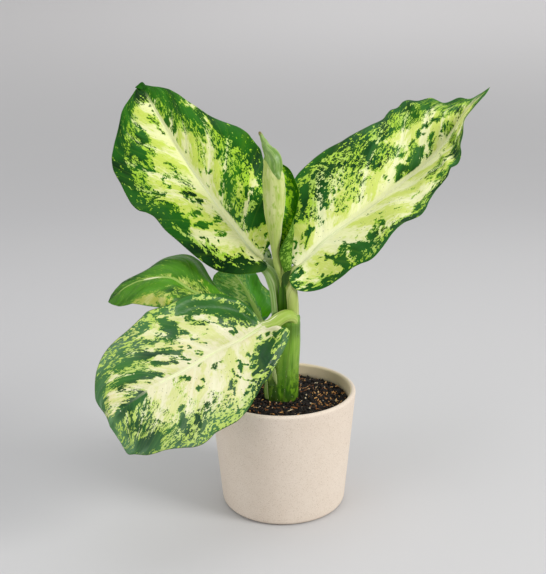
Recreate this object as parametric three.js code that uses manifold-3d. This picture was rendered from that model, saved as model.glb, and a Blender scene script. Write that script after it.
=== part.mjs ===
// Potted dieffenbachia: a plain stoneware pot, potting soil, a short sheathed
// stem with its roots, six open leaves, one unfurling leaf and two old sheath
// scales. Millimetres, +Z up, origin at the centre of the pot's foot.
import * as THREE from 'three';
import Module from 'manifold-3d';
import { ParametricGeometry } from 'three/addons/geometries/ParametricGeometry.js';
import { mergeVertices } from 'three/addons/utils/BufferGeometryUtils.js';

// ---------------------------------------------------------------- dimensions
const POT_HEIGHT = 106.5;
const POT_RIM_RADIUS = 65;
const POT_FOOT_RADIUS = 55.3;
const POT_WALL = 5;
const POT_FLOOR = 6.5;
const FOOT_FILLET = 3;
const SOIL_EDGE_Z = 95.6;      // where the soil meets the wall
const SOIL_CROWN_Z = 98.4;     // soil heaped a little round the stem
const GAP = 0.3;               // clearance between touching pieces
const LEAF_THICKNESS = 1.4;    // at the midrib; the margin is thinner
const ROWS = 17;               // steps along a leaf blade
const HALF_COLS = 4;           // steps from midrib to margin

// stem: centre x, y, z and radius, from the root stock up to the top
const STEM = [
  [-1, 0, 52, 3], [-1.2, 0, 62, 8.5], [-1.4, 0, 78, 12], [-1.5, 0, 92, 14],
  [-1.4, 0, 104, 14.6], [-0.6, 0, 122, 14.5], [0.6, 0, 142, 14],
  [1.8, 0, 160, 13.2], [2.8, 0, 176, 12.4],
];
// main roots: centre lines that leave the root stock and end in the soil
const ROOTS = [
  [[2, 0, 74], [14, 6, 62], [24, 11, 44], [29, 14, 24]],
  [[-3, 2, 70], [-12, 14, 56], [-20, 24, 38], [-24, 31, 22]],
  [[-3, -2, 72], [-16, -9, 60], [-27, -13, 42], [-33, -15, 26]],
  [[0, -3, 68], [6, -15, 54], [10, -26, 36], [11, -34, 20]],
  [[0, 0, 60], [1, 3, 42], [-2, 4, 28], [-1, 2, 16]],
];
const ROOT_RADIUS = 1.9;
// the upper left leaf's tip is drawn out and curls over: centre x, y, z and radius
const TIP_CURL = [[-122.6, 104.4, 357.6, 1.2], [-124.2, 104.4, 362.6, 2.0], [-127, 104.2, 366.1, 2.2], [-130.6, 103.8, 364.4, 1.9], [-133.2, 103.4, 361, 0.8]];

// petioles: centre x, y, z and radius, from the stem up to the blade; each one
// then runs on under the midrib, thinning as MIDRIB_RADII says
const PETIOLE = {
  front: [[7.6, -7.4, 171.4, 4.9], [3.4, -11.4, 174.4, 5.1], [-3.8, -15.4, 173.2, 5.3], [-9.5, -18, 171.2, 5.1]],
  upperLeft: [[-5.6, 6.8, 176.4, 4.5], [-6.8, 7.6, 191, 4.4], [-9.2, 9, 204, 4.9]],
  upperRight: [[9.2, -0.8, 176.4, 5.7], [8.9, -0.7, 190, 5.9], [8.6, 0.5, 202, 6]],
  left: [[-8, 3, 138, 3.4], [-14.5, 3, 148, 4], [-21, 1.4, 162, 4]],
  backLeft: [[-6, 8, 136, 3.2], [-10, 12, 145, 3.8], [-14.5, 13.4, 154, 3.6]],
  backSmall: [[0, 10, 158, 2.4], [-2, 15, 168, 2.8], [-4.5, 19.5, 186, 2.8], [-6.4, 22, 202, 2.6]],
};
const MIDRIB_AT = [0, 1, 3, 5, 8];
const MIDRIB_RADII = [4.3, 3.3, 2.4, 1.9, 1.3];
const MIDRIB_RADII_SMALL = [2.7, 2.2, 1.7, 1.4, 1.1];
// old sheath scales at the foot of the stem: centre x, y, z and half width
const SCALE_FRONT = [[-5.4, -15.8, 115.6, 0.5], [-6.2, -16, 118.6, 1.3], [-7.2, -16.1, 122.6, 2], [-8, -15.5, 127, 2], [-8.5, -14.2, 132, 1.7], [-8.7, -13, 137, 1.1]];
const SCALE_SIDE = [[-14.8, -9.6, 99.8, 2.8], [-15.1, -9.4, 107, 2.6], [-14.7, -9.2, 114, 1.8], [-14.2, -9.1, 120, 0.4]];
const SCALE_THICKNESS = 1.2;

// big front leaf, arching forward and down to the left
const FRONT_LEFT = {
  midrib: [[-17.5, -21, 171], [-23.8, -26.4, 168.2], [-31.6, -32.9, 165.4], [-41, -41.7, 163.4], [-51.6, -51.9, 161.9], [-62.7, -63.8, 159.3], [-73, -75.9, 156.5], [-83.3, -87.6, 154.2], [-93.8, -98.4, 152.5], [-103.6, -109, 150.3], [-112.7, -118, 146.2], [-120.3, -125.2, 141.9], [-126.2, -130.3, 136.6], [-129, -134, 131.7]],
  left: [[-17.5, -21, 171], [5.2, -27.2, 167.6], [0, -37.3, 153.9], [-12, -52, 140.2], [-19.3, -63.8, 129.5], [-26.2, -75.6, 121.7], [-37.4, -87.2, 113.9], [-54.4, -98.5, 108.9], [-66.6, -110.3, 103.6], [-77.9, -119.2, 107.2], [-92.6, -127.2, 108.4], [-103.3, -133.8, 108.3], [-111, -138.7, 110.6], [-129, -134, 131.7]],
  right: [[-17.5, -21, 171], [-31.8, -18.2, 189.5], [-41.8, -19.8, 195.9], [-53.1, -25.2, 200.6], [-68.5, -32.5, 203.3], [-86.4, -44.1, 200.8], [-101.3, -56.7, 199.6], [-110.7, -69.6, 196.3], [-120.8, -83, 188.8], [-133.8, -96.4, 180], [-139.9, -108.4, 168.9], [-141.2, -119.6, 155.1], [-133.9, -128.6, 139.8], [-129, -134, 131.7]],
  crownLeft: [1, 1.7, 2.5, 3.4, 4.5, 5.2, 5.5, 5.8, 5.8, 4.9, 4, 3.2, 1.5, 0],
  crownRight: [1, 1.7, 2.5, 3.4, 4.5, 5.2, 5.5, 5.8, 5.7, 4.5, 3.3, 2.3, 1, 0],
};
// upper left leaf, leaning back
const UPPER_LEFT = {
  midrib: [[-16.3, 12, 216.8], [-22.4, 14.5, 223.6], [-29.5, 17.8, 231.9], [-37.3, 23, 241.8], [-46.5, 29, 252.9], [-57.1, 36.8, 265.3], [-67.3, 45.3, 278.2], [-77.5, 54, 291.2], [-87.5, 63, 304.7], [-97.1, 72.1, 318.6], [-106.8, 82.3, 332.6], [-115.5, 91.8, 345.4], [-122.6, 100.7, 357], [-127.2, 107, 365.6]],
  left: [[-16.3, 12, 216.8], [-13.6, 2, 215], [-34, 6.2, 209.5], [-58, 10.4, 212.8], [-78.7, 15.1, 225.9], [-95.2, 21.5, 240.1], [-106.5, 28.1, 251], [-125.8, 34.9, 260.8], [-138.4, 44.3, 275.6], [-149.1, 54.8, 293.2], [-151.4, 68.8, 310.9], [-147, 83, 331.4], [-139.8, 96.8, 350.6], [-127.2, 107, 365.6]],
  right: [[-16.3, 12, 216.8], [-9.8, 18.3, 232.4], [-5.8, 23.6, 245.2], [-6.2, 30.3, 259.9], [-8.4, 38.2, 277.9], [-11.8, 45.7, 291.1], [-18.3, 55.2, 310.8], [-28.5, 63, 323.1], [-43.9, 70.2, 331.8], [-63.2, 76.5, 337.4], [-81.4, 86.1, 347.7], [-94.5, 95.3, 357.9], [-110.4, 102.5, 363.4], [-127.2, 107, 365.6]],
  crownLeft: [1, 1.8, 2.8, 4, 5.3, 6.2, 6.5, 6.8, 6.7, 5.5, 4.3, 3.3, 1.5, 0],
  crownRight: [1, 1.7, 2.5, 3.4, 4.5, 5.3, 5.9, 6.5, 6.7, 5.5, 4.3, 3.3, 1.5, 0],
};
// upper right leaf, folded along its midrib, rising to the right
const UPPER_RIGHT = {
  midrib: [[13.9, 4, 215.8], [21.6, 5.5, 224.1], [31.4, 7.6, 233.4], [43.7, 11.8, 243], [58.8, 16.6, 252.7], [76.2, 22.5, 263.1], [92.9, 28.8, 274.9], [110.1, 35.2, 286.2], [127.1, 42, 298.1], [142.1, 48.8, 312.2], [155.1, 56, 328.1], [166.2, 62.8, 342.8], [178.3, 69.3, 354], [187.6, 74, 361.5]],
  left: [[13.9, 4, 215.8], [-1.9, 14.8, 241.4], [0.1, 21.1, 258.4], [6.8, 29.9, 278.8], [21.4, 37.4, 297.7], [35, 42.6, 307.9], [54, 47.7, 317.5], [76.4, 53.5, 329], [91.1, 58.3, 336.9], [104.6, 63, 346], [121.7, 65.8, 350.6], [155.6, 67.1, 350.8], [176.7, 70.4, 355], [187.6, 74, 361.5]],
  right: [[13.9, 4, 215.8], [12.7, -7, 198.6], [39.9, -9, 202.5], [57.7, -15.8, 219.1], [71.6, -19.9, 226.8], [88, -18.9, 243.8], [102.2, -16.3, 259.1], [119.2, -13.2, 267.4], [132.7, -2.4, 286.7], [147.9, 7.8, 303.2], [155.3, 26.7, 325.2], [163.5, 43.9, 341.4], [177.6, 60.6, 352.7], [187.6, 74, 361.5]],
  crownLeft: [1, 1.8, 2.8, 4, 5.3, 6, 6, 6, 5.7, 4.5, 3.3, 2.3, 1, 0],
  crownRight: [1, 1.8, 2.8, 4, 5.3, 6, 6, 6, 5.7, 4.5, 3.3, 2.3, 1, 0],
};
// dark left leaf, arching and drooping at its tip
const LEFT = {
  midrib: [[-28, 1, 175.7], [-34.5, 1.7, 177.8], [-42.3, 2.5, 180.4], [-51.3, 3.4, 183.5], [-61.6, 4.5, 187.3], [-72.8, 6.3, 192.1], [-83.5, 8.7, 198], [-93.8, 11.1, 204.5], [-106.1, 13.5, 205.9], [-118.7, 16, 203.1], [-131.2, 18.5, 198.9], [-141.4, 20.7, 192.5], [-149.5, 22.6, 185.2], [-155.4, 24, 180.1]],
  left: [[-28, 1, 175.7], [-36.6, -3.5, 169.6], [-45.1, -6.8, 169.5], [-54.6, -9.9, 171.6], [-65.3, -13.1, 175], [-78, -16, 179.6], [-92.3, -17.1, 184.4], [-98.7, -19.2, 186.8], [-102.9, -15.4, 186.4], [-112, -9, 185.5], [-120, -2.2, 184.8], [-131, 8, 183.2], [-143.1, 16.5, 178.3], [-155.4, 24, 180.1]],
  right: [[-28, 1, 175.7], [-32.3, 7.1, 182.3], [-40, 12.9, 184.8], [-49, 19.1, 188.2], [-58.1, 25.8, 194.3], [-66.1, 34.5, 203.2], [-72.2, 39.1, 211.9], [-86.2, 43.1, 219.1], [-107.9, 40.7, 214.7], [-122, 36.6, 204.8], [-135.2, 34.1, 198.9], [-145.6, 30.4, 193.7], [-152.3, 27, 186.8], [-155.4, 24, 180.1]],
  crownLeft: [0, 0.7, 1.5, 2.4, 3.5, 4.2, 4.5, 4.8, 4.8, 3.9, 3, 2.2, 1, 0],
  crownRight: [0, 0.7, 1.5, 2.4, 3.5, 4.2, 4.5, 4.8, 4.8, 3.9, 3, 2.2, 1, 0],
};
// pale leaf behind, rising to the back left
const BACK_LEFT = {
  midrib: [[-17.9, 14, 162.1], [-19.1, 15.5, 164.5], [-20.5, 17.3, 167.3], [-22.2, 19.4, 170.5], [-24.3, 22.4, 174], [-26.7, 26, 177.9], [-29.2, 29.3, 181.8], [-31.8, 32.3, 185.9], [-34.5, 35.3, 189.8], [-37.3, 38.3, 193.8], [-40.5, 40.7, 197.7], [-43.4, 42.8, 201], [-46.4, 44.7, 203.7], [-48.5, 46, 205.5]],
  left: [[-17.9, 14, 162.1], [-22.7, 15.9, 162.2], [-27.2, 18.4, 163.1], [-31.6, 21.5, 164.8], [-36.5, 25.4, 167.2], [-41.5, 30, 170.1], [-46.3, 34.4, 173.2], [-51, 37.7, 177], [-55, 39.5, 181.2], [-58.8, 41.4, 185.8], [-61.5, 42.8, 190.4], [-62.4, 43.5, 194.7], [-60.7, 44.3, 198.8], [-48.5, 46, 205.5]],
  right: [[-17.9, 14, 162.1], [-13.8, 14.9, 166], [-11, 15.9, 170.4], [-9.8, 17, 175.3], [-9.8, 19.7, 180.4], [-10.4, 23.2, 186.1], [-14.3, 26, 190.6], [-18.2, 29.1, 194.8], [-21, 33.6, 199.7], [-24.9, 37.8, 203.8], [-30.9, 41.2, 206.7], [-37.6, 43.5, 207.8], [-44, 44.9, 206.5], [-48.5, 46, 205.5]],
  crownLeft: [0, 0.5, 1.1, 1.8, 2.6, 3, 3, 3, 2.8, 2.2, 1.5, 0.9, 0.4, 0],
  crownRight: [0, 0.7, 1.5, 2.4, 3.5, 4, 4, 4, 3.8, 2.9, 2, 1.2, 0.5, 0],
};
// small leaf at the back, under the upper left one
const BACK_SMALL = {
  midrib: [[-9.3, 24, 215.4], [-11.6, 27.3, 216.2], [-14.4, 31.3, 217.1], [-18, 36.7, 217.2], [-22.3, 44.1, 217], [-27.5, 52.3, 215.6], [-32.8, 60.5, 213.4], [-38.1, 68, 210.2], [-42.7, 74, 205.6], [-47.2, 80, 200.7], [-51.3, 86, 195.3], [-54.9, 90, 190.7], [-57.9, 93.5, 186.5], [-60.1, 96, 183.5]],
  left: [[-9.3, 24, 215.4], [-13.7, 24.5, 211.7], [-16.9, 25.8, 209.8], [-19.9, 28.6, 208.3], [-23.3, 33.5, 206.3], [-27.4, 39.6, 204], [-29.5, 46, 202.1], [-32.7, 53.1, 199.9], [-36.3, 61.2, 197.3], [-41, 69.4, 194.6], [-46.7, 77.4, 190.8], [-51.3, 84.6, 187.3], [-55.7, 90.9, 184], [-60.1, 96, 183.5]],
  right: [[-9.3, 24, 215.4], [-8.4, 29.3, 219.3], [-10, 35.1, 222.2], [-13.4, 42.8, 225.2], [-18.6, 52.1, 227.5], [-24.9, 61.9, 227.4], [-34.2, 71.3, 224.7], [-40.4, 78.4, 218.7], [-45.9, 82.5, 212], [-50.3, 86.7, 205.3], [-54.1, 91.1, 198.7], [-57.2, 93.1, 193], [-58.9, 94.8, 187.5], [-60.1, 96, 183.5]],
  crownLeft: [0, 0.3, 0.7, 1.2, 1.7, 2, 2, 2, 1.9, 1.5, 1, 0.6, 0.2, 0],
  crownRight: [0, 0.3, 0.7, 1.2, 1.7, 2, 2, 2, 1.9, 1.5, 1, 0.6, 0.2, 0],
};
// open half of the unfurling leaf: eleven stations upward, five points across each, inner line first
const OPEN_HALF = [
  [[-0.3, 3.5, 210.8], [1.8, 5, 210.4], [4, 4, 210.6], [3.5, 0, 211.2], [1.8, -1.5, 212.1]],
  [[-0.7, 4, 219.5], [3.2, 6.5, 218.9], [7, 3, 219.7], [3.5, -2, 220.2], [-0.8, -3, 221.3]],
  [[-2.3, 4.5, 230.1], [3.3, 8.5, 229.9], [8.8, 4, 230.9], [3.6, -3.5, 232.8], [-2, -4.5, 231.8]],
  [[-3.1, 5, 241.4], [3.4, 10, 240.1], [9.6, 5.5, 241.1], [7, -1.5, 242.7], [3.2, -3.5, 243.2]],
  [[-3.4, 6, 251.6], [3.5, 12, 250.2], [9.7, 9, 250.8], [9.8, 4, 251.9], [8.4, 0, 253.6]],
  [[-2.9, 7, 260.9], [3.1, 13, 259.7], [8.3, 13, 259.6], [10.8, 11, 260], [12, 7, 261.2]],
  [[-2, 7, 271.2], [3.2, 14, 269.9], [8.4, 15, 269.6], [11.8, 14, 269.8], [14.3, 11, 270.3]],
  [[-1.9, 7, 282.3], [3.3, 14, 281.1], [8.4, 15, 280.9], [12.2, 14, 281], [14.7, 12, 280.5]],
  [[-2.6, 6, 292.7], [1.6, 11, 291.8], [5.9, 13, 291.5], [9.3, 12, 291.6], [11.3, 11, 291.7]],
  [[-3.4, 5, 301.2], [-0.4, 8, 300.8], [2.1, 10, 300.4], [4.2, 10, 300.4], [5.9, 9, 300.5]],
  [[-5.8, 4, 309.7], [-4.2, 6, 309.4], [-2.5, 7, 309.3], [-1.2, 7, 309.3], [0, 7, 308.4]],
  [[-9.1, 3, 318.2], [-9.1, 3, 318.2], [-9.1, 3, 318.2], [-9.1, 3, 318.2], [-9.1, 3, 318.2]],
];
// rolled half: centre x, y, z and radius, from the stalk up to the tip
const ROLLED_HALF = [[0.1, 3, 181.2, 2.5], [-0.7, 2.6, 192.2, 2.7], [-1.7, 2.2, 204, 3], [-2.6, 2, 214.8, 3.2], [-4.1, 2, 226.3, 3.8], [-5.3, 2, 237.7, 4.9], [-6, 2, 253.3, 7.5], [-6.2, 2, 270.5, 9], [-6.2, 2, 284.9, 9.2], [-6.8, 2, 298.4, 8.2], [-8.7, 2.5, 310, 6.4], [-11.9, 3, 319, 4.4], [-15.2, 3.5, 326.4, 2.3], [-18.2, 4, 332.1, 0.4]];
// ------------------------------------------------------------------- helpers
const wasm = await Module();
wasm.setup();

const vec = ([x, y, z]) => new THREE.Vector3(x, y, z);
const curveThrough = (points) => new THREE.CatmullRomCurve3(points.map(vec), false, 'catmullrom', 0.5);

// A closed geometry becomes a solid: shared corners merged, faces with no
// width dropped, and the winding turned outward.
function solid(geometry) {
  const g = geometry.clone();
  g.deleteAttribute('normal');
  g.deleteAttribute('uv');
  const merged = mergeVertices(g, 1e-3);
  const p = merged.attributes.position.array;
  const tris = [];
  let volume = 0;
  const idx = merged.index.array;
  for (let i = 0; i < idx.length; i += 3) {
    const [a, b, c] = [idx[i], idx[i + 1], idx[i + 2]];
    if (a === b || b === c || a === c) continue;
    tris.push(a, b, c);
    const [A, B, C] = [a, b, c].map((k) => new THREE.Vector3().fromArray(p, 3 * k));
    volume += A.dot(B.cross(C)) / 6;
  }
  if (volume < 0) for (let i = 0; i < tris.length; i += 3) [tris[i + 1], tris[i + 2]] = [tris[i + 2], tris[i + 1]];
  return new wasm.Manifold(new wasm.Mesh({
    numProp: 3, vertProperties: new Float32Array(p), triVerts: new Uint32Array(tris),
  }));
}

function geometryOf(manifold) {
  const m = manifold.getMesh();
  const g = new THREE.BufferGeometry();
  g.setAttribute('position', new THREE.BufferAttribute(new Float32Array(m.vertProperties), 3));
  g.setIndex(new THREE.BufferAttribute(new Uint32Array(m.triVerts), 1));
  g.computeVertexNormals();
  return g;
}

// A round tube whose centre line and radius both vary, with closed ends.
function tube(stations, sides = 10, steps = 14, grow = 0) {
  const centre = curveThrough(stations);
  const radius = new THREE.CatmullRomCurve3(stations.map((s) => new THREE.Vector3(s[3], 0, 0)), false, 'catmullrom', 0.5);
  const frames = [];
  let side = new THREE.Vector3(1, 0.2, 0.1);
  for (let i = 0; i <= steps; i++) {
    const t = centre.getTangent(i / steps);
    side = side.clone().addScaledVector(t, -side.dot(t)).normalize();
    frames.push({ c: centre.getPoint(i / steps), a: side, b: new THREE.Vector3().crossVectors(t, side), r: radius.getPoint(i / steps).x + grow, t });
  }
  const last = steps + 2;
  return solid(new ParametricGeometry((u, v, out) => {
    const k = Math.min(last, Math.max(0, Math.round(v * last)));
    const f = frames[Math.min(steps, Math.max(0, k - 1))];
    const a = 2 * Math.PI * (u >= 1 ? 0 : u);
    const r = k === 0 || k === last ? 0 : f.r;
    out.copy(f.c).addScaledVector(f.a, r * Math.cos(a)).addScaledVector(f.b, r * Math.sin(a));
    if (k === 0) out.addScaledVector(f.t, -grow);
    if (k === last) out.addScaledVector(f.t, grow);
  }, sides, last));
}

// A thin closed sheet over a grid of control points. grid[i][j] runs along and
// across; both faces meet at the edge.
function sheet(grid, rows, cols, thickness, endsMeet = true) {
  const across = grid.map((row) => curveThrough(row));
  const lines = [];
  for (let j = 0; j <= cols; j++) {
    const v = j / cols;
    lines.push(new THREE.CatmullRomCurve3(across.map((c) => c.getPoint(v)), false, 'catmullrom', 0.5));
  }
  const P = [];
  for (let i = 0; i <= rows; i++) P.push(lines.map((l) => l.getPoint(i / rows)));
  const N = P.map((row, i) => row.map((p, j) => {
    const du = new THREE.Vector3().subVectors(P[Math.min(rows, i + 1)][j], P[Math.max(0, i - 1)][j]);
    const dv = new THREE.Vector3().subVectors(row[Math.min(cols, j + 1)], row[Math.max(0, j - 1)]);
    const n = new THREE.Vector3().crossVectors(dv, du);
    return n.lengthSq() > 1e-9 ? n.normalize() : new THREE.Vector3();
  }));
  const around = 2 * cols;
  return solid(new ParametricGeometry((u, v, out) => {
    const i = Math.min(rows, Math.max(0, Math.round(v * rows)));
    let k = Math.round(u * around) % around;
    if (k < 0) k += around;
    const top = k <= cols;
    const j = top ? k : around - k;
    const edge = Math.abs((2 * j) / cols - 1);
    let h = (j === 0 || j === cols) ? 0 : 0.5 * thickness * (1 - 0.45 * edge * edge);
    if (i === 0 || i === rows) {
      // both ends close to a line of zero thickness, or to one point
      h = 0;
    }
    const q = endsMeet && (i === 0 || i === rows) ? P[i][Math.floor(cols / 2)] : P[i][j];
    out.copy(q).addScaledVector(N[i][j], top ? h : -h);
  }, around, rows));
}

// Blade control grid: margin, quarter point, midrib, quarter point, margin.
// crown lifts each half between midrib and margin towards the upper face.
function bladeGrid(leaf) {
  const n = leaf.midrib.length;
  return leaf.midrib.map((m, i) => {
    const M = vec(m), L = vec(leaf.left[i]), R = vec(leaf.right[i]);
    if (i === 0 || i === n - 1) return [m, m, m, m, m];
    const along = new THREE.Vector3().subVectors(vec(leaf.midrib[i + 1]), vec(leaf.midrib[i - 1])).normalize();
    const up = new THREE.Vector3().crossVectors(new THREE.Vector3().subVectors(R, L), along).normalize();
    const quarter = (E, crown) => new THREE.Vector3().lerpVectors(M, E, 0.5).addScaledVector(up, crown).toArray();
    return [leaf.left[i], quarter(L, leaf.crownLeft[i]), m, quarter(R, leaf.crownRight[i]), leaf.right[i]];
  });
}

const root = (line, grow) => tube(line.map((p, i) => [...p, ROOT_RADIUS * (1 - 0.22 * i)]), 6, 6, grow);
const stemSolid = (grow) => {
  let s = tube(STEM, 20, 12, grow);
  for (const line of ROOTS) s = s.add(root(line, grow));
  return s;
};
const stem = stemSolid(0);
const stemClearance = stemSolid(GAP);

// A leaf is one grown piece: blade, thick midrib under it and petiole.
const leafSolid = (leaf, petiole, radii = MIDRIB_RADII, thickness = LEAF_THICKNESS, curl = null) => {
  const under = MIDRIB_AT.map((i, k) => {
    const along = new THREE.Vector3().subVectors(vec(leaf.midrib[i + 1]), vec(leaf.midrib[Math.max(0, i - 1)])).normalize();
    const wide = new THREE.Vector3().subVectors(vec(leaf.right[i + 2]), vec(leaf.left[i + 2]));
    const up = new THREE.Vector3().crossVectors(wide, along).normalize();
    return [...vec(leaf.midrib[i]).addScaledVector(up, -0.55 * radii[k]).toArray(), radii[k]];
  });
  const leafAndStalk = sheet(bladeGrid(leaf), ROWS, 2 * HALF_COLS, thickness)
    .add(tube([...petiole, ...under], 8, 13))
    .subtract(stemClearance);
  return curl ? leafAndStalk.add(tube(curl, 8, 7)) : leafAndStalk;
};

// ------------------------------------------------------------------ pot, soil
const wallRadius = (z) => POT_FOOT_RADIUS + (POT_RIM_RADIUS - POT_FOOT_RADIUS) * (z / POT_HEIGHT);
const v2 = (x, y) => new THREE.Vector2(x, y);
function potGeometry() {
  const lip = POT_WALL / 2;
  const rimCentre = wallRadius(POT_HEIGHT) - lip;
  const profile = [v2(0, 0), v2(POT_FOOT_RADIUS - FOOT_FILLET, 0)];
  for (const a of [30, 60]) {
    const t = (a * Math.PI) / 180;
    profile.push(v2(POT_FOOT_RADIUS - FOOT_FILLET * (1 - Math.sin(t)), FOOT_FILLET * (1 - Math.cos(t))));
  }
  profile.push(v2(wallRadius(20), 20), v2(wallRadius(60), 60));
  for (const a of [0, 45, 90, 135, 180]) {
    const t = (a * Math.PI) / 180;
    profile.push(v2(rimCentre + lip * Math.cos(t), POT_HEIGHT - lip + lip * Math.sin(t)));
  }
  profile.push(v2(wallRadius(60) - POT_WALL, 60), v2(wallRadius(POT_FLOOR + 4) - POT_WALL, POT_FLOOR + 4),
    v2(wallRadius(POT_FLOOR) - POT_WALL - 4, POT_FLOOR), v2(0, POT_FLOOR));
  const g = new THREE.LatheGeometry(profile, 60);
  g.rotateX(Math.PI / 2);
  return g;
}

function soilSolid() {
  const inner = (z) => wallRadius(z) - POT_WALL - GAP;
  const profile = [
    v2(0, POT_FLOOR + GAP), v2(inner(POT_FLOOR) - 4.4, POT_FLOOR + GAP), v2(inner(POT_FLOOR + 4.6), POT_FLOOR + 4.6),
    v2(inner(60), 60), v2(inner(SOIL_EDGE_Z - 1), SOIL_EDGE_Z - 1), v2(inner(SOIL_EDGE_Z) - 1.5, SOIL_EDGE_Z),
    v2(42, SOIL_EDGE_Z + 0.6), v2(28, SOIL_EDGE_Z + 1.7), v2(18, SOIL_CROWN_Z), v2(0, SOIL_CROWN_Z),
  ];
  const g = new THREE.LatheGeometry(profile, 40);
  g.rotateX(Math.PI / 2);
  return solid(g).subtract(stemClearance);
}

// ------------------------------------------------------------ other members
// unfurling leaf: the rolled half with its stalk, and the half already open
const unfurling = tube(ROLLED_HALF, 12, 17).add(sheet(OPEN_HALF, 15, 8, 1.2));

const scale = (line) => sheet(line.map(([x, y, z, w]) => [
  [x - w, y + 0.5 * w, z], [x - 0.5 * w, y - 0.05 * w, z], [x, y - 0.2 * w, z], [x + 0.5 * w, y - 0.05 * w, z], [x + w, y + 0.3 * w, z],
]), 8, 6, SCALE_THICKNESS).subtract(stemClearance);

// ------------------------------------------------------------------ assembly
const paint = (color, roughness) => new THREE.MeshStandardMaterial({ color, roughness, metalness: 0 });
const plant = new THREE.Group();
const add = (name, geometry, material) => {
  const mesh = new THREE.Mesh(geometry, material);
  mesh.name = name;
  plant.add(mesh);
};
add('pot', geometryOf(solid(potGeometry())), paint(0xd9cbb7, 0.8));
add('soil', geometryOf(soilSolid()), paint(0x2a1c15, 0.95));
add('stem', geometryOf(stem), paint(0x4f7a2c, 0.5));
add('leaf_front_left', geometryOf(leafSolid(FRONT_LEFT, PETIOLE.front)), paint(0xd3dca0, 0.42));
add('leaf_upper_left', geometryOf(leafSolid(UPPER_LEFT, PETIOLE.upperLeft, MIDRIB_RADII, LEAF_THICKNESS, TIP_CURL)), paint(0xbfd07c, 0.42));
add('leaf_upper_right', geometryOf(leafSolid(UPPER_RIGHT, PETIOLE.upperRight)), paint(0xc3d282, 0.42));
add('leaf_left', geometryOf(leafSolid(LEFT, PETIOLE.left, MIDRIB_RADII_SMALL)), paint(0x3f6f2e, 0.42));
add('leaf_back_left', geometryOf(leafSolid(BACK_LEFT, PETIOLE.backLeft, MIDRIB_RADII_SMALL, 1.2)), paint(0x6fa14a, 0.42));
add('leaf_back_small', geometryOf(leafSolid(BACK_SMALL, PETIOLE.backSmall, MIDRIB_RADII_SMALL, 1.2)), paint(0x8fb07a, 0.42));
add('leaf_unfurling', geometryOf(unfurling), paint(0xc9d49a, 0.42));
add('basal_scale_front', geometryOf(scale(SCALE_FRONT)), paint(0xb9c07c, 0.6));
add('basal_scale_side', geometryOf(scale(SCALE_SIDE)), paint(0xa9bd78, 0.6));

export default plant;
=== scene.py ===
import math
from itertools import chain

import bpy
import numpy as np
from mathutils import Matrix, Vector, noise


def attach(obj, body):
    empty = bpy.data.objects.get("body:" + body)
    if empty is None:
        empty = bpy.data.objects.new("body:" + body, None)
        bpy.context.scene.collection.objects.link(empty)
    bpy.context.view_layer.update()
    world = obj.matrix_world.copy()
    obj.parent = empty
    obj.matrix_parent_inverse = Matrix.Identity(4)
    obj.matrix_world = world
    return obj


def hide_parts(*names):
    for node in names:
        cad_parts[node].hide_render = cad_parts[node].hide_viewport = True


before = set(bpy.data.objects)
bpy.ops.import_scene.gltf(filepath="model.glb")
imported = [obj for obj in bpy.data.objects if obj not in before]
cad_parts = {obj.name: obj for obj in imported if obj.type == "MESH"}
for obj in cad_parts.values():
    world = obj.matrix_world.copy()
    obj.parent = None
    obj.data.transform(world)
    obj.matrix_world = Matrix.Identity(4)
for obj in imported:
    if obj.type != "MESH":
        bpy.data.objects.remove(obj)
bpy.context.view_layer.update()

MM = 0.001

# ------------------------------------------------------------------ camera
# The camera stands 0.80 m from the pot, looks 16 degrees down and rolls by
# half a degree. Positions are in metres, in the model's own frame.
PITCH, ROLL = math.radians(15.97), math.radians(-0.60)
forward = Vector((0, math.cos(PITCH), -math.sin(PITCH)))
up0 = Vector((0, math.sin(PITCH), math.cos(PITCH)))
right = math.cos(ROLL) * Vector((1, 0, 0)) + math.sin(ROLL) * up0
up = -math.sin(ROLL) * Vector((1, 0, 0)) + math.cos(ROLL) * up0
cam_data = bpy.data.cameras.new("camera")
cam_data.sensor_width = 36.0
cam_data.sensor_fit = "AUTO"
cam_data.lens = 883.0 * 36.0 / 574.0
cam_data.clip_start, cam_data.clip_end = 0.05, 50
cam = bpy.data.objects.new("camera", cam_data)
cam.matrix_world = Matrix((
    (right.x, up.x, -forward.x, -0.0077827),
    (right.y, up.y, -forward.y, -0.7314510),
    (right.z, up.z, -forward.z, 0.4086358),
    (0, 0, 0, 1),
))
bpy.context.scene.collection.objects.link(cam)
bpy.context.scene.camera = cam


# ----------------------------------------------------------------- helpers
def rgb(r, g, b, a=1.0):
    """A colour given as 0-255 display values, as the linear values that nodes take."""
    out = []
    for c in (r, g, b):
        c /= 255.0
        out.append(c / 12.92 if c <= 0.04045 else ((c + 0.055) / 1.055) ** 2.4)
    return (*out, a)


def ease(lo, hi, x):
    t = np.clip((x - lo) / (hi - lo), 0, 1)
    return t * t * (3 - 2 * t)


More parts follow.
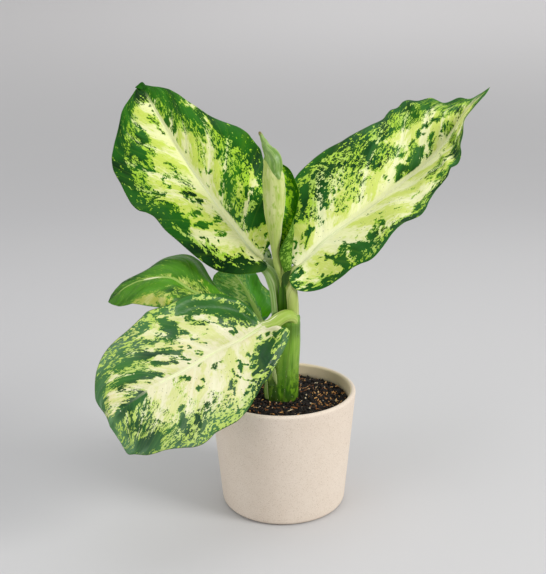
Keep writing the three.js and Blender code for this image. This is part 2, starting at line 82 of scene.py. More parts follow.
def cubic(T, Y, x):
    """Smooth curve through the points Y at parameters T, read at x."""
    T = np.asarray(T, float)
    Y = np.asarray(Y, float)
    if Y.ndim == 1:
        return cubic(T, Y[:, None], x)[:, 0]
    d = np.diff(Y, axis=0) / np.diff(T)[:, None]
    h = np.diff(T)[:, None]
    m = np.empty_like(Y)
    m[1:-1] = (d[:-1] * h[1:] + d[1:] * h[:-1]) / (h[1:] + h[:-1])
    m[0] = 1.5 * d[0] - 0.5 * m[1]
    m[-1] = 1.5 * d[-1] - 0.5 * m[-2]
    x = np.clip(np.asarray(x, float), T[0], T[-1])
    i = np.clip(np.searchsorted(T, x, side="right") - 1, 0, len(T) - 2)
    w = (T[i + 1] - T[i])[:, None]
    s = ((x - T[i])[:, None]) / w
    return (
        (1 + 2 * s) * (1 - s) ** 2 * Y[i]
        + s * (1 - s) ** 2 * w * m[i]
        + s * s * (3 - 2 * s) * Y[i + 1]
        + s * s * (s - 1) * w * m[i + 1]
    )


def ripple(x, seed, n=5, lo=0.6, hi=1.8):
    """A smooth one-dimensional wander, about -1 to 1, with waves of length 1/lo to 1/hi."""
    r = np.random.default_rng(seed)
    out = np.zeros_like(np.asarray(x, float))
    for _ in range(n):
        out = out + np.sin(2 * math.pi * (x * r.uniform(lo, hi) + r.uniform()))
    return out / math.sqrt(n)


def swell(x, y, seed, n=7, lo=0.5, hi=1.6):
    """The same over two directions."""
    r = np.random.default_rng(seed)
    out = np.zeros_like(np.asarray(x + y, float))
    for _ in range(n):
        k, a = r.uniform(lo, hi), r.uniform(0, 2 * math.pi)
        out = out + np.sin(2 * math.pi * (k * (x * math.cos(a) + y * math.sin(a)) + r.uniform()))
    return out / math.sqrt(n)


def unit(a):
    n = np.linalg.norm(a, axis=-1, keepdims=True)
    return a / np.maximum(n, 1e-12)


class Build:
    """Collects closed shells, in millimetres, into one mesh with attributes."""

    def __init__(self, names=(), vectors=()):
        self.v, self.f, self.size, self.mat, self.uv = [], [], [], [], []
        self.names, self.vectors = names, vectors
        self.att = {n: [] for n in (*names, *vectors)}
        self.n = 0

    def add(self, verts, faces, mat=0, uv=None, **att):
        verts = np.asarray(verts, float)
        self.v.append(verts)
        self.size.append(np.fromiter(map(len, faces), np.int32, len(faces)))
        self.f.append(np.fromiter(chain.from_iterable(faces), np.int64) + self.n)
        self.mat.append(np.full(len(faces), mat) if np.isscalar(mat) else np.asarray(mat))
        uv = np.zeros((len(verts), 2)) if uv is None else np.asarray(uv, float)
        self.uv.append(uv)
        for n in self.names:
            a = att.get(n, 0.0)
            self.att[n].append(np.full(len(verts), a, float) if np.isscalar(a) else np.asarray(a, float).ravel())
        for n in self.vectors:
            a = att.get(n)
            self.att[n].append(np.zeros((len(verts), 3)) if a is None else np.asarray(a, float).reshape(-1, 3))
        self.n += len(verts)

    def object(self, name, materials, smooth=True):
        v = np.vstack(self.v) * MM
        corners, size = np.concatenate(self.f), np.concatenate(self.size)
        me = bpy.data.meshes.new(name)
        me.vertices.add(len(v))
        me.loops.add(len(corners))
        me.polygons.add(len(size))
        me.vertices.foreach_set("co", v.astype(np.float32).ravel())
        me.polygons.foreach_set("loop_start", (np.cumsum(size) - size).astype(np.int32))
        me.loops.foreach_set("vertex_index", corners.astype(np.int32))
        me.update(calc_edges=True)
        for m in materials:
            me.materials.append(m)
        me.polygons.foreach_set("material_index", np.concatenate(self.mat).astype(np.int32))
        me.polygons.foreach_set("use_smooth", np.full(len(size), smooth))
        for n in self.names:
            me.attributes.new(n, "FLOAT", "POINT").data.foreach_set("value", np.concatenate(self.att[n]).astype(np.float32))
        for n in self.vectors:
            me.attributes.new(n, "FLOAT_VECTOR", "POINT").data.foreach_set("vector", np.vstack(self.att[n]).astype(np.float32).ravel())
        uv = np.vstack(self.uv)
        layer = me.uv_layers.new(name="OFBake")
        loops = np.zeros(len(me.loops), np.int32)
        me.loops.foreach_get("vertex_index", loops)
        layer.data.foreach_set("uv", uv[loops].astype(np.float32).ravel())
        me.update()
        o = bpy.data.objects.new(name, me)
        bpy.context.scene.collection.objects.link(o)
        return o


def grid_faces(rows, cols, base=0, wrap=False, flip=False):
    out = []
    w = cols if not wrap else cols
    for i in range(rows - 1):
        for j in range(cols - 1 if not wrap else cols):
            a = base + i * w + j
            b = base + i * w + (j + 1) % w
            c = b + w
            d = a + w
            out.append((a, d, c, b) if flip else (a, b, c, d))
    return out


def shell_volume(verts, faces):
    v = np.asarray(verts, float)
    tri = [(f[0], f[k], f[k + 1]) for f in faces for k in range(1, len(f) - 1)]
    t = v[np.array(tri)]
    return float(np.einsum("ij,ij->i", t[:, 0], np.cross(t[:, 1], t[:, 2])).sum()) / 6


def outward(verts, faces):
    """The same faces, all turned so that the shell's normals point out."""
    return faces if shell_volume(verts, faces) > 0 else [tuple(reversed(f)) for f in faces]


def loft(centre, side, upv, sections):
    """A closed tube. centre, side, upv: n x 3. sections: n x k x 2, offsets along side and upv."""
    n, k = sections.shape[:2]
    ring = centre[:, None] + side[:, None] * sections[..., :1] + upv[:, None] * sections[..., 1:]
    verts = np.vstack([ring.reshape(-1, 3), centre[:1] + (ring[0].mean(0) - centre[0]), centre[-1:] + (ring[-1].mean(0) - centre[-1])])
    faces = grid_faces(n, k, wrap=True)
    a, b = n * k, n * k + 1
    faces += [(a, (j + 1) % k, j) for j in range(k)]
    faces += [(b, (n - 1) * k + j, (n - 1) * k + (j + 1) % k) for j in range(k)]
    return verts, outward(verts, faces)


def transport(centre, first):
    """Side and up vectors carried along a curve without twist, up starting near first."""
    tan = unit(np.gradient(centre, axis=0))
    ups = []
    u = np.asarray(first, float)
    for t in tan:
        u = u - np.dot(u, t) * t
        u = u / np.linalg.norm(u)
        ups.append(u)
    ups = np.array(ups)
    return tan, np.cross(tan, ups), ups


# ------------------------------------------------------------ leaf surfaces
# Control curves of the six open leaves, in millimetres, the same as the solid
# model's and more closely spaced.
# each leaf: midrib, left margin and right margin (mm), then the lift of each half
STATIONS = [0, 0.01444, 0.03027, 0.04747, 0.06601, 0.08588, 0.107, 0.1294, 0.153, 0.1777, 0.2034, 0.2301, 0.2577, 0.2862, 0.3154, 0.3451, 0.3755, 0.4062, 0.4373, 0.4686, 0.5, 0.5314, 0.5627, 0.5938, 0.6245, 0.6549, 0.6846, 0.7138, 0.7423, 0.7699, 0.7966, 0.8223, 0.847, 0.8706, 0.893, 0.9141, 0.934, 0.9525, 0.9697, 0.9856, 1]
BLADES = {
    "leaf_front_left": {
        "mid": [(-17.5, -21, 171), (-19.3, -22.6, 170.2), (-21.3, -24.3, 169.3), (-23.5, -26.1, 168.4), (-25.9, -28.2, 167.4), (-28.5, -30.3, 166.5), (-31.3, -32.7, 165.6), (-34.2, -35.3, 164.7), (-37.3, -38.2, 164), (-40.6, -41.4, 163.4), (-44.1, -44.7, 162.9), (-47.7, -48.1, 162.4), (-51.3, -51.6, 161.9), (-54.9, -55.3, 161.2), (-58.5, -59.1, 160.4), (-62.1, -63.1, 159.5), (-65.6, -67.2, 158.5), (-69.2, -71.3, 157.5), (-72.7, -75.5, 156.6), (-76.2, -79.7, 155.6), (-79.8, -83.9, 154.8), (-83.5, -87.7, 154.2), (-87.2, -91.5, 153.6), (-90.8, -95.3, 153), (-94.3, -98.9, 152.4), (-97.7, -102.6, 151.9), (-101, -106.1, 151.2), (-104, -109.3, 150.1), (-106.9, -112.2, 148.8), (-109.7, -115, 147.6), (-112.3, -117.7, 146.4), (-114.8, -120.2, 145.2), (-117.2, -122.5, 143.9), (-119.5, -124.4, 142.5), (-121.5, -126.1, 141), (-123.4, -127.7, 139.5), (-125, -129.2, 138), (-126.3, -130.5, 136.3), (-127.3, -131.8, 134.6), (-128.2, -132.9, 133.1), (-129, -134, 131.7)],
        "left": [(-17.5, -21, 171), (-5.5, -21.5, 166.4), (0.3, -24.5, 170.6), (5.6, -27.0, 168.7), (5.4, -30.0, 163.6), (3.1, -33.2, 158.6), (0.2, -37.2, 154.0), (-3.3, -42.2, 149.1), (-6.3, -47.0, 144.7), (-9.7, -51.2, 140.2), (-13.1, -55.4, 135.8), (-16.7, -59.4, 133.4), (-18.9, -63.3, 130.2), (-20.9, -67.2, 127.5), (-23.2, -71, 124.9), (-25.8, -75, 122), (-29.1, -79, 119.1), (-32.8, -83, 116.4), (-37, -86.9, 114), (-42.5, -90.7, 112.4), (-48.8, -94.6, 110.8), (-54.4, -98.6, 109), (-58.2, -103, 106.2), (-62.3, -107.1, 104.2), (-67.2, -110.8, 103.7), (-71.7, -114, 104.6), (-75.3, -116.9, 106.1), (-79.1, -119.4, 107.3), (-83.6, -121.8, 108.2), (-88.1, -124.3, 108.6), (-92.3, -126.8, 108.4), (-96.1, -129.4, 107.9), (-99.5, -131.5, 107.8), (-102.3, -133.2, 108), (-104.7, -134.5, 108.7), (-106.9, -135.6, 109.5), (-109, -136.5, 110.2), (-111.6, -137.4, 111), (-116.8, -138, 112), (-121.9, -136.3, 120.8), (-129, -134, 131.7)],
        "right": [(-17.5, -21, 171), (-22.2, -19.6, 178.6), (-26.8, -18.6, 184.8), (-30.8, -18.3, 188.8), (-34.3, -18.5, 191.5), (-37.7, -19, 193.7), (-41.3, -19.9, 195.8), (-45.1, -21.2, 197.5), (-48.9, -23, 199), (-52.9, -25, 200.5), (-57.6, -27.3, 201.4), (-62.7, -29.8, 202.4), (-68.4, -32.4, 203.2), (-74.5, -35.3, 203.4), (-80.3, -39, 202.5), (-85.4, -43.4, 201.1), (-90.5, -47.8, 200), (-95.7, -52.1, 199.7), (-100.8, -56.3, 199.6), (-105.1, -60.7, 199.3), (-108.3, -65.1, 198.4), (-111, -69.9, 196), (-114.4, -74.5, 193.4), (-117.8, -79.2, 190.8), (-121.5, -83.7, 188.4), (-125.6, -88.1, 186.1), (-130.1, -92.6, 183.2), (-133.9, -96.7, 179.9), (-136.5, -100.5, 176.6), (-138.4, -104.3, 173.1), (-139.7, -107.9, 169.5), (-140.6, -111.5, 165.8), (-141, -115, 161.7), (-141.1, -118.2, 157.3), (-141, -121.1, 152.9), (-140.3, -123.8, 148.5), (-137.6, -126.3, 144.3), (-134.2, -128.6, 140.5), (-131.7, -130.6, 137), (-130.2, -132.4, 134.1), (-129, -134, 131.7)],
        "lift_l": [1, 1.2, 1.4, 1.6, 1.9, 2.1, 2.4, 2.7, 3, 3.4, 3.7, 4.1, 4.4, 4.8, 5, 5.1, 5.3, 5.4, 5.5, 5.6, 5.7, 5.8, 5.9, 5.9, 5.7, 5.4, 5.2, 4.9, 4.6, 4.3, 4, 3.8, 3.5, 3.3, 2.9, 2.5, 2, 1.4, 0.9, 0.4, 0],
        "lift_r": [1, 1.2, 1.4, 1.6, 1.9, 2.1, 2.4, 2.7, 3, 3.4, 3.7, 4.1, 4.4, 4.8, 5, 5.1, 5.3, 5.4, 5.5, 5.6, 5.7, 5.8, 5.9, 5.9, 5.6, 5.3, 4.9, 4.5, 4.1, 3.7, 3.4, 3, 2.7, 2.4, 2, 1.7, 1.3, 0.9, 0.6, 0.3, 0],
    },
    "leaf_upper_left": {
        "mid": [(-16.3, 12, 216.8), (-18, 12.7, 218.7), (-20, 13.5, 220.9), (-22.1, 14.4, 223.2), (-24.3, 15.3, 225.8), (-26.7, 16.4, 228.5), (-29.2, 17.7, 231.4), (-31.7, 19.2, 234.6), (-34.3, 21, 237.9), (-37, 22.8, 241.4), (-39.9, 24.8, 245.1), (-43, 26.8, 248.8), (-46.3, 28.8, 252.6), (-49.7, 31.1, 256.5), (-53.2, 33.5, 260.5), (-56.6, 36.3, 264.6), (-59.8, 39.2, 269.1), (-63.2, 42.1, 273.5), (-66.9, 45, 277.8), (-70.5, 48, 282.3), (-74.1, 51, 286.8), (-77.7, 54.1, 291.4), (-81.2, 57.3, 296), (-84.6, 60.4, 300.7), (-88, 63.5, 305.3), (-91.4, 66.5, 309.9), (-94.5, 69.5, 314.6), (-97.5, 72.6, 319.2), (-100.5, 75.8, 323.6), (-103.6, 78.9, 327.9), (-106.4, 81.9, 332.1), (-109.2, 84.9, 336.2), (-111.9, 87.8, 340.1), (-114.5, 90.6, 343.8), (-116.8, 93.4, 347.5), (-119, 96.1, 350.9), (-121, 98.6, 354.3), (-122.8, 101, 357.4), (-124.4, 103.2, 360.3), (-125.8, 105.2, 363.1), (-127.2, 106.9, 365.6)],
        "left": [(-16.3, 12, 216.8), (-16, 8.6, 218.2), (-15.7, 4.5, 219.8), (-12.4, 1.7, 217.7), (-14.5, 1, 213.8), (-19.9, 2.2, 211.7), (-25.9, 3.8, 210.5), (-32.4, 5.7, 209.6), (-39.2, 7.8, 208.9), (-46.7, 8.9, 209.7), (-54.5, 10, 211.3), (-62.1, 11.3, 214.7), (-69.5, 12.8, 219.3), (-76.8, 14.6, 224.5), (-84, 16.9, 230.4), (-91.2, 19.9, 236.6), (-98.8, 23.2, 242.8), (-102.5, 25.4, 246.4), (-106.3, 27.9, 250.9), (-111.4, 30.6, 255.9), (-118.3, 32.8, 259), (-126, 35, 260.8), (-132.1, 38.2, 265.6), (-135.9, 41.5, 271.2), (-139, 44.8, 276.5), (-142.2, 48.2, 282.5), (-146.2, 51.8, 288.5), (-149.3, 55.5, 293.5), (-151, 59.5, 298.5), (-152, 63.9, 304.2), (-151.5, 68.3, 310.2), (-150.6, 72.6, 316.3), (-149.1, 76.9, 322.5), (-147.5, 81.3, 328.8), (-146.2, 85.6, 335), (-145, 89.7, 340.9), (-142.5, 93.7, 346.5), (-139, 97.4, 351.6), (-135.4, 100.9, 356.8), (-131.9, 104.3, 362), (-127.2, 106.9, 365.6)],
        "right": [(-16.3, 12, 216.8), (-15.7, 13.7, 220.8), (-14.4, 15.7, 225.6), (-11.5, 17.7, 230.7), (-8, 19.8, 235.7), (-6.3, 21.8, 240.6), (-5.8, 23.6, 245), (-5.5, 25.6, 249.4), (-5.8, 27.7, 254.2), (-6.1, 30.1, 259.5), (-6.7, 32.6, 265.2), (-7.3, 35.3, 271.3), (-8.2, 38, 277.3), (-9.6, 40.6, 282.8), (-10.7, 43.2, 287.6), (-11.9, 45.6, 291.6), (-13.7, 48.4, 296.8), (-15.7, 51.8, 303.9), (-17.7, 54.9, 310), (-21.3, 57.5, 314.1), (-25, 60.1, 318.4), (-28.5, 63, 323), (-32.8, 65.7, 326.6), (-38.1, 68.2, 329.7), (-44.9, 70.5, 332.1), (-51.6, 72.6, 334), (-57.7, 74.6, 335.6), (-64.4, 77.1, 337.9), (-70.5, 80, 341.1), (-75.9, 82.9, 344.2), (-80.8, 85.8, 347.3), (-85.2, 88.6, 350.6), (-89.2, 91.5, 353.9), (-92.9, 94.2, 356.9), (-97.1, 96.8, 359.3), (-101.4, 99.1, 361.4), (-106.4, 101, 362.6), (-111.8, 102.7, 363.5), (-117.2, 104.2, 363.9), (-122.4, 105.6, 364.7), (-127.2, 106.9, 365.6)],
        "lift_l": [1, 1.2, 1.5, 1.8, 2.1, 2.4, 2.8, 3.2, 3.5, 4, 4.4, 4.8, 5.3, 5.7, 6, 6.1, 6.3, 6.4, 6.5, 6.6, 6.7, 6.8, 6.9, 6.9, 6.6, 6.3, 5.9, 5.5, 5.1, 4.7, 4.4, 4, 3.7, 3.4, 3, 2.5, 2, 1.4, 0.9, 0.4, 0],
        "lift_r": [1, 1.2, 1.4, 1.6, 1.9, 2.1, 2.4, 2.7, 3, 3.4, 3.7, 4.1, 4.4, 4.8, 5.1, 5.3, 5.5, 5.7, 5.9, 6.1, 6.3, 6.5, 6.7, 6.8, 6.6, 6.3, 5.9, 5.5, 5.1, 4.7, 4.4, 4, 3.7, 3.4, 3, 2.5, 2, 1.4, 0.9, 0.4, 0],
    },
    "leaf_upper_right": {
        "mid": [(13.9, 4, 215.8), (16.1, 4.4, 218.3), (18.5, 4.9, 220.9), (21.2, 5.4, 223.7), (24.2, 6, 226.6), (27.4, 6.7, 229.7), (30.9, 7.6, 232.9), (34.7, 8.8, 236.1), (38.8, 10.2, 239.4), (43.3, 11.7, 242.7), (48, 13.2, 246), (53, 14.8, 249.2), (58.4, 16.5, 252.4), (63.9, 18.2, 255.6), (69.6, 20.1, 258.9), (75.3, 22.2, 262.5), (81, 24.3, 266.4), (86.6, 26.4, 270.4), (92.4, 28.6, 274.5), (98.3, 30.8, 278.5), (104.2, 33, 282.5), (110.4, 35.4, 286.4), (116.5, 37.7, 290.2), (122.3, 40, 294.4), (127.9, 42.3, 298.7), (133.1, 44.6, 303.3), (138, 46.9, 308.1), (142.7, 49.1, 312.8), (147.1, 51.4, 317.6), (151, 53.6, 322.6), (154.7, 55.7, 327.5), (158.1, 57.8, 332.3), (161.4, 59.9, 336.9), (164.8, 62, 341.1), (168.3, 64, 345), (171.8, 66, 348.5), (175.3, 67.8, 351.6), (178.7, 69.6, 354.4), (181.9, 71.2, 357), (184.9, 72.7, 359.3), (187.6, 74, 361.5)],
        "left": [(13.9, 4, 215.8), (3.7, 6.7, 222.1), (-0.8, 10.4, 231.4), (-1.8, 13.6, 239.1), (-1.9, 16.2, 245.4), (-1.1, 18.5, 251.3), (-0.1, 20.9, 257.6), (1.7, 23.6, 264.3), (3.8, 26.5, 271.2), (6.5, 29.6, 278.1), (10.1, 32.4, 285), (14.7, 35, 291.5), (20.2, 37.1, 296.8), (25.5, 39, 301.1), (30, 40.7, 304.7), (34.6, 42.4, 307.7), (39.8, 44.2, 311), (46.3, 45.8, 314.1), (53.5, 47.5, 317.2), (60.6, 49.5, 321.2), (68.2, 51.4, 324.9), (75.7, 53.4, 328.6), (81.2, 55.2, 331.4), (86.2, 56.8, 333.7), (90.9, 58.4, 336.7), (93.8, 60.3, 340.7), (98, 62, 344.6), (104.3, 63.1, 345.9), (108.6, 64.5, 348.9), (114.2, 65.3, 350.3), (122.2, 65.7, 350.5), (132.3, 65.9, 350.4), (143, 65.7, 348.3), (152.5, 66.5, 349.6), (160.4, 67.6, 351.2), (167.4, 68.2, 351), (173, 69.3, 352.7), (177.2, 70.6, 355.3), (181.1, 71.8, 357.3), (184.5, 72.9, 359.5), (187.6, 74, 361.5)],
        "right": [(13.9, 4, 215.8), (6.6, -4.5, 210.2), (7.5, -6.6, 203.2), (12.7, -7.0, 198.4), (21.7, -6.8, 196.8), (31.9, -7.4, 198.6), (39.9, -9.0, 202.5), (46.5, -11.3, 207.9), (51.6, -13.6, 212.7), (57.2, -15.7, 218.7), (61.5, -16.9, 221.9), (66.3, -18.3, 224.5), (71.6, -19.7, 226.8), (76.9, -20.5, 230.8), (82.1, -20.2, 236.4), (87.1, -19.2, 242.5), (91.5, -18, 248.6), (96.1, -17, 254.2), (101.6, -16.3, 258.7), (108.5, -16.2, 260.8), (115, -15.5, 263.1), (119.9, -12.7, 268.4), (123, -8.7, 275.9), (127.7, -5, 282.8), (134.1, -1.9, 287.6), (139.9, 1.3, 293.2), (141.9, 5.3, 300.7), (149, 8.9, 303.6), (153, 14.4, 310.1), (153.7, 20.3, 317.4), (155.2, 26, 324.2), (156.1, 31.4, 330.3), (157.9, 36.6, 335.8), (161.9, 41.8, 339.9), (166, 47, 343.6), (170, 52.1, 347.1), (174.1, 56.9, 350.2), (178.2, 61.5, 353), (182, 65.8, 355.6), (185.1, 70, 358.5), (187.6, 74, 361.5)],
        "lift_l": [1, 1.2, 1.5, 1.8, 2.1, 2.4, 2.8, 3.2, 3.5, 4, 4.4, 4.8, 5.3, 5.7, 5.9, 6, 6, 6, 6, 6, 6, 6, 6, 5.9, 5.6, 5.3, 4.9, 4.5, 4.1, 3.7, 3.4, 3, 2.7, 2.4, 2, 1.7, 1.3, 0.9, 0.6, 0.3, 0],
        "lift_r": [1, 1.2, 1.5, 1.8, 2.1, 2.4, 2.8, 3.2, 3.5, 4, 4.4, 4.8, 5.3, 5.7, 5.9, 6, 6, 6, 6, 6, 6, 6, 6, 5.9, 5.6, 5.3, 4.9, 4.5, 4.1, 3.7, 3.4, 3, 2.7, 2.4, 2, 1.7, 1.3, 0.9, 0.6, 0.3, 0],
    },
    "leaf_left": {
        "mid": [(-28, 1, 175.7), (-29.9, 1.2, 176.3), (-32, 1.4, 177), (-34.2, 1.6, 177.7), (-36.6, 1.9, 178.5), (-39.2, 2.1, 179.4), (-41.9, 2.4, 180.3), (-44.8, 2.7, 181.2), (-47.8, 3, 182.2), (-51, 3.4, 183.4), (-54.3, 3.7, 184.5), (-57.7, 4.1, 185.8), (-61.3, 4.4, 187.2), (-64.9, 4.9, 188.6), (-68.5, 5.5, 190.1), (-72.2, 6.2, 191.8), (-75.8, 7, 193.7), (-79.5, 7.8, 195.6), (-83.1, 8.7, 197.8), (-86.6, 9.5, 200.2), (-90.1, 10.3, 202.5), (-93.9, 11.2, 204.5), (-98.1, 12, 205.6), (-102.4, 12.8, 205.8), (-106.7, 13.7, 205.8), (-111, 14.5, 205.1), (-115.2, 15.3, 204), (-119.3, 16.1, 203), (-123.3, 16.9, 202), (-127.1, 17.7, 200.9), (-130.7, 18.4, 199.1), (-134.1, 19.1, 197.2), (-137.3, 19.8, 195.4), (-140.3, 20.4, 193.3), (-142.9, 21.1, 191.1), (-145.3, 21.6, 188.9), (-147.6, 22.2, 186.9), (-149.8, 22.7, 185), (-151.8, 23.2, 183.2), (-153.7, 23.6, 181.6), (-155.4, 24, 180.1)],
        "left": [(-28, 1, 175.7), (-30, -0.6, 172.8), (-32.9, -2, 171), (-35.9, -3.3, 169.9), (-38.7, -4.4, 169.3), (-41.6, -5.5, 169.4), (-44.6, -6.6, 169.5), (-47.7, -7.7, 169.8), (-50.9, -8.7, 170.6), (-54.2, -9.8, 171.5), (-57.7, -10.8, 172.5), (-61.3, -11.9, 173.6), (-65.1, -13, 174.9), (-69, -14.1, 176.2), (-73.2, -15, 177.7), (-77.4, -15.7, 179.3), (-81.7, -16.3, 180.8), (-86.3, -16.7, 182.4), (-91.3, -17.1, 184.1), (-95.5, -17.7, 185.6), (-97.8, -18.5, 186.3), (-98.8, -19, 186.8), (-99.8, -18.5, 186.8), (-101.2, -17, 186.6), (-102.9, -15.1, 186.4), (-104.7, -13, 186), (-108, -10.9, 185.6), (-112.3, -8.7, 185.5), (-115.9, -6.6, 185.4), (-118.2, -4.5, 185.2), (-120.6, -2.1, 184.9), (-124, 0.8, 184.7), (-127.5, 3.9, 184.2), (-130.6, 6.9, 183.6), (-133.6, 9.6, 182.1), (-136.8, 12.1, 180.5), (-140.3, 14.5, 179.2), (-144, 16.8, 178.1), (-147.8, 19.2, 178.2), (-151.8, 21.6, 178.7), (-155.4, 24, 180.1)],
        "right": [(-28, 1, 175.7), (-28.5, 2.9, 178.2), (-29.6, 4.9, 180.6), (-31.9, 6.8, 182), (-34.1, 8.7, 183.3), (-36.8, 10.6, 184), (-39.7, 12.6, 184.7), (-42.6, 14.7, 185.7), (-45.6, 16.8, 186.8), (-48.8, 18.9, 188.1), (-51.8, 21, 189.8), (-55, 23.2, 191.6), (-57.9, 25.6, 194.1), (-60.7, 28.2, 196.9), (-63.2, 30.9, 199.7), (-65.7, 33.6, 202.7), (-68, 35.8, 206.1), (-70.2, 37.6, 209.4), (-72.4, 39.1, 212.1), (-75.8, 40.5, 214.8), (-81, 42, 217.8), (-88.6, 42.9, 219.1), (-97.2, 42.7, 217.9), (-103.9, 41.7, 216.3), (-109.5, 40.3, 213.6), (-114.7, 38.7, 210), (-118.8, 37.5, 206.8), (-122.6, 36.5, 204.5), (-126.5, 35.5, 202.5), (-130.5, 34.7, 200.8), (-134.4, 34, 199.2), (-137.9, 33.1, 197.8), (-141.3, 32, 196.4), (-144.4, 30.9, 194.6), (-147, 29.8, 192.6), (-149.3, 28.8, 190.7), (-151, 27.8, 188.5), (-152.6, 26.8, 186.4), (-153.7, 25.8, 184.2), (-154.6, 24.9, 182.1), (-155.4, 24, 180.1)],
        "lift_l": [0, 0.2, 0.4, 0.6, 0.9, 1.1, 1.4, 1.7, 2, 2.4, 2.7, 3.1, 3.4, 3.8, 4, 4.1, 4.3, 4.4, 4.5, 4.6, 4.7, 4.8, 4.9, 4.9, 4.7, 4.4, 4.2, 3.9, 3.6, 3.3, 3, 2.8, 2.5, 2.3, 2, 1.7, 1.3, 0.9, 0.6, 0.3, 0],
        "lift_r": [0, 0.2, 0.4, 0.6, 0.9, 1.1, 1.4, 1.7, 2, 2.4, 2.7, 3.1, 3.4, 3.8, 4, 4.1, 4.3, 4.4, 4.5, 4.6, 4.7, 4.8, 4.9, 4.9, 4.7, 4.4, 4.2, 3.9, 3.6, 3.3, 3, 2.8, 2.5, 2.3, 2, 1.7, 1.3, 0.9, 0.6, 0.3, 0],
    },
    "leaf_back_left": {
        "mid": [(-17.9, 14, 162.1), (-18.2, 14.4, 162.8), (-18.6, 14.9, 163.6), (-19, 15.4, 164.4), (-19.4, 16, 165.2), (-19.9, 16.6, 166.2), (-20.4, 17.2, 167.2), (-20.9, 17.9, 168.2), (-21.5, 18.6, 169.3), (-22.1, 19.4, 170.4), (-22.8, 20.2, 171.6), (-23.5, 21.2, 172.8), (-24.2, 22.3, 173.9), (-25, 23.4, 175.2), (-25.8, 24.6, 176.4), (-26.6, 25.8, 177.7), (-27.4, 27, 179), (-28.3, 28.2, 180.3), (-29.2, 29.2, 181.7), (-30, 30.3, 183.1), (-30.9, 31.3, 184.5), (-31.8, 32.4, 185.9), (-32.8, 33.4, 187.3), (-33.7, 34.5, 188.7), (-34.7, 35.5, 190), (-35.6, 36.5, 191.4), (-36.5, 37.5, 192.7), (-37.4, 38.3, 194), (-38.4, 39.1, 195.2), (-39.4, 39.9, 196.4), (-40.4, 40.6, 197.5), (-41.3, 41.3, 198.6), (-42.2, 41.9, 199.7), (-43.1, 42.5, 200.7), (-44, 43.1, 201.5), (-44.9, 43.7, 202.3), (-45.7, 44.2, 203.1), (-46.5, 44.7, 203.7), (-47.2, 45.2, 204.4), (-47.9, 45.6, 205), (-48.5, 46, 205.5)],
        "left": [(-17.9, 14, 162.1), (-19.3, 14.5, 162.2), (-20.8, 15.1, 162.2), (-22.4, 15.8, 162.2), (-24, 16.5, 162.2), (-25.6, 17.3, 162.4), (-27, 18.2, 163), (-28.4, 19.3, 163.6), (-29.9, 20.3, 164.2), (-31.4, 21.4, 164.8), (-33.1, 22.6, 165.4), (-34.7, 23.9, 166.2), (-36.3, 25.3, 167.1), (-37.9, 26.8, 168.1), (-39.6, 28.2, 169), (-41.2, 29.7, 169.9), (-42.9, 31.3, 170.9), (-44.6, 32.8, 171.9), (-46.2, 34.2, 173.1), (-47.8, 35.6, 174.4), (-49.4, 36.8, 175.7), (-51, 37.7, 177), (-52.4, 38.3, 178.4), (-53.9, 39, 179.8), (-55.2, 39.6, 181.5), (-56.5, 40.3, 183.1), (-57.8, 40.9, 184.6), (-58.8, 41.4, 185.9), (-59.7, 41.8, 187.1), (-60.5, 42.2, 188.6), (-61.3, 42.6, 190.2), (-62.1, 43, 191.8), (-62.7, 43.2, 193.1), (-62.5, 43.4, 194.3), (-62.2, 43.6, 195.4), (-61.8, 43.9, 196.6), (-61.4, 44.1, 197.9), (-60.3, 44.4, 199.1), (-58.3, 44.9, 201), (-54.3, 45.5, 203.4), (-48.5, 46, 205.5)],
        "right": [(-17.9, 14, 162.1), (-16.7, 14.3, 163.3), (-15.4, 14.5, 164.5), (-13.8, 14.8, 165.7), (-12.4, 15.1, 167.1), (-11.2, 15.5, 168.6), (-10, 15.8, 170.1), (-8.8, 16.2, 171.6), (-8.2, 16.6, 173.3), (-8.1, 17, 175.1), (-8, 17.7, 176.9), (-8, 18.5, 178.6), (-8.2, 19.6, 180.3), (-8.6, 20.7, 182.1), (-9, 21.8, 183.9), (-9.5, 23, 185.9), (-10.7, 24.1, 187.6), (-12.5, 25.1, 189), (-14.2, 25.9, 190.5), (-15.6, 26.8, 191.9), (-17.2, 27.8, 193.3), (-18.3, 29.2, 194.9), (-19.3, 30.7, 196.7), (-20.2, 32.3, 198.3), (-21.1, 33.8, 199.9), (-22.1, 35.3, 201.5), (-23.6, 36.7, 202.8), (-25.2, 38, 204.1), (-26.8, 39.2, 205.5), (-28.7, 40.2, 206.3), (-30.6, 41, 206.7), (-32.5, 41.8, 207.1), (-34.5, 42.6, 207.5), (-36.6, 43.3, 207.9), (-38.7, 43.8, 207.5), (-40.7, 44.2, 207.1), (-42.5, 44.6, 206.8), (-44.2, 45, 206.4), (-45.8, 45.4, 206.1), (-47.2, 45.7, 205.8), (-48.5, 46, 205.5)],
        "lift_l": [0, 0.1, 0.3, 0.5, 0.7, 0.9, 1.1, 1.3, 1.5, 1.8, 2, 2.3, 2.6, 2.8, 3, 3, 3, 3, 3, 3, 3, 3, 3, 2.9, 2.8, 2.6, 2.4, 2.1, 1.9, 1.7, 1.5, 1.3, 1.1, 1, 0.8, 0.6, 0.5, 0.4, 0.2, 0.1, 0],
        "lift_r": [0, 0.2, 0.4, 0.6, 0.9, 1.1, 1.4, 1.7, 2, 2.4, 2.7, 3.1, 3.4, 3.8, 3.9, 4, 4, 4, 4, 4, 4, 4, 4, 3.9, 3.7, 3.5, 3.2, 2.9, 2.6, 2.3, 2, 1.8, 1.5, 1.3, 1.1, 0.9, 0.7, 0.5, 0.3, 0.1, 0],
    },
    "leaf_back_small": {
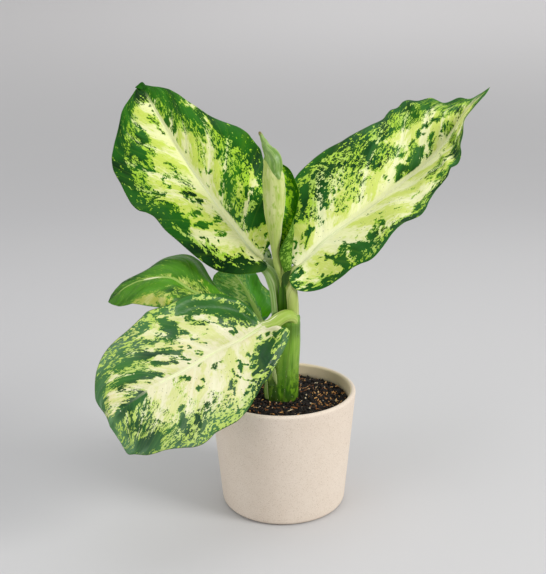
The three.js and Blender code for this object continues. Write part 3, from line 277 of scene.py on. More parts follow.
        "mid": [(-9.3, 24, 215.4), (-10, 25, 215.6), (-10.7, 26, 215.9), (-11.5, 27.2, 216.1), (-12.3, 28.4, 216.4), (-13.2, 29.7, 216.7), (-14.2, 31.1, 217), (-15.3, 32.7, 217.2), (-16.6, 34.5, 217.2), (-17.9, 36.6, 217.2), (-19.2, 38.9, 217.2), (-20.7, 41.3, 217.1), (-22.2, 43.9, 217), (-23.8, 46.5, 216.6), (-25.5, 49.1, 216.1), (-27.2, 51.8, 215.7), (-29, 54.6, 215.2), (-30.9, 57.4, 214.5), (-32.7, 60.3, 213.5), (-34.5, 63.1, 212.3), (-36.4, 65.8, 211.2), (-38.2, 68.1, 210.1), (-39.8, 70.2, 208.6), (-41.4, 72.3, 207), (-42.9, 74.3, 205.4), (-44.5, 76.3, 203.8), (-46, 78.3, 202.2), (-47.3, 80.3, 200.5), (-48.7, 82.1, 198.8), (-49.9, 84, 197.1), (-51.2, 85.6, 195.6), (-52.3, 87.1, 194.1), (-53.5, 88.3, 192.7), (-54.5, 89.5, 191.3), (-55.5, 90.6, 190), (-56.4, 91.7, 188.7), (-57.2, 92.7, 187.5), (-58, 93.6, 186.4), (-58.8, 94.5, 185.3), (-59.5, 95.3, 184.4), (-60.1, 96, 183.5)],
        "left": [(-9.3, 24, 215.4), (-10.6, 24.1, 214.1), (-11.9, 24.2, 212.8), (-13.4, 24.5, 211.9), (-14.7, 24.8, 211.1), (-15.9, 25.3, 210.4), (-16.7, 25.8, 209.9), (-17.5, 26.4, 209.4), (-18.5, 27.3, 208.9), (-19.8, 28.5, 208.3), (-21.2, 29.9, 207.6), (-22.4, 31.6, 207), (-23.3, 33.4, 206.3), (-24.2, 35.3, 205.6), (-25.5, 37.2, 204.8), (-27, 39.3, 204.1), (-28, 41.4, 203.4), (-28.8, 43.5, 202.8), (-29.6, 45.8, 202.1), (-30.8, 48.2, 201.4), (-31.9, 50.6, 200.6), (-32.7, 53.2, 199.8), (-33.5, 56, 199), (-34.8, 58.9, 198.1), (-36.6, 61.6, 197.2), (-38.4, 64.4, 196.3), (-40, 67.1, 195.4), (-41.4, 69.8, 194.5), (-43.1, 72.3, 193.5), (-44.8, 74.8, 192.2), (-46.5, 77.1, 191), (-48, 79.4, 189.8), (-49.4, 81.7, 188.8), (-50.8, 83.8, 187.7), (-52.1, 85.8, 186.7), (-53.4, 87.7, 185.7), (-54.7, 89.5, 184.7), (-56, 91.2, 183.8), (-57.3, 92.9, 183.7), (-58.7, 94.5, 183.6), (-60.1, 96, 183.5)],
        "right": [(-9.3, 24, 215.4), (-9.1, 25.5, 216.6), (-8.8, 27.2, 217.8), (-8.5, 29, 218.9), (-8.7, 30.8, 220), (-9.3, 32.7, 221), (-10, 34.9, 222.2), (-10.8, 37.2, 223.6), (-12, 39.7, 224.5), (-13.3, 42.5, 225.2), (-14.6, 45.5, 225.8), (-16.1, 48.6, 226.6), (-18.1, 51.8, 227.4), (-20.6, 54.9, 227.6), (-22.7, 58.1, 227.5), (-24.7, 61.4, 227.5), (-27.2, 64.6, 227), (-30.5, 67.7, 225.9), (-33.7, 71, 224.9), (-35.9, 74, 223), (-38.1, 76.6, 220.9), (-40.7, 78.3, 218.5), (-43.1, 79.8, 216), (-44.7, 81.2, 213.7), (-46.1, 82.7, 211.6), (-47.6, 84.1, 209.5), (-49.1, 85.6, 207.4), (-50.4, 86.9, 205.1), (-51.7, 88.3, 202.9), (-52.8, 89.6, 200.9), (-53.9, 90.8, 199), (-55, 91.6, 197.2), (-56.1, 92.3, 195.5), (-56.9, 92.9, 193.7), (-57.5, 93.4, 191.9), (-58, 93.9, 190.3), (-58.5, 94.4, 188.7), (-58.9, 94.9, 187.3), (-59.4, 95.3, 185.9), (-59.8, 95.7, 184.7), (-60.1, 96, 183.5)],
        "lift_l": [0, 0.1, 0.2, 0.3, 0.4, 0.6, 0.7, 0.9, 1, 1.2, 1.4, 1.5, 1.7, 1.9, 2, 2, 2, 2, 2, 2, 2, 2, 2, 2, 1.9, 1.7, 1.6, 1.4, 1.3, 1.2, 1, 0.9, 0.8, 0.6, 0.5, 0.4, 0.3, 0.2, 0.2, 0.1, 0],
        "lift_r": [0, 0.1, 0.2, 0.3, 0.4, 0.6, 0.7, 0.9, 1, 1.2, 1.4, 1.5, 1.7, 1.9, 2, 2, 2, 2, 2, 2, 2, 2, 2, 2, 1.9, 1.7, 1.6, 1.4, 1.3, 1.2, 1, 0.9, 0.8, 0.6, 0.5, 0.4, 0.3, 0.2, 0.2, 0.1, 0],
    },
}

# markings of each leaf: from (t, v) to (t, v), radius in mm, strength;
# t runs from base to tip along the midrib, v from -1 at the left margin to 1 at the right
MARKS = {
    "leaf_upper_left": [
        (0.512, 0.6, 0.379, 0.73, 11.16, 0.56), (0.385, 0.7, 0.248, 0.68, 10.23, 0.56), (0.397, 0.43, 0.259, 0.41, 9.3, 0.52), (0.702, 0.85, 0.53, 0.62, 8.37, 0.52), (0.84, 0.46, 0.713, 0.52, 7.44, 0.54),
        (0.779, 0.88, 0.668, 0.68, 6.51, 0.5), (0.873, -0.71, 0.691, -0.75, 6.51, 0.52), (0.662, -0.73, 0.53, -0.77, 7.44, 0.52), (0.53, -0.77, 0.397, -0.83, 6.51, 0.5), (0.356, -0.96, 0.232, -0.75, 4.65, 0.5),
        (0.321, 0.03, 0.205, 0.11, 5.58, 0.46), (0.702, -0.38, 0.609, -0.7, 4.65, 0.5), (0.815, 0.25, 0.779, 0.07, 2.49, 1), (0.768, 0.36, 0.736, 0.17, 2.74, 1), (0.82, 0.45, 0.752, 0.46, 4.23, 0.72),
        (0.747, 0.52, 0.702, 0.46, 2.74, 0.8), (0.662, 0.57, 0.621, 0.41, 3.11, 1.2), (0.835, -0.09, 0.789, -0.1, 1.25, 0.8), (0.84, -0.2, 0.779, -0.09, 1.25, 0.8), (0.789, -0.45, 0.752, -0.4, 4.73, 1.1),
        (0.747, -0.59, 0.691, -0.52, 5.98, 1.1), (0.644, -0.53, 0.615, -0.48, 2.49, 0.9), (0.685, -0.64, 0.638, -0.6, 1.99, 0.8), (0.685, 0.07, 0.668, 0.01, 1.12, 1), (0.549, -0.45, 0.518, -0.43, 1.12, 1.1),
        (0.567, -0.43, 0.555, -0.41, 0.75, 1), (0.47, -0.36, 0.445, -0.26, 2.37, 1.2), (0.464, -0.31, 0.451, -0.33, 2.99, 1.1), (0.53, -0.64, 0.506, -0.6, 1.62, 1), (0.555, -0.73, 0.536, -0.73, 1.62, 0.9),
        (0.421, -0.31, 0.391, -0.19, 1.25, 1.1), (0.47, -0.77, 0.445, -0.66, 2.74, 1.1), (0.415, -0.66, 0.397, -0.59, 1.62, 1), (0.367, -0.46, 0.362, -0.35, 2.12, 1.2), (0.433, -0.83, 0.356, -0.68, 3.74, 1.1),
        (0.451, -0.81, 0.415, -0.73, 3.11, 1), (0.332, -0.57, 0.304, -0.38, 1.49, 1.2), (0.304, -0.36, 0.281, -0.11, 1.12, 1.1), (0.304, -0.16, 0.281, -0.02, 0.87, 0.9), (0.253, -0.41, 0.232, -0.26, 1.62, 1.1),
        (0.275, -0.35, 0.242, -0.22, 0.75, 1), (0.275, -0.66, 0.27, -0.64, 1.37, 1), (0.155, -0.64, 0.127, -0.6, 3.24, 1.2), (0.292, 0.23, 0.264, 0.14, 1.62, 1.1), (0.237, 0.1, 0.232, 0.2, 2.24, 1.1),
        (0.221, 0.75, 0.185, 0.41, 6.23, 1.3), (0.19, 0.73, 0.18, 0.46, 6.23, 1.3), (0.397, 0.36, 0.332, 0.23, 4.23, 1.1), (0.427, 0.36, 0.391, 0.38, 2.99, 1), (0.488, 0.57, 0.403, 0.52, 5.73, 0.62),
        (0.315, 0.5, 0.27, 0.59, 4.48, 1.05), (0.464, 0.7, 0.397, 0.86, 6.23, 0.62), (0.367, 0.6, 0.315, 0.75, 4.48, 0.62), (0.373, 0.14, 0.403, 0.23, 1.49, 1.1), (0.482, 0.22, 0.476, 0.2, 1.49, 1.1),
        (0.439, 0.05, 0.427, 0.05, 1.25, 1), (0.101, 0.59, 0.109, 0.64, 1.74, 1), (0.063, 0.75, 0.052, 0.94, 1.87, 1.1), (0.088, 0.22, 0.063, 0.45, 1.0, 0.9), (0.439, 0.62, 0.409, 0.62, 2.74, 0.7),
        (0.555, 0.53, 0.5, 0.53, 1.99, 0.7), (0.603, 0.64, 0.579, 0.6, 1.25, 0.8), (0.127, 0.33, 0.127, 0.41, 0.75, 1), (0.118, 0.19, 0.114, 0.19, 0.62, 1), (0.226, -0.62, 0.216, -0.68, 1.0, 0.8),
        (0.304, -0.62, 0.275, -0.59, 1.25, 0.55), (0.344, -0.79, 0.315, -0.77, 2.49, 0.5), (0.205, -0.66, 0.165, -0.64, 1.74, 0.6), (0.27, -0.71, 0.237, -0.71, 1.99, 0.5), (0.175, -0.62, 0.155, -0.59, 1.12, 0.8),
        (0.105, -0.66, 0.101, -0.66, 1.0, 0.8), (0.146, -0.3, 0.141, -0.3, 0.75, 0.8), (0.101, -0.38, 0.096, -0.4, 0.75, 0.8), (0.281, -0.11, 0.275, -0.02, 0.75, 0.8), (0.536, 0.41, 0.494, 0.4, 1.25, 0.4),
        (0.518, 0.19, 0.488, 0.16, 1.0, 0.7), (0.524, 0.1, 0.512, 0.09, 0.5, 0.9), (0.627, 0.09, 0.621, 0.09, 0.62, 0.9), (0.741, 0.0, 0.736, 0.01, 0.75, 0.9), (0.702, -0.36, 0.668, -0.33, 0.87, 0.5),
        (0.609, -0.45, 0.549, -0.31, 1.25, 0.35), (0.567, -0.26, 0.476, -0.16, 3.24, 0.3), (0.621, -0.28, 0.579, -0.19, 1.99, 0.3), (0.633, 0.38, 0.53, 0.2, 3.74, 0.26), (0.494, -0.3, 0.464, -0.2, 1.99, 0.2),
        (0.668, -0.79, 0.597, -0.68, 2.74, 0.62), (0.621, -0.77, 0.555, -0.71, 2.99, 0.62), (0.877, -0.71, 0.789, -0.55, 2.99, 0.5), (0.84, -0.53, 0.795, -0.36, 1.99, 0.5), (0.835, -0.17, 0.736, -0.07, 1.25, 0.4),
        (0.543, -0.77, 0.482, -0.81, 2.99, 0.6), (0.439, -0.68, 0.373, -0.53, 1.49, 0.55), (0.379, -0.73, 0.35, -0.75, 2.49, 0.9), (0.362, 0.2, 0.315, 0.25, 1.49, 0.7), (0.895, 0.03, 0.835, 0.05, 2.74, 0.5),
        (0.859, 0.2, 0.8, 0.31, 3.24, 0.62), (0.713, 0.41, 0.656, 0.43, 1.99, 0.6), (0.708, 0.55, 0.679, 0.53, 2.49, 0.8), (0.315, 0.33, 0.281, 0.31, 1.25, 0.6), (0.379, 0.7, 0.35, 0.7, 1.99, 0.6),
        (0.321, 0.23, 0.304, 0.23, 1.0, 0.7), (0.379, 0.73, 0.321, 0.71, 2.74, -0.1), (0.379, 0.52, 0.309, 0.41, 2.49, 0.16), (0.702, 0.85, 0.644, 0.7, 2.24, 0.08), (0.237, 0.31, 0.298, 0.64, 1.25, -0.3),
        (0.825, 0.85, 0.774, 0.98, 1.37, 0.15),
    ],
    "leaf_upper_right": [
        (0.205, -0.83, 0.315, -0.83, 12.09, 0.56), (0.315, -0.83, 0.451, -0.88, 11.16, 0.56), (0.451, -0.88, 0.603, -0.86, 11.16, 0.56), (0.603, -0.86, 0.741, -0.7, 9.3, 0.54), (0.146, -0.62, 0.264, -0.62, 8.37, 0.52),
        (0.385, -0.64, 0.506, -0.53, 10.23, 0.55), (0.747, -0.77, 0.864, -0.48, 5.58, 0.54), (0.779, -0.09, 0.736, 0.81, 5.58, 0.54), (0.01, 0.79, 0.052, 0.86, 5.58, 0.56), (0.048, 0.75, 0.123, 1.0, 3.72, 0.5),
        (0.052, 0.35, 0.063, 0.83, 4.19, 0.05), (0.494, -0.46, 0.573, -0.38, 5.58, 0.5), (0.668, 0.5, 0.603, 0.6, 4.65, 0.48), (0.221, 0.81, 0.379, 0.96, 4.65, 0.52), (0.216, -0.79, 0.19, -0.66, 4.23, 1.1),
        (0.264, -0.79, 0.356, -0.68, 4.98, 0.85), (0.226, -0.71, 0.237, -0.6, 3.49, 0.9), (0.27, -0.62, 0.226, -0.38, 3.24, 1), (0.146, -0.66, 0.146, -0.57, 2.74, 1), (0.185, -0.62, 0.17, -0.48, 2.49, 0.55),
        (0.379, -0.62, 0.445, -0.46, 3.99, 0.85), (0.421, -0.57, 0.445, -0.57, 4.98, 0.8), (0.488, -0.83, 0.524, -0.85, 3.49, 0.85), (0.451, -0.75, 0.488, -0.77, 2.49, 0.6), (0.403, -0.73, 0.445, -0.71, 3.24, 0.6),
        (0.47, -0.59, 0.5, -0.64, 5.48, 1.15), (0.482, -0.45, 0.464, -0.43, 2.74, 0.9), (0.47, -0.38, 0.457, -0.35, 1.99, 1), (0.549, -0.71, 0.609, -0.75, 4.23, 0.9), (0.53, -0.59, 0.524, -0.48, 2.49, 0.7),
        (0.621, -0.71, 0.668, -0.64, 2.99, 0.7), (0.561, -0.31, 0.567, -0.31, 1.62, 1.1), (0.585, -0.31, 0.585, -0.31, 1.0, 1), (0.627, -0.33, 0.644, -0.35, 1.25, 1), (0.673, -0.36, 0.691, -0.41, 1.74, 1),
        (0.638, -0.19, 0.591, -0.09, 3.99, 1.25), (0.591, -0.09, 0.543, 0.0, 3.24, 1.2), (0.53, -0.14, 0.494, -0.05, 1.87, 1.1), (0.524, -0.16, 0.567, -0.11, 2.49, 1.1), (0.719, -0.23, 0.656, -0.05, 1.25, 1.1),
        (0.702, -0.2, 0.673, -0.09, 1.62, 1), (0.47, -0.19, 0.464, -0.16, 1.0, 1), (0.421, -0.3, 0.415, -0.28, 1.0, 1), (0.397, -0.33, 0.379, -0.28, 1.0, 1.1), (0.332, -0.28, 0.309, -0.23, 1.25, 1.1),
        (0.338, -0.17, 0.332, -0.14, 1.12, 1), (0.248, -0.2, 0.248, -0.19, 0.87, 1.1), (0.321, -0.41, 0.321, -0.41, 0.75, 1), (0.275, -0.45, 0.275, -0.43, 1.0, 1), (0.141, -0.33, 0.114, -0.26, 1.62, 1.1),
        (0.114, -0.26, 0.079, -0.22, 1.62, 1.1), (0.109, -0.4, 0.101, -0.35, 1.0, 1), (0.067, -0.52, 0.052, -0.46, 1.25, 1.1), (0.03, -0.43, 0.023, -0.45, 1.12, 1), (0.079, -0.35, 0.079, -0.33, 0.75, 0.8),
        (0.041, -0.28, 0.037, -0.26, 0.75, 0.8), (0.292, -0.3, 0.287, -0.26, 1.0, 0.6), (0.315, -0.53, 0.338, -0.22, 6.23, 0.3), (0.362, -0.57, 0.385, -0.36, 6.23, 0.34), (0.221, -0.52, 0.175, -0.26, 3.24, 0.36),
        (0.264, -0.33, 0.27, -0.19, 3.74, 0.28), (0.19, 0.43, 0.195, 0.45, 2.99, 1.1), (0.17, 0.48, 0.18, 0.55, 2.24, 1.1), (0.216, 0.6, 0.264, 0.71, 4.23, 1.2), (0.221, 0.73, 0.232, 0.83, 3.99, 1.2),
        (0.264, 0.71, 0.298, 0.79, 2.12, 1.1), (0.298, 0.57, 0.315, 0.71, 3.11, 1.1), (0.356, 0.57, 0.362, 0.66, 2.37, 1.1), (0.338, 0.43, 0.344, 0.5, 1.12, 1), (0.327, 0.55, 0.332, 0.6, 1.25, 1),
        (0.35, 0.75, 0.362, 0.79, 1.37, 1), (0.123, 0.36, 0.16, 0.6, 1.49, 1.1), (0.151, 0.6, 0.175, 0.81, 3.24, 1.1), (0.165, 0.79, 0.175, 0.86, 1.99, 1.1), (0.016, 0.45, 0.03, 0.75, 3.24, 1.3),
        (0.044, 0.41, 0.044, 0.48, 1.49, 1.1), (0.003, -1.0, 0.003, -1.0, 1.12, 1), (0.109, 0.81, 0.118, 0.86, 2.37, 1.2), (0.096, 0.7, 0.096, 0.73, 1.25, 1.1), (0.127, 0.73, 0.127, 0.75, 0.87, 1),
        (0.063, 0.85, 0.071, 0.88, 1.0, 0.9), (0.067, 0.68, 0.067, 0.7, 0.75, 0.9), (0.092, 0.3, 0.101, 0.35, 0.75, 0.8), (0.041, 0.83, 0.048, 0.86, 1.74, 0.7), (0.071, 0.94, 0.114, 1.0, 0.62, 0.9),
        (0.506, 0.59, 0.53, 0.62, 1.12, 1), (0.433, 0.64, 0.445, 0.66, 0.87, 1), (0.524, 0.46, 0.524, 0.46, 0.87, 1), (0.609, 0.46, 0.609, 0.46, 0.87, 1), (0.397, 0.81, 0.397, 0.83, 0.75, 0.9),
        (0.292, 0.23, 0.292, 0.23, 0.62, 0.9), (0.332, 0.13, 0.332, 0.14, 0.62, 0.9), (0.232, 0.4, 0.232, 0.41, 0.62, 0.9), (0.175, 0.17, 0.175, 0.19, 0.62, 0.8), (0.253, 0.85, 0.281, 0.88, 1.49, 0.6),
        (0.281, 0.88, 0.356, 0.96, 2.74, 0.75), (0.5, 0.83, 0.53, 0.92, 3.74, 0.85), (0.627, 0.81, 0.656, 0.92, 3.24, 0.85), (0.736, 0.6, 0.725, 0.92, 3.24, 1), (0.573, 0.9, 0.506, 0.79, 1.49, 0.55),
        (0.609, 0.81, 0.579, 0.88, 1.25, 0.45), (0.397, 0.9, 0.464, 0.96, 1.25, 0.55), (0.373, 0.9, 0.409, 1.0, 1.49, 0.55), (0.35, 0.86, 0.332, 0.88, 1.74, 0.6), (0.668, 0.7, 0.633, 0.75, 1.25, 0.45),
        (0.573, 0.4, 0.573, 0.41, 0.62, 0.9), (0.253, 0.4, 0.253, 0.48, 0.75, 0.3), (0.35, 0.26, 0.379, 0.5, 1.0, 0.3), (0.736, -0.94, 0.752, -0.75, 3.56, 1.1), (0.725, -0.7, 0.73, -0.64, 3.56, 1.1),
        (0.779, -0.75, 0.805, -0.75, 3.56, 1.1), (0.673, -0.7, 0.673, -0.59, 2.97, 0.62), (0.758, -0.38, 0.774, -0.36, 1.54, 1.1), (0.774, -0.36, 0.805, -0.33, 1.66, 1.1), (0.713, -0.41, 0.725, -0.4, 1.54, 1.1),
        (0.725, -0.4, 0.758, -0.41, 0.83, 1.1), (0.673, -0.35, 0.685, -0.36, 1.54, 1.1), (0.673, -0.38, 0.696, -0.4, 1.07, 1), (0.752, -0.16, 0.763, -0.17, 1.01, 1.1), (0.73, -0.23, 0.708, -0.19, 0.83, 1.1),
        (0.708, -0.19, 0.679, -0.1, 1.78, 1.15), (0.673, -0.1, 0.644, -0.05, 1.07, 1.1), (0.789, -0.11, 0.789, -0.1, 0.59, 0.9), (0.763, -0.03, 0.763, -0.03, 0.53, 0.9), (0.736, -0.13, 0.736, -0.13, 0.53, 0.9),
        (0.73, -0.09, 0.73, -0.09, 0.47, 0.9), (0.825, -0.06, 0.825, -0.05, 0.53, 0.9), (0.815, 0.41, 0.815, 0.55, 0.53, 0.9), (0.84, -0.1, 0.84, -0.09, 0.83, 1), (0.859, -0.16, 0.854, -0.14, 0.71, 1),
        (0.835, -0.4, 0.859, -0.35, 2.02, 1), (0.815, -0.41, 0.825, -0.43, 1.19, 0.9), (0.696, -0.3, 0.696, -0.3, 0.71, 1), (0.615, -0.28, 0.638, -0.28, 1.07, 1), (0.615, -0.31, 0.627, -0.35, 0.83, 1),
        (0.573, -0.19, 0.603, -0.23, 1.3, 1), (0.696, 0.14, 0.747, 0.09, 0.53, 0.85), (0.725, 0.66, 0.747, 0.66, 2.61, 1.2), (0.708, 0.62, 0.725, 0.6, 1.42, 1), (0.662, 0.7, 0.696, 0.6, 0.65, 0.8),
        (0.708, 0.88, 0.725, 0.94, 2.37, 0.9), (0.779, 0.75, 0.81, 0.73, 1.54, 0.8), (0.768, 0.7, 0.789, 0.71, 1.3, 0.55), (0.679, 0.25, 0.673, 0.3, 0.59, 0.8), (0.638, 0.52, 0.638, 0.57, 0.59, 0.8),
        (0.656, 0.6, 0.656, 0.62, 0.59, 0.8), (0.702, 0.25, 0.702, 0.3, 0.53, 0.8), (0.912, -0.36, 0.929, -0.79, 2.37, 1), (0.795, -0.59, 0.789, -0.46, 2.37, 0.12),
    ],
    "leaf_front_left": [
        (0.708, 1.0, 0.644, 0.6, 7.44, 0.44), (0.774, 0.98, 0.691, 0.4, 7.44, 0.44), (0.895, -0.2, 0.83, -0.75, 11.16, 0.44), (0.83, -0.75, 0.573, -0.88, 8.37, 0.44), (0.763, -0.73, 0.439, -1.0, 5.58, 0.44),
        (0.373, -0.86, 0.114, -0.83, 3.72, 0.44), (0.644, 1.0, 0.506, 0.9, 5.58, 0.44), (0.457, 1.0, 0.264, 0.9, 5.58, 0.44), (0.248, 0.88, 0.084, 0.45, 4.65, 0.44), (0.591, -0.66, 0.47, -0.83, 7.44, 0.45),
        (0.8, 0.2, 0.763, -0.17, 6.51, 0.46), (0.439, 0.75, 0.451, 0.55, 5.61, 1.25), (0.457, 0.53, 0.403, 0.45, 1.91, 1), (0.421, 0.88, 0.439, 0.75, 3.32, 1.1), (0.409, 1.0, 0.248, 0.75, 3.83, 0.8),
        (0.367, 0.86, 0.264, 0.62, 3.83, 1), (0.356, 0.71, 0.344, 0.64, 3.32, 1.1), (0.292, 0.85, 0.114, 0.48, 4.34, 1), (0.221, 0.43, 0.165, 0.17, 1.4, 1.1), (0.242, 0.6, 0.211, 0.46, 2.04, 1),
        (0.146, 0.41, 0.063, 0.31, 2.55, 0.7), (0.127, 0.31, 0.118, 0.28, 1.28, 1), (0.088, 0.25, 0.079, 0.22, 1.02, 1), (0.18, 0.38, 0.165, 0.33, 1.53, 0.8), (0.101, 0.4, 0.084, 0.41, 1.28, 0.8),
        (0.041, 0.96, 0.016, 0.9, 3.06, 0.8), (0.549, 0.83, 0.638, 0.88, 1.66, 1), (0.536, 0.81, 0.597, 0.88, 1.53, 0.8), (0.47, 0.48, 0.633, 0.77, 2.04, 0.8), (0.549, 0.6, 0.638, 0.73, 2.04, 0.9),
        (0.561, 0.64, 0.512, 0.59, 1.28, 0.7), (0.47, 0.26, 0.609, 0.5, 2.42, 1.2), (0.609, 0.5, 0.691, 0.59, 3.57, 1.2), (0.691, 0.59, 0.741, 0.66, 3.32, 1.1), (0.524, 0.17, 0.627, 0.35, 1.15, 1.1),
        (0.621, 0.33, 0.585, 0.26, 2.04, 1.1), (0.427, 0.09, 0.524, 0.23, 0.89, 1), (0.385, 0.13, 0.362, 0.09, 1.4, 1.1), (0.338, 0.19, 0.321, 0.16, 0.64, 1), (0.35, 0.22, 0.344, 0.2, 0.64, 0.9),
        (0.421, 0.26, 0.415, 0.26, 0.64, 0.9), (0.391, 0.36, 0.35, 0.31, 0.77, 1), (0.403, 0.45, 0.385, 0.4, 1.02, 0.8), (0.327, 0.31, 0.309, 0.33, 0.77, 0.8), (0.609, 0.11, 0.679, 0.23, 1.79, 1.1),
        (0.662, 0.2, 0.708, 0.31, 3.57, 1.25), (0.702, 0.3, 0.789, 0.46, 3.57, 1.2), (0.725, 0.0, 0.747, -0.05, 1.53, 1.1), (0.747, -0.02, 0.835, -0.03, 3.83, 1.25), (0.835, -0.03, 0.97, -0.01, 4.34, 1.25),
        (0.379, -0.02, 0.403, -0.06, 0.77, 1), (0.415, 0.0, 0.397, 0.0, 0.77, 0.8), (0.561, -0.1, 0.506, -0.1, 1.66, 1.2), (0.543, -0.09, 0.524, -0.09, 2.3, 1.1), (0.506, -0.14, 0.512, -0.16, 1.02, 1),
        (0.356, -0.16, 0.379, -0.22, 1.02, 1.1), (0.512, -0.35, 0.494, -0.31, 1.15, 1.1), (0.457, -0.23, 0.464, -0.26, 0.77, 0.9), (0.18, -0.36, 0.185, -0.55, 1.02, 1.1), (0.175, -0.33, 0.18, -0.35, 0.89, 1),
        (0.248, -0.36, 0.259, -0.46, 1.66, 1.2), (0.259, -0.43, 0.226, -0.48, 1.28, 1.1), (0.264, -0.46, 0.27, -0.5, 1.53, 1.1), (0.35, -0.52, 0.367, -0.59, 2.17, 1.2), (0.367, -0.62, 0.373, -0.66, 1.02, 1),
        (0.321, -0.43, 0.327, -0.45, 1.02, 1), (0.309, -0.52, 0.292, -0.6, 0.77, 1), (0.281, -0.66, 0.281, -0.7, 0.77, 0.9), (0.379, -0.68, 0.373, -0.7, 0.77, 0.8), (0.114, -0.59, 0.17, -0.7, 4.85, 1.3),
        (0.127, -0.43, 0.123, -0.66, 3.06, 1.1), (0.18, -0.7, 0.221, -0.77, 2.81, 1.2), (0.048, -0.81, 0.075, -0.83, 2.04, 0.8), (0.092, -0.75, 0.075, -0.81, 2.04, 0.7), (0.092, -0.4, 0.092, -0.53, 1.79, 0.6),
        (0.063, -0.6, 0.056, -0.71, 1.79, 0.7), (0.123, -0.88, 0.155, -0.94, 2.04, 0.9), (0.16, -0.81, 0.185, -0.85, 1.28, 0.6), (0.114, -0.33, 0.109, -0.46, 1.79, 0.7), (0.609, -0.41, 0.627, -0.48, 1.91, 1.2),
        (0.784, -0.36, 0.768, -0.36, 1.53, 1.1), (0.512, -0.6, 0.567, -0.64, 1.02, 1.1), (0.573, -0.66, 0.573, -0.7, 3.19, 1.2), (0.482, -0.6, 0.482, -0.62, 1.66, 1.1), (0.512, -0.57, 0.506, -0.57, 0.77, 1),
        (0.427, -0.57, 0.439, -0.6, 1.28, 1), (0.445, -0.7, 0.439, -0.73, 1.02, 0.7), (0.644, -0.55, 0.65, -0.57, 2.55, 1.1), (0.644, -0.64, 0.65, -0.68, 4.59, 1.2), (0.673, -0.71, 0.662, -0.73, 3.06, 1.1),
        (0.567, -0.79, 0.573, -0.83, 2.42, 1.2), (0.696, -0.66, 0.741, -0.71, 1.53, 1.1), (0.736, -0.7, 0.747, -0.71, 1.53, 1), (0.82, -0.31, 0.859, -0.4, 2.04, 1.1), (0.882, -0.36, 0.912, -0.36, 2.3, 0.8),
        (0.904, -0.81, 0.82, -0.83, 6.38, 1.2), (0.83, -0.73, 0.789, -0.79, 3.83, 1.1), (0.916, -0.52, 0.921, -0.6, 3.06, 0.7), (0.825, -0.46, 0.815, -0.59, 1.53, 0.9), (0.81, -0.46, 0.81, -0.5, 1.15, 1),
        (0.82, -0.55, 0.82, -0.57, 1.15, 1), (0.784, -0.5, 0.752, -0.5, 1.02, 0.7), (0.877, -0.48, 0.849, -0.64, 2.55, 0.55), (0.758, 0.94, 0.741, 0.68, 5.1, 0.75), (0.713, 0.92, 0.696, 0.81, 3.83, 0.6),
        (0.795, 0.92, 0.873, 0.86, 3.83, 1), (0.835, 0.6, 0.795, 0.28, 3.06, 0.85), (0.774, 0.81, 0.747, 0.59, 2.55, 0.6), (0.891, 0.66, 0.933, 0.46, 2.55, 0.6), (0.82, 0.5, 0.795, 0.28, 2.3, 0.9),
        (0.644, -0.83, 0.633, -0.85, 1.79, 0.9), (0.691, -0.81, 0.673, -0.83, 1.79, 0.8), (0.747, -0.86, 0.702, -0.94, 2.81, 0.7), (0.543, -0.85, 0.5, -0.88, 1.79, 0.6), (0.494, -0.83, 0.457, -0.88, 1.53, 0.5),
        (0.591, -0.88, 0.536, -0.98, 2.3, 0.7), (0.603, -0.55, 0.603, -0.57, 1.02, 0.4), (0.779, -0.4, 0.774, -0.45, 1.02, 0.6), (0.585, 0.92, 0.656, 0.92, 2.55, 0.55), (0.627, 1.0, 0.679, 0.92, 3.06, 0.65),
        (0.673, 0.92, 0.708, 0.94, 2.81, 0.7), (0.747, -0.55, 0.719, -0.62, 1.28, 0.4), (0.573, -0.43, 0.524, -0.53, 2.55, 0.22), (0.464, -0.5, 0.415, -0.68, 3.83, 0.22), (0.47, -0.73, 0.409, -0.79, 3.83, 0.3),
        (0.555, 0.01, 0.585, -0.33, 3.83, 0.14), (0.47, -0.94, 0.439, -0.96, 1.53, 0.6), (0.73, -0.22, 0.691, -0.53, 3.83, 0.2), (0.518, 0.64, 0.5, 0.5, 2.04, 0.7), (0.506, 0.48, 0.439, 0.4, 1.53, 0.4),
        (0.281, 0.48, 0.221, 0.36, 1.28, 0.5), (0.344, 0.59, 0.281, 0.45, 1.79, 0.55), (0.185, -0.46, 0.216, -0.66, 1.53, 0.4), (0.321, -0.19, 0.321, -0.2, 0.64, 0.7), (0.264, -0.19, 0.264, -0.19, 0.64, 0.7),
        (0.356, -0.26, 0.356, -0.26, 0.64, 0.7), (0.457, 0.88, 0.409, 0.85, 1.28, 0.0), (0.409, 0.77, 0.367, 0.71, 3.32, 0.02), (0.321, 0.64, 0.27, 0.57, 2.04, 0.05), (0.457, 0.86, 0.451, 0.85, 2.04, 0.05),
        (0.891, 0.09, 0.956, 0.73, 1.53, 0.1), (0.768, 0.26, 0.891, 0.36, 2.04, 0.1), (0.27, 0.73, 0.248, 0.68, 0.77, 0.3), (0.332, 0.94, 0.253, 0.81, 4.65, 1.1), (0.253, 0.81, 0.123, 0.64, 4.65, 1.1),
        (0.123, 0.64, 0.026, 0.4, 3.72, 1.05), (0.264, 0.7, 0.16, 0.5, 3.72, 1.0), (0.052, -0.38, 0.056, -0.38, 1.49, 1), (0.059, -0.53, 0.071, -0.64, 1.58, 1), (0.052, -0.68, 0.063, -0.81, 1.86, 0.9),
        (0.071, -0.86, 0.084, -0.98, 2.14, 1), (0.088, -0.4, 0.088, -0.45, 1.3, 1), (0.075, -0.22, 0.084, -0.3, 1.12, 1), (0.037, -1.0, 0.059, -0.98, 1.4, 0.9), (0.088, -0.55, 0.096, -0.66, 1.3, 0.9),
        (0.114, -0.45, 0.118, -0.52, 1.12, 0.9),
    ],
    "leaf_left": [
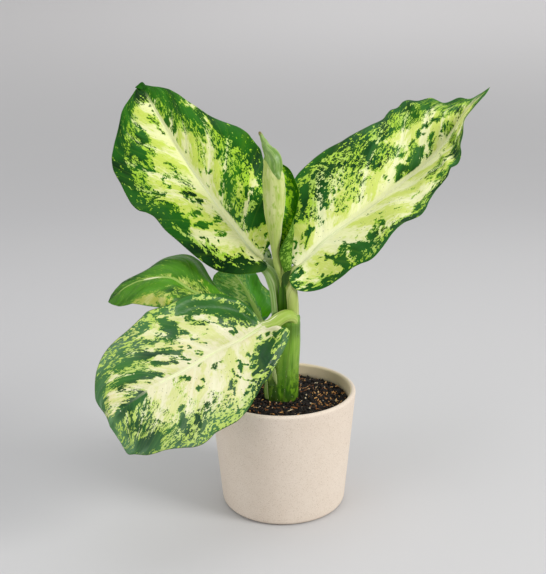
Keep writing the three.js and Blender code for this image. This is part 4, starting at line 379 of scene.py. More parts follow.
        (0.763, 0.16, 0.702, 0.02, 1.07, 0.3), (0.702, 0.02, 0.597, 0.02, 1.28, 0.28), (0.597, 0.02, 0.555, 0.05, 1.28, 0.24), (0.555, 0.05, 0.47, 0.03, 1.49, 0.26), (0.47, 0.03, 0.338, 0.09, 1.92, 0.2),
        (0.691, -0.02, 0.609, -0.06, 0.53, 0.1), (0.536, 0.01, 0.451, 0.01, 0.53, 0.1), (0.5, -0.4, 0.427, -0.16, 1.92, 0.44), (0.385, 0.36, 0.275, 0.22, 0.75, 0.12), (0.403, -0.3, 0.356, 0.09, 2.35, 0.36),
        (0.585, -0.41, 0.536, -0.28, 0.85, 0.4), (0.741, -0.81, 0.518, -0.79, 4.27, 0.06), (0.835, -0.94, 0.579, -0.9, 3.2, 0.04), (0.644, -0.71, 0.53, -0.71, 2.35, 0.3), (0.868, -0.98, 0.805, -0.96, 1.49, 0.14),
        (0.5, -0.53, 0.445, -0.5, 1.71, 0.46), (0.211, 0.45, 0.151, 0.46, 1.71, 0.42), (0.275, 0.17, 0.242, 0.23, 1.07, 0.36), (0.47, 0.13, 0.385, 0.2, 1.28, 0.42), (0.397, 0.14, 0.298, 0.19, 1.28, 0.4),
    ],
    "leaf_back_left": [
        (0.725, -0.43, 0.427, -0.31, 4.19, 0.2), (0.427, -0.31, 0.151, -0.19, 3.72, 0.22), (0.561, -0.92, 0.373, -1.0, 4.65, 0.95), (0.579, -0.1, 0.338, -0.11, 3.16, 0.95), (0.356, -0.19, 0.2, -0.11, 2.6, 0.95),
        (0.747, -0.7, 0.621, -0.71, 3.26, 0.9), (0.815, -0.01, 0.561, 0.0, 2.79, 0.45), (0.609, 0.7, 0.18, 0.59, 5.34, 1.25), (0.298, 0.6, 0.118, 0.57, 4.27, 1.25), (0.567, 0.31, 0.464, 0.25, 1.71, 0.9),
        (0.789, -0.31, 0.708, 0.19, 3.2, 0.34), (0.73, -0.62, 0.591, -0.36, 2.78, 0.4), (0.561, -0.41, 0.373, -0.26, 2.78, 0.42), (0.758, -0.19, 0.445, -0.46, 0.96, 0.12), (0.445, -0.46, 0.292, -0.31, 0.75, 0.1),
        (0.668, -0.2, 0.679, 0.02, 0.85, 0.14), (0.579, -0.28, 0.603, 0.0, 0.85, 0.14), (0.445, -0.3, 0.488, 0.0, 0.75, 0.16), (0.609, -0.75, 0.609, -0.48, 2.35, 0.8), (0.518, -0.05, 0.421, -0.14, 1.49, 0.75),
    ],
    "leaf_back_small": [
        (0.079, 0.4, 0.052, 0.6, 1.17, 1.1), (0.071, -0.07, 0.0, -1.0, 1.7, 1.2), (0.109, 0.16, 0.088, -0.03, 0.52, 0.5), (0.075, 1.0, 0.067, 1.0, 0.52, 0.5),
    ],
}

VEINS = 24  # main side veins on each half


def vein_origin(t, a):
    """Where on the midrib, 0 at the base to 1 at the tip, the side vein through (t, a) starts."""
    lo, hi = np.zeros_like(t), np.ones_like(t)
    for _ in range(26):
        m = 0.5 * (lo + hi)
        over = m + (1 - (1 - m) ** 2.9 - m) * a > t
        hi = np.where(over, m, hi)
        lo = np.where(over, lo, m)
    return 0.5 * (lo + hi)


def spread(x, pts):
    return np.interp(x, [p[0] for p in pts], [p[1] for p in pts])


class Blade:
    """A leaf blade as a grid: P[i, j] in millimetres, rows from base to tip, columns from the left to the right margin."""

    def __init__(self, name, nu, nv, seed, extra=None):
        b = BLADES[name]
        T = np.array(STATIONS)
        k = np.linspace(0, 1, nu + 1)
        self.t = t = 0.62 * k + 0.38 * (0.5 - 0.5 * np.cos(math.pi * k))
        w = np.linspace(-1, 1, nv + 1)
        aw = np.abs(w)
        self.w = w
        self.v = v = np.sign(w) * (0.5 * aw ** 1.35 + 0.5 * aw)
        M, L, R = (cubic(T, b[q], t) for q in ("mid", "left", "right"))
        lift = {-1: cubic(T, b["lift_l"], t), 1: cubic(T, b["lift_r"], t)}
        self.M, self.length = M, float(np.sum(np.linalg.norm(np.diff(M, axis=0), axis=1)))
        tan = unit(np.gradient(M, axis=0))
        face = np.cross(R - L, tan)
        face = unit(face)
        m = max(3, nu // 14)
        face[:m] = face[m]
        face[-m:] = face[-m - 1]
        for _ in range(12):
            face[1:-1] = (face[:-2] + 2 * face[1:-1] + face[2:]) / 4
        self.face = face = unit(face)
        self.tan = tan
        a = np.abs(v)[None, :]
        left = (v < 0)[None, :, None]
        E = np.where(left, L[:, None], R[:, None])
        crown = np.where(v[None, :] < 0, lift[-1][:, None], lift[1][:, None])
        P = M[:, None] + (E - M[:, None]) * a[..., None] + face[:, None] * (crown * 4 * a * (1 - a))[..., None]
        hw = np.where(v[None, :] < 0, np.linalg.norm(L - M, axis=1)[:, None], np.linalg.norm(R - M, axis=1)[:, None])
        tt = np.broadcast_to(t[:, None], hw.shape)
        aa = np.broadcast_to(a, hw.shape)
        self.hw, self.tt, self.aa = hw, tt, aa
        self.dc = aa * hw
        reach = np.minimum(1.0, np.minimum(tt, 1 - tt) * 7)
        self.dm = np.minimum((1 - aa) * hw, (1 - tt) * self.length * 0.75 + 0.0 * hw)
        self.u0 = vein_origin(tt, aa)
        self.along = np.sqrt(((tt - self.u0) * self.length) ** 2 + self.dc ** 2)
        N = self.normals(P, face)
        # finer form: undulation, ruffled margin, veins pressed in, trough over the midrib
        d = 1.1 * reach * np.minimum(1, self.dc / 12) * swell(tt * 2.6, v[None, :] * 1.3, seed)
        d = d + self.relief(seed)
        if extra is not None:
            d = d + extra(self)
        P = P + N * d[..., None]
        self.P, self.N = P, self.normals(P, face)

    def relief(self, seed):
        """Side veins pressed into the upper face, main ones deeper, and the trough over the midrib."""
        drift = 0.45 * ripple(self.u0 * 3.0, seed + 5, lo=0.5, hi=2.2)
        self.phase = phase = self.u0 * VEINS + drift
        window = ease(0.02, 0.12, self.aa) * (1 - ease(0.75, 0.98, self.aa)) * ease(0.0, 0.06, self.u0) * (1 - ease(0.8, 0.97, self.u0))
        main = phase / 3.5
        near = np.abs(main - np.round(main)) * 3.5
        fine = np.abs(phase - np.round(phase))
        trough = -0.9 * np.exp(-((self.dc / 2.6) ** 2)) * (1 - ease(0.55, 1.0, self.tt)) * ease(0, 0.04, self.tt)
        pillow = 0.32 * np.cos(2 * math.pi * main) * (-1)
        return window * (-0.5 * np.exp(-((near / 0.17) ** 2)) - 0.13 * np.exp(-((fine / 0.2) ** 2)) + pillow) + trough

    @staticmethod
    def normals(P, face):
        du = np.gradient(P, axis=0)
        dv = np.gradient(P, axis=1)
        N = np.cross(dv, du)
        n = np.linalg.norm(N, axis=-1, keepdims=True)
        N = np.where(n > 1e-7, N / np.maximum(n, 1e-9), face[:, None])
        flip = (N * face[:, None]).sum(-1, keepdims=True) < 0
        N = np.where(flip & (np.abs((N * face[:, None]).sum(-1, keepdims=True)) > 0.4), -N, N)
        N[0] = face[0]
        N[-1] = face[-1]
        return N


def blade_shell(build, bl, ink, thick=0.55, mats=(0, 1)):
    """Adds the closed blade: upper face, lower face, shared margin."""
    P, N = bl.P, bl.N
    nu, nv = P.shape[0], P.shape[1]
    th = thick * (0.55 + 0.45 * (1 - bl.aa ** 2)) * np.minimum(1, bl.dm / 0.8 + 0.25)
    low = P - N * th[..., None]
    low[:, 0], low[:, -1] = P[:, 0], P[:, -1]
    # one point at the base and one at the tip, shared by both faces
    top_v = [P[0, nv // 2]] + [p for row in P[1:-1] for p in row] + [P[-1, nv // 2]]
    idx = np.zeros((nu, nv), int)
    idx[1:-1] = 1 + np.arange((nu - 2) * nv).reshape(nu - 2, nv)
    idx[-1] = 1 + (nu - 2) * nv
    nt = len(top_v)
    lidx = idx.copy()
    low_v = []
    for i in range(1, nu - 1):
        for j in range(1, nv - 1):
            lidx[i, j] = nt + len(low_v)
            low_v.append(low[i, j])
    verts = np.array(top_v + low_v)
    faces, mat = [], []
    for ids, m, rev in ((idx, mats[0], False), (lidx, mats[1], True)):
        for i in range(nu - 1):
            for j in range(nv - 1):
                q = (ids[i, j], ids[i, j + 1], ids[i + 1, j + 1], ids[i + 1, j])
                q = tuple(dict.fromkeys(q))
                if len(q) < 3:
                    continue
                faces.append(tuple(reversed(q)) if rev else q)
                mat.append(m)
    if shell_volume(verts, faces) < 0:
        faces = [tuple(reversed(f)) for f in faces]

    def both(G):
        G = np.asarray(G, float)
        flat = G.reshape(nu, nv, -1)
        top = np.vstack([flat[0, nv // 2][None], flat[1:-1].reshape(-1, flat.shape[-1]), flat[-1, nv // 2][None]])
        bottom = flat[1:-1, 1:-1].reshape(-1, flat.shape[-1])
        return np.vstack([top, bottom])

    W = np.broadcast_to((bl.w[None, :] + 1) / 2, bl.tt.shape)
    uv = both(np.stack([0.02 + 0.44 * W, 0.02 + 0.96 * bl.tt], -1))
    uv[nt:, 0] += 0.5
    side = np.where(bl.v < 0, 0.0, 400.0)[None, :]
    flow = both(np.stack([bl.u0 * bl.length + side, bl.along, 0 * bl.along], -1))
    build.add(
        verts, faces, mat, uv,
        flow=flow, ink=both(ink), dm=both(bl.dm), dc=both(bl.dc), vein=both(bl.phase),
        lt=both(bl.tt), la=both(bl.aa), rnd=0.0,
    )


LEAF_FLOATS = ("ink", "dm", "dc", "vein", "lt", "la", "pt", "pa", "rnd")
LEAF_VECTORS = ("flow",)


def channel(r_side, r_up, groove, k=28):
    """Section of a petiole: a rounded bar with a channel of the given depth in its upper side."""
    th = np.linspace(0, 2 * math.pi, k, endpoint=False)
    x, y = np.cos(th), np.sin(th)
    cut = np.where(y > 0, groove * np.maximum(0, 1 - (np.abs(x) / 0.82) ** 2.2) ** 1.2, 0)
    return np.stack([x * r_side, (y - cut * (1.0 + 0.3 * y)) * r_up], -1)


def petiole(build, bl, free, radii_at, first_up, mat=2, grooves=((0, 0.5), (0.3, 0.6), (0.5, 0.35), (1, 0.0)), wide=1.12, flat=0.92, steps=90, show=1.0):
    """The stalk from the stem to the blade, carried on as the midrib under the blade."""
    free = np.array(free, float)
    at_t = np.array([q[0] for q in radii_at])
    rr = np.array([q[1] for q in radii_at])
    proud = show * np.interp(at_t, [0, 0.1, 0.3, 0.6, 1], [1.0, 0.7, 0.42, 0.24, 0.08])
    i = np.interp(at_t, bl.t, np.arange(len(bl.t)))
    j = bl.P.shape[1] // 2
    pts = []
    for q, r, p in zip(i, rr, proud):
        k0 = int(q)
        k1 = min(k0 + 1, len(bl.t) - 1)
        f = q - k0
        c = bl.P[k0, j] * (1 - f) + bl.P[k1, j] * f
        n = bl.face[k0] * (1 - f) + bl.face[k1] * f
        pts.append(c - n / np.linalg.norm(n) * (r * flat - p))
    path = np.vstack([free[:, :3], pts])
    radius = np.r_[free[:, 3], rr]
    s = np.r_[0, np.cumsum(np.linalg.norm(np.diff(path, axis=0), axis=1))]
    x = np.linspace(0, s[-1], steps)
    C = cubic(s, path, x)
    Rr = np.maximum(cubic(s, radius, x), 0.25)
    s_blade = s[len(free)]
    frac = np.clip((x - s_blade) / max(s[-1] - s_blade, 1e-6), 0, 1)
    tan = unit(np.gradient(C, axis=0))
    mix = ease(s_blade * 0.35, s_blade * 1.02, x)[:, None]
    k = np.clip(np.interp(frac, [0, 1], [0, len(bl.t) - 1]).astype(int), 0, len(bl.t) - 1)
    ups = unit(np.asarray(first_up, float)[None] * (1 - mix) + bl.face[k] * mix)
    ups = unit(ups - (ups * tan).sum(1, keepdims=True) * tan)
    side = np.cross(tan, ups)
    g = np.interp(x, [s_blade * a for a, _ in grooves[:-1]] + [s_blade * 1.35], [b for _, b in grooves])
    sec = np.array([channel(r * wide, r * flat, gg) for r, gg in zip(Rr, g)])
    verts, faces = loft(C, side, ups, sec)
    n, kk = sec.shape[:2]
    pt = np.r_[np.repeat(np.where(x < s_blade, 0.5 * x / s_blade, 0.5 + 0.5 * frac), kk), 0, 1]
    pa = np.r_[np.tile(np.arange(kk) / kk, n), 0, 0]
    uv = np.stack([0.965 + 0.03 * np.abs(pa * 2 - 1), 0.02 + 0.96 * pt], -1)
    build.add(verts, faces, mat, uv, pt=pt, pa=pa)


# --------------------------------------------------------------- materials
class Nodes:
    """Small shorthand for building a node material."""

    def __init__(self, name, rough=0.5, **fixed):
        self.mat = bpy.data.materials.new(name)
        self.mat.use_nodes = True
        self.tree = self.mat.node_tree
        self.n = self.tree.nodes
        self.n.clear()
        self.out = self.n.new("ShaderNodeOutputMaterial")
        self.bsdf = self.n.new("ShaderNodeBsdfPrincipled")
        self.tree.links.new(self.bsdf.outputs["BSDF"], self.out.inputs["Surface"])
        self.set(self.bsdf.inputs["Roughness"], rough)
        for k, v in fixed.items():
            self.bsdf.inputs[k.replace("_", " ")].default_value = v
        self.coord = None

    def set(self, socket, value):
        if isinstance(value, bpy.types.NodeSocket):
            self.tree.links.new(value, socket)
        elif value is not None:
            socket.default_value = value

    def place(self):
        """Object coordinates, in metres."""
        if self.coord is None:
            self.coord = self.n.new("ShaderNodeTexCoord").outputs["Object"]
        return self.coord

    def attr(self, name, kind="Fac"):
        a = self.n.new("ShaderNodeAttribute")
        a.attribute_name = name
        return a.outputs[kind]

    def math(self, op, a, b=None, c=None, clamp=False):
        m = self.n.new("ShaderNodeMath")
        m.operation = op
        m.use_clamp = clamp
        for k, v in enumerate((a, b, c)):
            self.set(m.inputs[k], v)
        return m.outputs[0]

    def vec(self, op, a, b=None, scale=None):
        m = self.n.new("ShaderNodeVectorMath")
        m.operation = op
        self.set(m.inputs[0], a)
        if b is not None:
            self.set(m.inputs[1], b)
        if scale is not None:
            self.set(m.inputs["Scale"], scale)
        return m.outputs[0]

    def noise(self, vector, scale, detail=3.0, rough=0.5, distort=0.0, kind="Fac"):
        t = self.n.new("ShaderNodeTexNoise")
        self.set(t.inputs["Vector"], vector)
        self.set(t.inputs["Scale"], scale)
        self.set(t.inputs["Detail"], detail)
        self.set(t.inputs["Roughness"], rough)
        self.set(t.inputs["Distortion"], distort)
        return t.outputs[kind]

    def cells(self, vector, scale, feature="F1", kind="Distance", random=1.0):
        t = self.n.new("ShaderNodeTexVoronoi")
        t.feature = feature
        self.set(t.inputs["Vector"], vector)
        self.set(t.inputs["Scale"], scale)
        self.set(t.inputs["Randomness"], random)
        return t.outputs[kind]

    def dot(self, colour):
        """The first channel of a colour, 0 to 1."""
        s = self.n.new("ShaderNodeSeparateColor")
        self.set(s.inputs[0], colour)
        return s.outputs[0]

    def step(self, x, lo, hi, a=0.0, b=1.0):
        """Smooth step of x from lo to hi, giving a to b."""
        m = self.n.new("ShaderNodeMapRange")
        m.interpolation_type = "SMOOTHSTEP"
        for k, v in zip(("Value", "From Min", "From Max", "To Min", "To Max"), (x, lo, hi, a, b)):
            self.set(m.inputs[k], v)
        return m.outputs[0]

    def lin(self, x, lo, hi, a=0.0, b=1.0):
        m = self.n.new("ShaderNodeMapRange")
        for k, v in zip(("Value", "From Min", "From Max", "To Min", "To Max"), (x, lo, hi, a, b)):
            self.set(m.inputs[k], v)
        return m.outputs[0]

    def mix(self, fac, a, b, blend="MIX"):
        m = self.n.new("ShaderNodeMix")
        m.data_type = "RGBA"
        m.blend_type = blend
        self.set(m.inputs[0], fac)
        self.set(m.inputs[6], a)
        self.set(m.inputs[7], b)
        return m.outputs[2]

    def stretch(self, vector, x, y, z=1.0):
        return self.vec("MULTIPLY", vector, (x, y, z))

    def bump(self, height, distance=0.0003, strength=0.5, normal=None):
        b = self.n.new("ShaderNodeBump")
        self.set(b.inputs["Height"], height)
        b.inputs["Distance"].default_value = distance
        b.inputs["Strength"].default_value = strength
        if normal is not None:
            self.set(b.inputs["Normal"], normal)
        return b.outputs[0]

    def finish(self, colour=None, rough=None, normal=None):
        self.set(self.bsdf.inputs["Base Color"], colour)
        self.set(self.bsdf.inputs["Roughness"], rough)
        self.set(self.bsdf.inputs["Normal"], normal)
        return self.mat


def leaf_face(
    name, cream, tint, lime, dark, mid, vivid,
    rough=0.36, vivid_amount=0.4, speckle=1.0, rib=None, rib_width=(3.0, 0.8), vein_tone=0.6,
    under=False, seed=0.0, tan=0.0, veins_in_dark=0.12, dots=1.0, spec=0.12, rib_fade=(0.86, 0.97), edge=0.02, strong=False, painted_sheen=0.0,
):
    """Variegated leaf skin. It works in the leaf's own coordinates: flow x runs from vein to vein along the
    midrib and flow y outward along the side veins, both in millimetres."""
    m = Nodes(name, rough)
    rib = rib or cream
    flow = m.vec("ADD", m.attr("flow", "Vector"), (seed * 37.1, seed * 11.7, seed * 5.3))
    ink, dm, dc = m.attr("ink"), m.attr("dm"), m.attr("dc")
    vein, lt, la = m.attr("vein"), m.attr("lt"), m.attr("la")

    def centred(x, k):
        return m.math("MULTIPLY", m.math("SUBTRACT", x, 0.5), k)

    # ragged, speckled edges: noise of several sizes and two sizes of irregular islands, drawn out along
    # the side veins
    medium = m.noise(m.stretch(flow, 1.1, 0.62), 0.26, 3.0, 0.6)
    fine = m.noise(m.stretch(flow, 1.1, 0.8), 0.8, 3.0, 0.7)
    jitter = m.vec("SUBTRACT", m.noise(flow, 0.8, 2.0, 0.6, kind="Color"), (0.5, 0.5, 0.5))
    bent = m.vec("ADD", flow, m.vec("SCALE", jitter, scale=1.0))
    isle = m.dot(m.cells(m.stretch(bent, 1.15, 0.7), 0.42, kind="Color"))
    speck = m.dot(m.cells(m.stretch(bent, 1.1, 0.85), 1.0, kind="Color"))
    wob = m.math("ADD", centred(medium, 0.9), centred(fine, 0.4 * speckle))
    wob = m.math("ADD", wob, m.math("ADD", centred(isle, 1.2 * speckle), centred(speck, 1.15 * speckle)))
    weight = m.math("SUBTRACT", m.step(ink, 0.0, 0.35, 0.1, 1.0), m.step(ink, 0.7, 1.15, 0.0, 0.6))
    level = m.math("ADD", ink, m.math("MULTIPLY", wob, weight))
    mask = m.step(level, 0.505 - edge, 0.505 + edge)
    halo = m.math("MAXIMUM", m.step(level, 0.12, 0.46), m.step(ink, 0.12, 0.52, 0.0, 0.85))
    # small single dots scattered over the pale part
    p1 = m.stretch(flow, 1.15, 0.7)
    rare = m.dot(m.cells(p1, 0.5, kind="Color"))
    dense = m.noise(m.stretch(flow, 1, 0.6), 0.09, 2.0)
    dot = m.math("MULTIPLY", m.step(m.cells(p1, 0.5), 0.13, 0.22, 1.0, 0.0), m.step(m.math("ADD", rare, centred(dense, 1.6)), 0.86 - 0.12 * dots, 0.97 - 0.12 * dots))
    dot = m.math("MULTIPLY", m.math("MULTIPLY", dot, m.step(dc, 1.5, 4.0)), 0.75 * dots)
    # pale ground: cream along the main veins and the midrib, lime between them
    main = m.math("PINGPONG", m.math("DIVIDE", vein, 3.5), 0.5)
    away = m.math("ADD", m.math("ADD", main, centred(medium, 1.1)), m.step(dc, 0.0, 16.0, -0.2, 0.04))
    away = m.math("ADD", away, centred(m.noise(m.stretch(flow, 0.8, 0.4), 0.06, 2.0), 1.0))
    green = m.step(away, 0.02, 0.4)
    streak = m.noise(m.stretch(flow, 3.2, 0.32), 0.5, 3.0, 0.6)
    ground = m.mix(green, cream, tint)
    ground = m.mix(m.step(streak, 0.52, 0.72, 0.0, 0.5), ground, m.mix(0.55, tint, lime))
    ground = m.mix(m.step(streak, 0.3, 0.46, 0.45, 0.0), ground, cream)
    ground = m.mix(m.math("MULTIPLY", halo, 0.92), ground, lime)
    if tan:
        warm = m.noise(m.stretch(flow, 0.6, 0.5), 0.05, 2.0)
        ground = m.mix(m.step(warm, 0.52, 0.7, 0.0, tan), ground, rgb(222, 200, 140))
    line = m.math("MULTIPLY", m.step(main, 0.012, 0.075, 1.0, 0.0), m.step(la, 0.5, 0.95, 1.0, 0.0))
    ground = m.mix(m.math("MULTIPLY", line, vein_tone), ground, rib)
    # dark green, with lighter and more vivid patches and faint veins
    tone = m.noise(m.stretch(flow, 0.9, 0.4), 0.06, 3.0)
    deep = m.mix(m.step(tone, 0.36, 0.62), dark, mid)
    deep = m.mix(m.math("MULTIPLY", m.step(m.noise(m.stretch(flow, 0.7, 0.5), 0.04, 1.5), 0.42, 0.64), vivid_amount), deep, vivid)
    deep = m.mix(m.step(streak, 0.48, 0.75, 0.0, 0.35), deep, mid)
    if strong:
        deep = m.mix(m.step(ink, 0.86, 1.1), deep, m.mix(m.step(tone, 0.4, 0.6), vivid, m.mix(0.4, vivid, dark)))
    small = m.math("PINGPONG", vein, 0.5)
    deep = m.mix(m.math("MULTIPLY", m.step(small, 0.0, 0.13, 1.0, 0.0), veins_in_dark), deep, m.mix(0.5, mid, lime))
    # painted sheen: a pale grey-green laid over the dark green near the margin, strongest within 3 mm and gone by 20
    # mm, from the middle of the leaf outward. It stands for the reflection of the bright surroundings where the blade
    # curves away.
    if painted_sheen:
        deep = m.mix(m.math("MULTIPLY", m.math("MULTIPLY", m.step(dm, 3.0, 20.0, painted_sheen, 0.0), m.step(lt, 0.3, 0.5)), m.step(m.noise(m.stretch(flow, 0.5, 0.5), 0.07, 2.0), 0.4, 0.6, 0.35, 1.0)), deep, rgb(122, 158, 122))
    colour = m.mix(m.math("MAXIMUM", mask, dot), ground, deep)
    colour = m.mix(m.step(dm, 0.1, 0.7, 0.45, 0.0), colour, m.mix(0.35, vivid, lime))
    w = m.lin(lt, 0.0, 1.0, rib_width[0], rib_width[1])
    r = m.step(m.math("DIVIDE", m.math("ADD", dc, centred(fine, 1.6)), w), 0.7, 1.2, 1.0, 0.0)
    r = m.math("MULTIPLY", r, m.step(lt, rib_fade[0], rib_fade[1], 1.0, 0.0))
    colour = m.mix(r, colour, m.mix(m.step(streak, 0.42, 0.7, 0.0, 0.35), rib, tint))
    if under:
        colour = m.mix(0.45, colour, rgb(136, 166, 88))
        colour = m.mix(r, colour, rgb(190, 206, 138))
    # surface: fine cells and the net of small veins
    pores = m.noise(m.place(), 2600.0, 2.0)
    net = m.cells(m.stretch(flow, 1.0, 0.6), 0.8, feature="DISTANCE_TO_EDGE")
    h = m.math("ADD", m.math("MULTIPLY", pores, 0.35), m.math("MULTIPLY", m.step(net, 0.0, 0.22), 0.4))
    h = m.math("ADD", h, m.math("MULTIPLY", streak, 0.8))
    shine = m.lin(m.noise(m.place(), 90.0, 2.0), 0.3, 0.7, rough - 0.05, rough + 0.08)
    m.bsdf.inputs["Specular IOR Level"].default_value = spec
    return m.finish(colour, shine, m.bump(h, 0.00022, 0.5 if not under else 0.8))


def stalk_skin(name, pale=rgb(196, 208, 140), green=rgb(128, 168, 66), deep=rgb(92, 134, 40), rough=0.4, groove_shade=0.0, rim_highlights=()):
    """Petiole and midrib: pale, with long streaks; pt runs along it and pa round it."""
    m = Nodes(name, rough)
    pt, pa = m.attr("pt"), m.attr("pa")
    comb = m.n.new("ShaderNodeCombineXYZ")
    ang = m.math("MULTIPLY", pa, 2 * math.pi)
    m.set(comb.inputs[0], m.math("MULTIPLY", m.math("COSINE", ang), 3.0))
    m.set(comb.inputs[1], m.math("MULTIPLY", m.math("SINE", ang), 3.0))
    m.set(comb.inputs[2], m.math("MULTIPLY", pt, 9.0))
    v = comb.outputs[0]
    streak = m.noise(m.stretch(v, 1.2, 1.2, 0.22), 1.0, 4.0, 0.55)
    patch = m.noise(m.stretch(v, 1.0, 1.0, 0.9), 0.55, 2.0)
    colour = m.mix(m.step(patch, 0.35, 0.62), pale, green)
    colour = m.mix(m.step(streak, 0.48, 0.72, 0.0, 0.42), colour, deep)
    colour = m.mix(m.step(streak, 0.28, 0.44, 0.3, 0.0), colour, rgb(218, 224, 172))
    # painted shade: the inside of the channel, round pa 0.25, is dark green up the stalk's lower part (pt below about
    # 0.3), standing for the shade in the groove, and darker still below pt 0.1
    off = m.math("ABSOLUTE", m.math("SUBTRACT", pa, 0.25))
    inside = m.math("MULTIPLY", m.step(off, 0.12, 0.17, groove_shade, 0.0), m.step(pt, 0.24, 0.34, 1.0, 0.0))
    colour = m.mix(inside, colour, m.mix(m.step(pt, 0.1, 0.12, 0.75, 0.0), m.mix(m.step(streak, 0.4, 0.66), rgb(44, 88, 4), rgb(80, 128, 18)), rgb(16, 44, 0)))
    # painted highlights: pale lines at the given angles round the stalk, standing for light caught on the sheath's rims
    for at, lo, hi, amount in rim_highlights:
        lip = m.step(m.math("ABSOLUTE", m.math("SUBTRACT", pa, at)), 0.007, 0.024, 1.0, 0.0)
        lip = m.math("MULTIPLY", lip, m.math("MULTIPLY", m.step(pt, lo, lo + 0.05), m.step(pt, hi, hi + 0.06, amount, 0.0)))
        colour = m.mix(lip, colour, rgb(232, 236, 190))
    # toward the blade it turns cream, like the midrib
    colour = m.mix(m.step(pt, 0.42, 0.62), colour, m.mix(m.step(streak, 0.4, 0.66, 0.0, 0.6), rgb(232, 234, 196), rgb(200, 216, 142)))
    flecks = m.cells(m.place(), 700.0)
    colour = m.mix(m.math("MULTIPLY", m.step(flecks, 0.1, 0.24, 1.0, 0.0), 0.18), colour, deep)
    m.bsdf.inputs["Specular IOR Level"].default_value = 0.26
    h = m.math("ADD", m.math("MULTIPLY", streak, 1.0), m.math("MULTIPLY", m.noise(m.place(), 1500.0, 2.0), 0.2))
    return m.finish(colour, m.lin(streak, 0.3, 0.7, rough - 0.05, rough + 0.1), m.bump(h, 0.0004, 0.5))


# ------------------------------------------------------------------ leaves
def place(piece, node):
    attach(piece, "root")
    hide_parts(node)
    return piece


def ink_field(bl, left_band, right_band, marks, base=0.0, soft=(5.0, 7.0)):
    """Dark margin of the given width (mm, by t), then the listed markings, in order."""
    t, X, Y = bl.tt, bl.tt * bl.length, bl.v[None, :] * bl.hw
    L, R = spread(t, left_band), spread(t, right_band)
    left = bl.v[None, :] < 0
    band = np.where(left, L, R)
    sft = np.where(left, soft[0], soft[1])
    out = np.maximum(base, 1.0 - ease(band - 0.35 * sft, band + 0.65 * sft, bl.dm))
    out = np.where(band <= 0.01, base, out)
    hl, hr = bl.hw[:, 0], bl.hw[:, -1]
    # the outlines wander by a few millimetres
    seed = int(bl.length * 10)
    X = X + 1.5 * swell(bl.u0 * bl.length / 11, bl.along / 15, seed, n=9, lo=0.6, hi=2.4)
    Y = Y + 1.3 * swell(bl.u0 * bl.length / 10, bl.along / 16, seed + 1, n=9, lo=0.6, hi=2.4)
    for t1, v1, t2, v2, r, k in marks:
        w1 = np.interp(t1, bl.t, hl if v1 < 0 else hr)
        w2 = np.interp(t2, bl.t, hl if v2 < 0 else hr)
        ax, ay, bx, by = t1 * bl.length, v1 * w1, t2 * bl.length, v2 * w2
        ex, ey = bx - ax, by - ay
        q = np.clip(((X - ax) * ex + (Y - ay) * ey) / max(ex * ex + ey * ey, 1e-6), 0, 1)
        d = np.hypot(X - ax - q * ex, Y - ay - q * ey)
        g = 1 - ease(0.35, 1.7, d / r)
        out = np.maximum(out, g * k) if k >= 0.5 else out * (1 - g) + g * k
    return out


def ruffle(bl, left=(), right=(), depth=0.35):
    """Waves along a margin: (t, height mm) knots for each side, dying away inward."""
    out = np.zeros_like(bl.tt)
    for side, knots in ((-1, left), (1, right)):
        if len(knots) > 1:
            k = np.array(knots, float)
            h = cubic(k[:, 0], k[:, 1], bl.t)[:, None]
            out = out + np.where(np.sign(bl.v)[None, :] == side, h * np.clip((bl.aa - (1 - depth)) / depth, 0, 1) ** 1.7, 0)
    return out


def crease(bl, side, knots, width, height):
    """A ridge (+) or valley (-) that follows (t, v) knots on one side, width in mm."""
    k = np.array(knots, float)
    v = np.interp(bl.t, k[:, 0], k[:, 1])[:, None]
    on = (ease(k[0, 0] - 0.04, k[0, 0] + 0.03, bl.t) * (1 - ease(k[-1, 0] - 0.03, k[-1, 0] + 0.12, bl.t)))[:, None]
    d = (np.abs(bl.v[None, :]) - v) * bl.hw
    return np.where(np.sign(bl.v)[None, :] == side, on * height * np.exp(-((d / width) ** 2)), 0)


def open_leaf(node, size, seed, bands, skins, stalk, marks=None, base=0.0, extra=None, hook=None, thick=0.55, soft=(5.0, 7.0)):
    bl = Blade(node, size[0], size[1], seed, extra)
    build = Build(LEAF_FLOATS, LEAF_VECTORS)
    ink = ink_field(bl, bands[0], bands[1], MARKS.get(node, []) if marks is None else marks, base, soft)
    blade_shell(build, bl, ink, thick)
    if stalk:
        petiole(build, bl, **stalk)
    if hook:
        hook(build, bl)
    return place(build.object(node + "_finish", skins), node)


def d_form(bl):
    a = crease(bl, -1, ((0.02, 0.66), (0.084, 0.78), (0.19, 0.81), (0.36, 0.86)), 5.0, 2.6)
    a = a + crease(bl, -1, ((0.05, 0.40), (0.13, 0.52), (0.27, 0.66)), 7.5, -4.2)
    a = a + crease(bl, 1, ((0.05, 0.60), (0.216, 0.72), (0.332, 0.78), (0.42, 0.80)), 6.0, -3.2)
    a = a + crease(bl, 1, ((0.05, 0.92), (0.216, 0.93), (0.36, 0.95)), 5.0, 1.6)
    a = a + crease(bl, 1, ((0.45, 0.45), (0.7, 0.5), (0.86, 0.5)), 9.0, -1.5)
    a = a + crease(bl, -1, ((0.62, 0.4), (0.75, 0.45), (0.9, 0.5)), 8.0, -1.3)
    return a + ruffle(
        bl, ((0, 0), (0.2, 0.5), (0.35, -0.8), (0.5, 0.9), (0.62, -1.2), (0.74, 1.3), (0.86, -1.0), (1, 0)),
        ((0, 0), (0.2, 0.8), (0.4, -0.4), (0.55, 0.8), (0.7, -0.8), (0.82, 0.8), (0.92, -0.8), (1, 0)),
    )


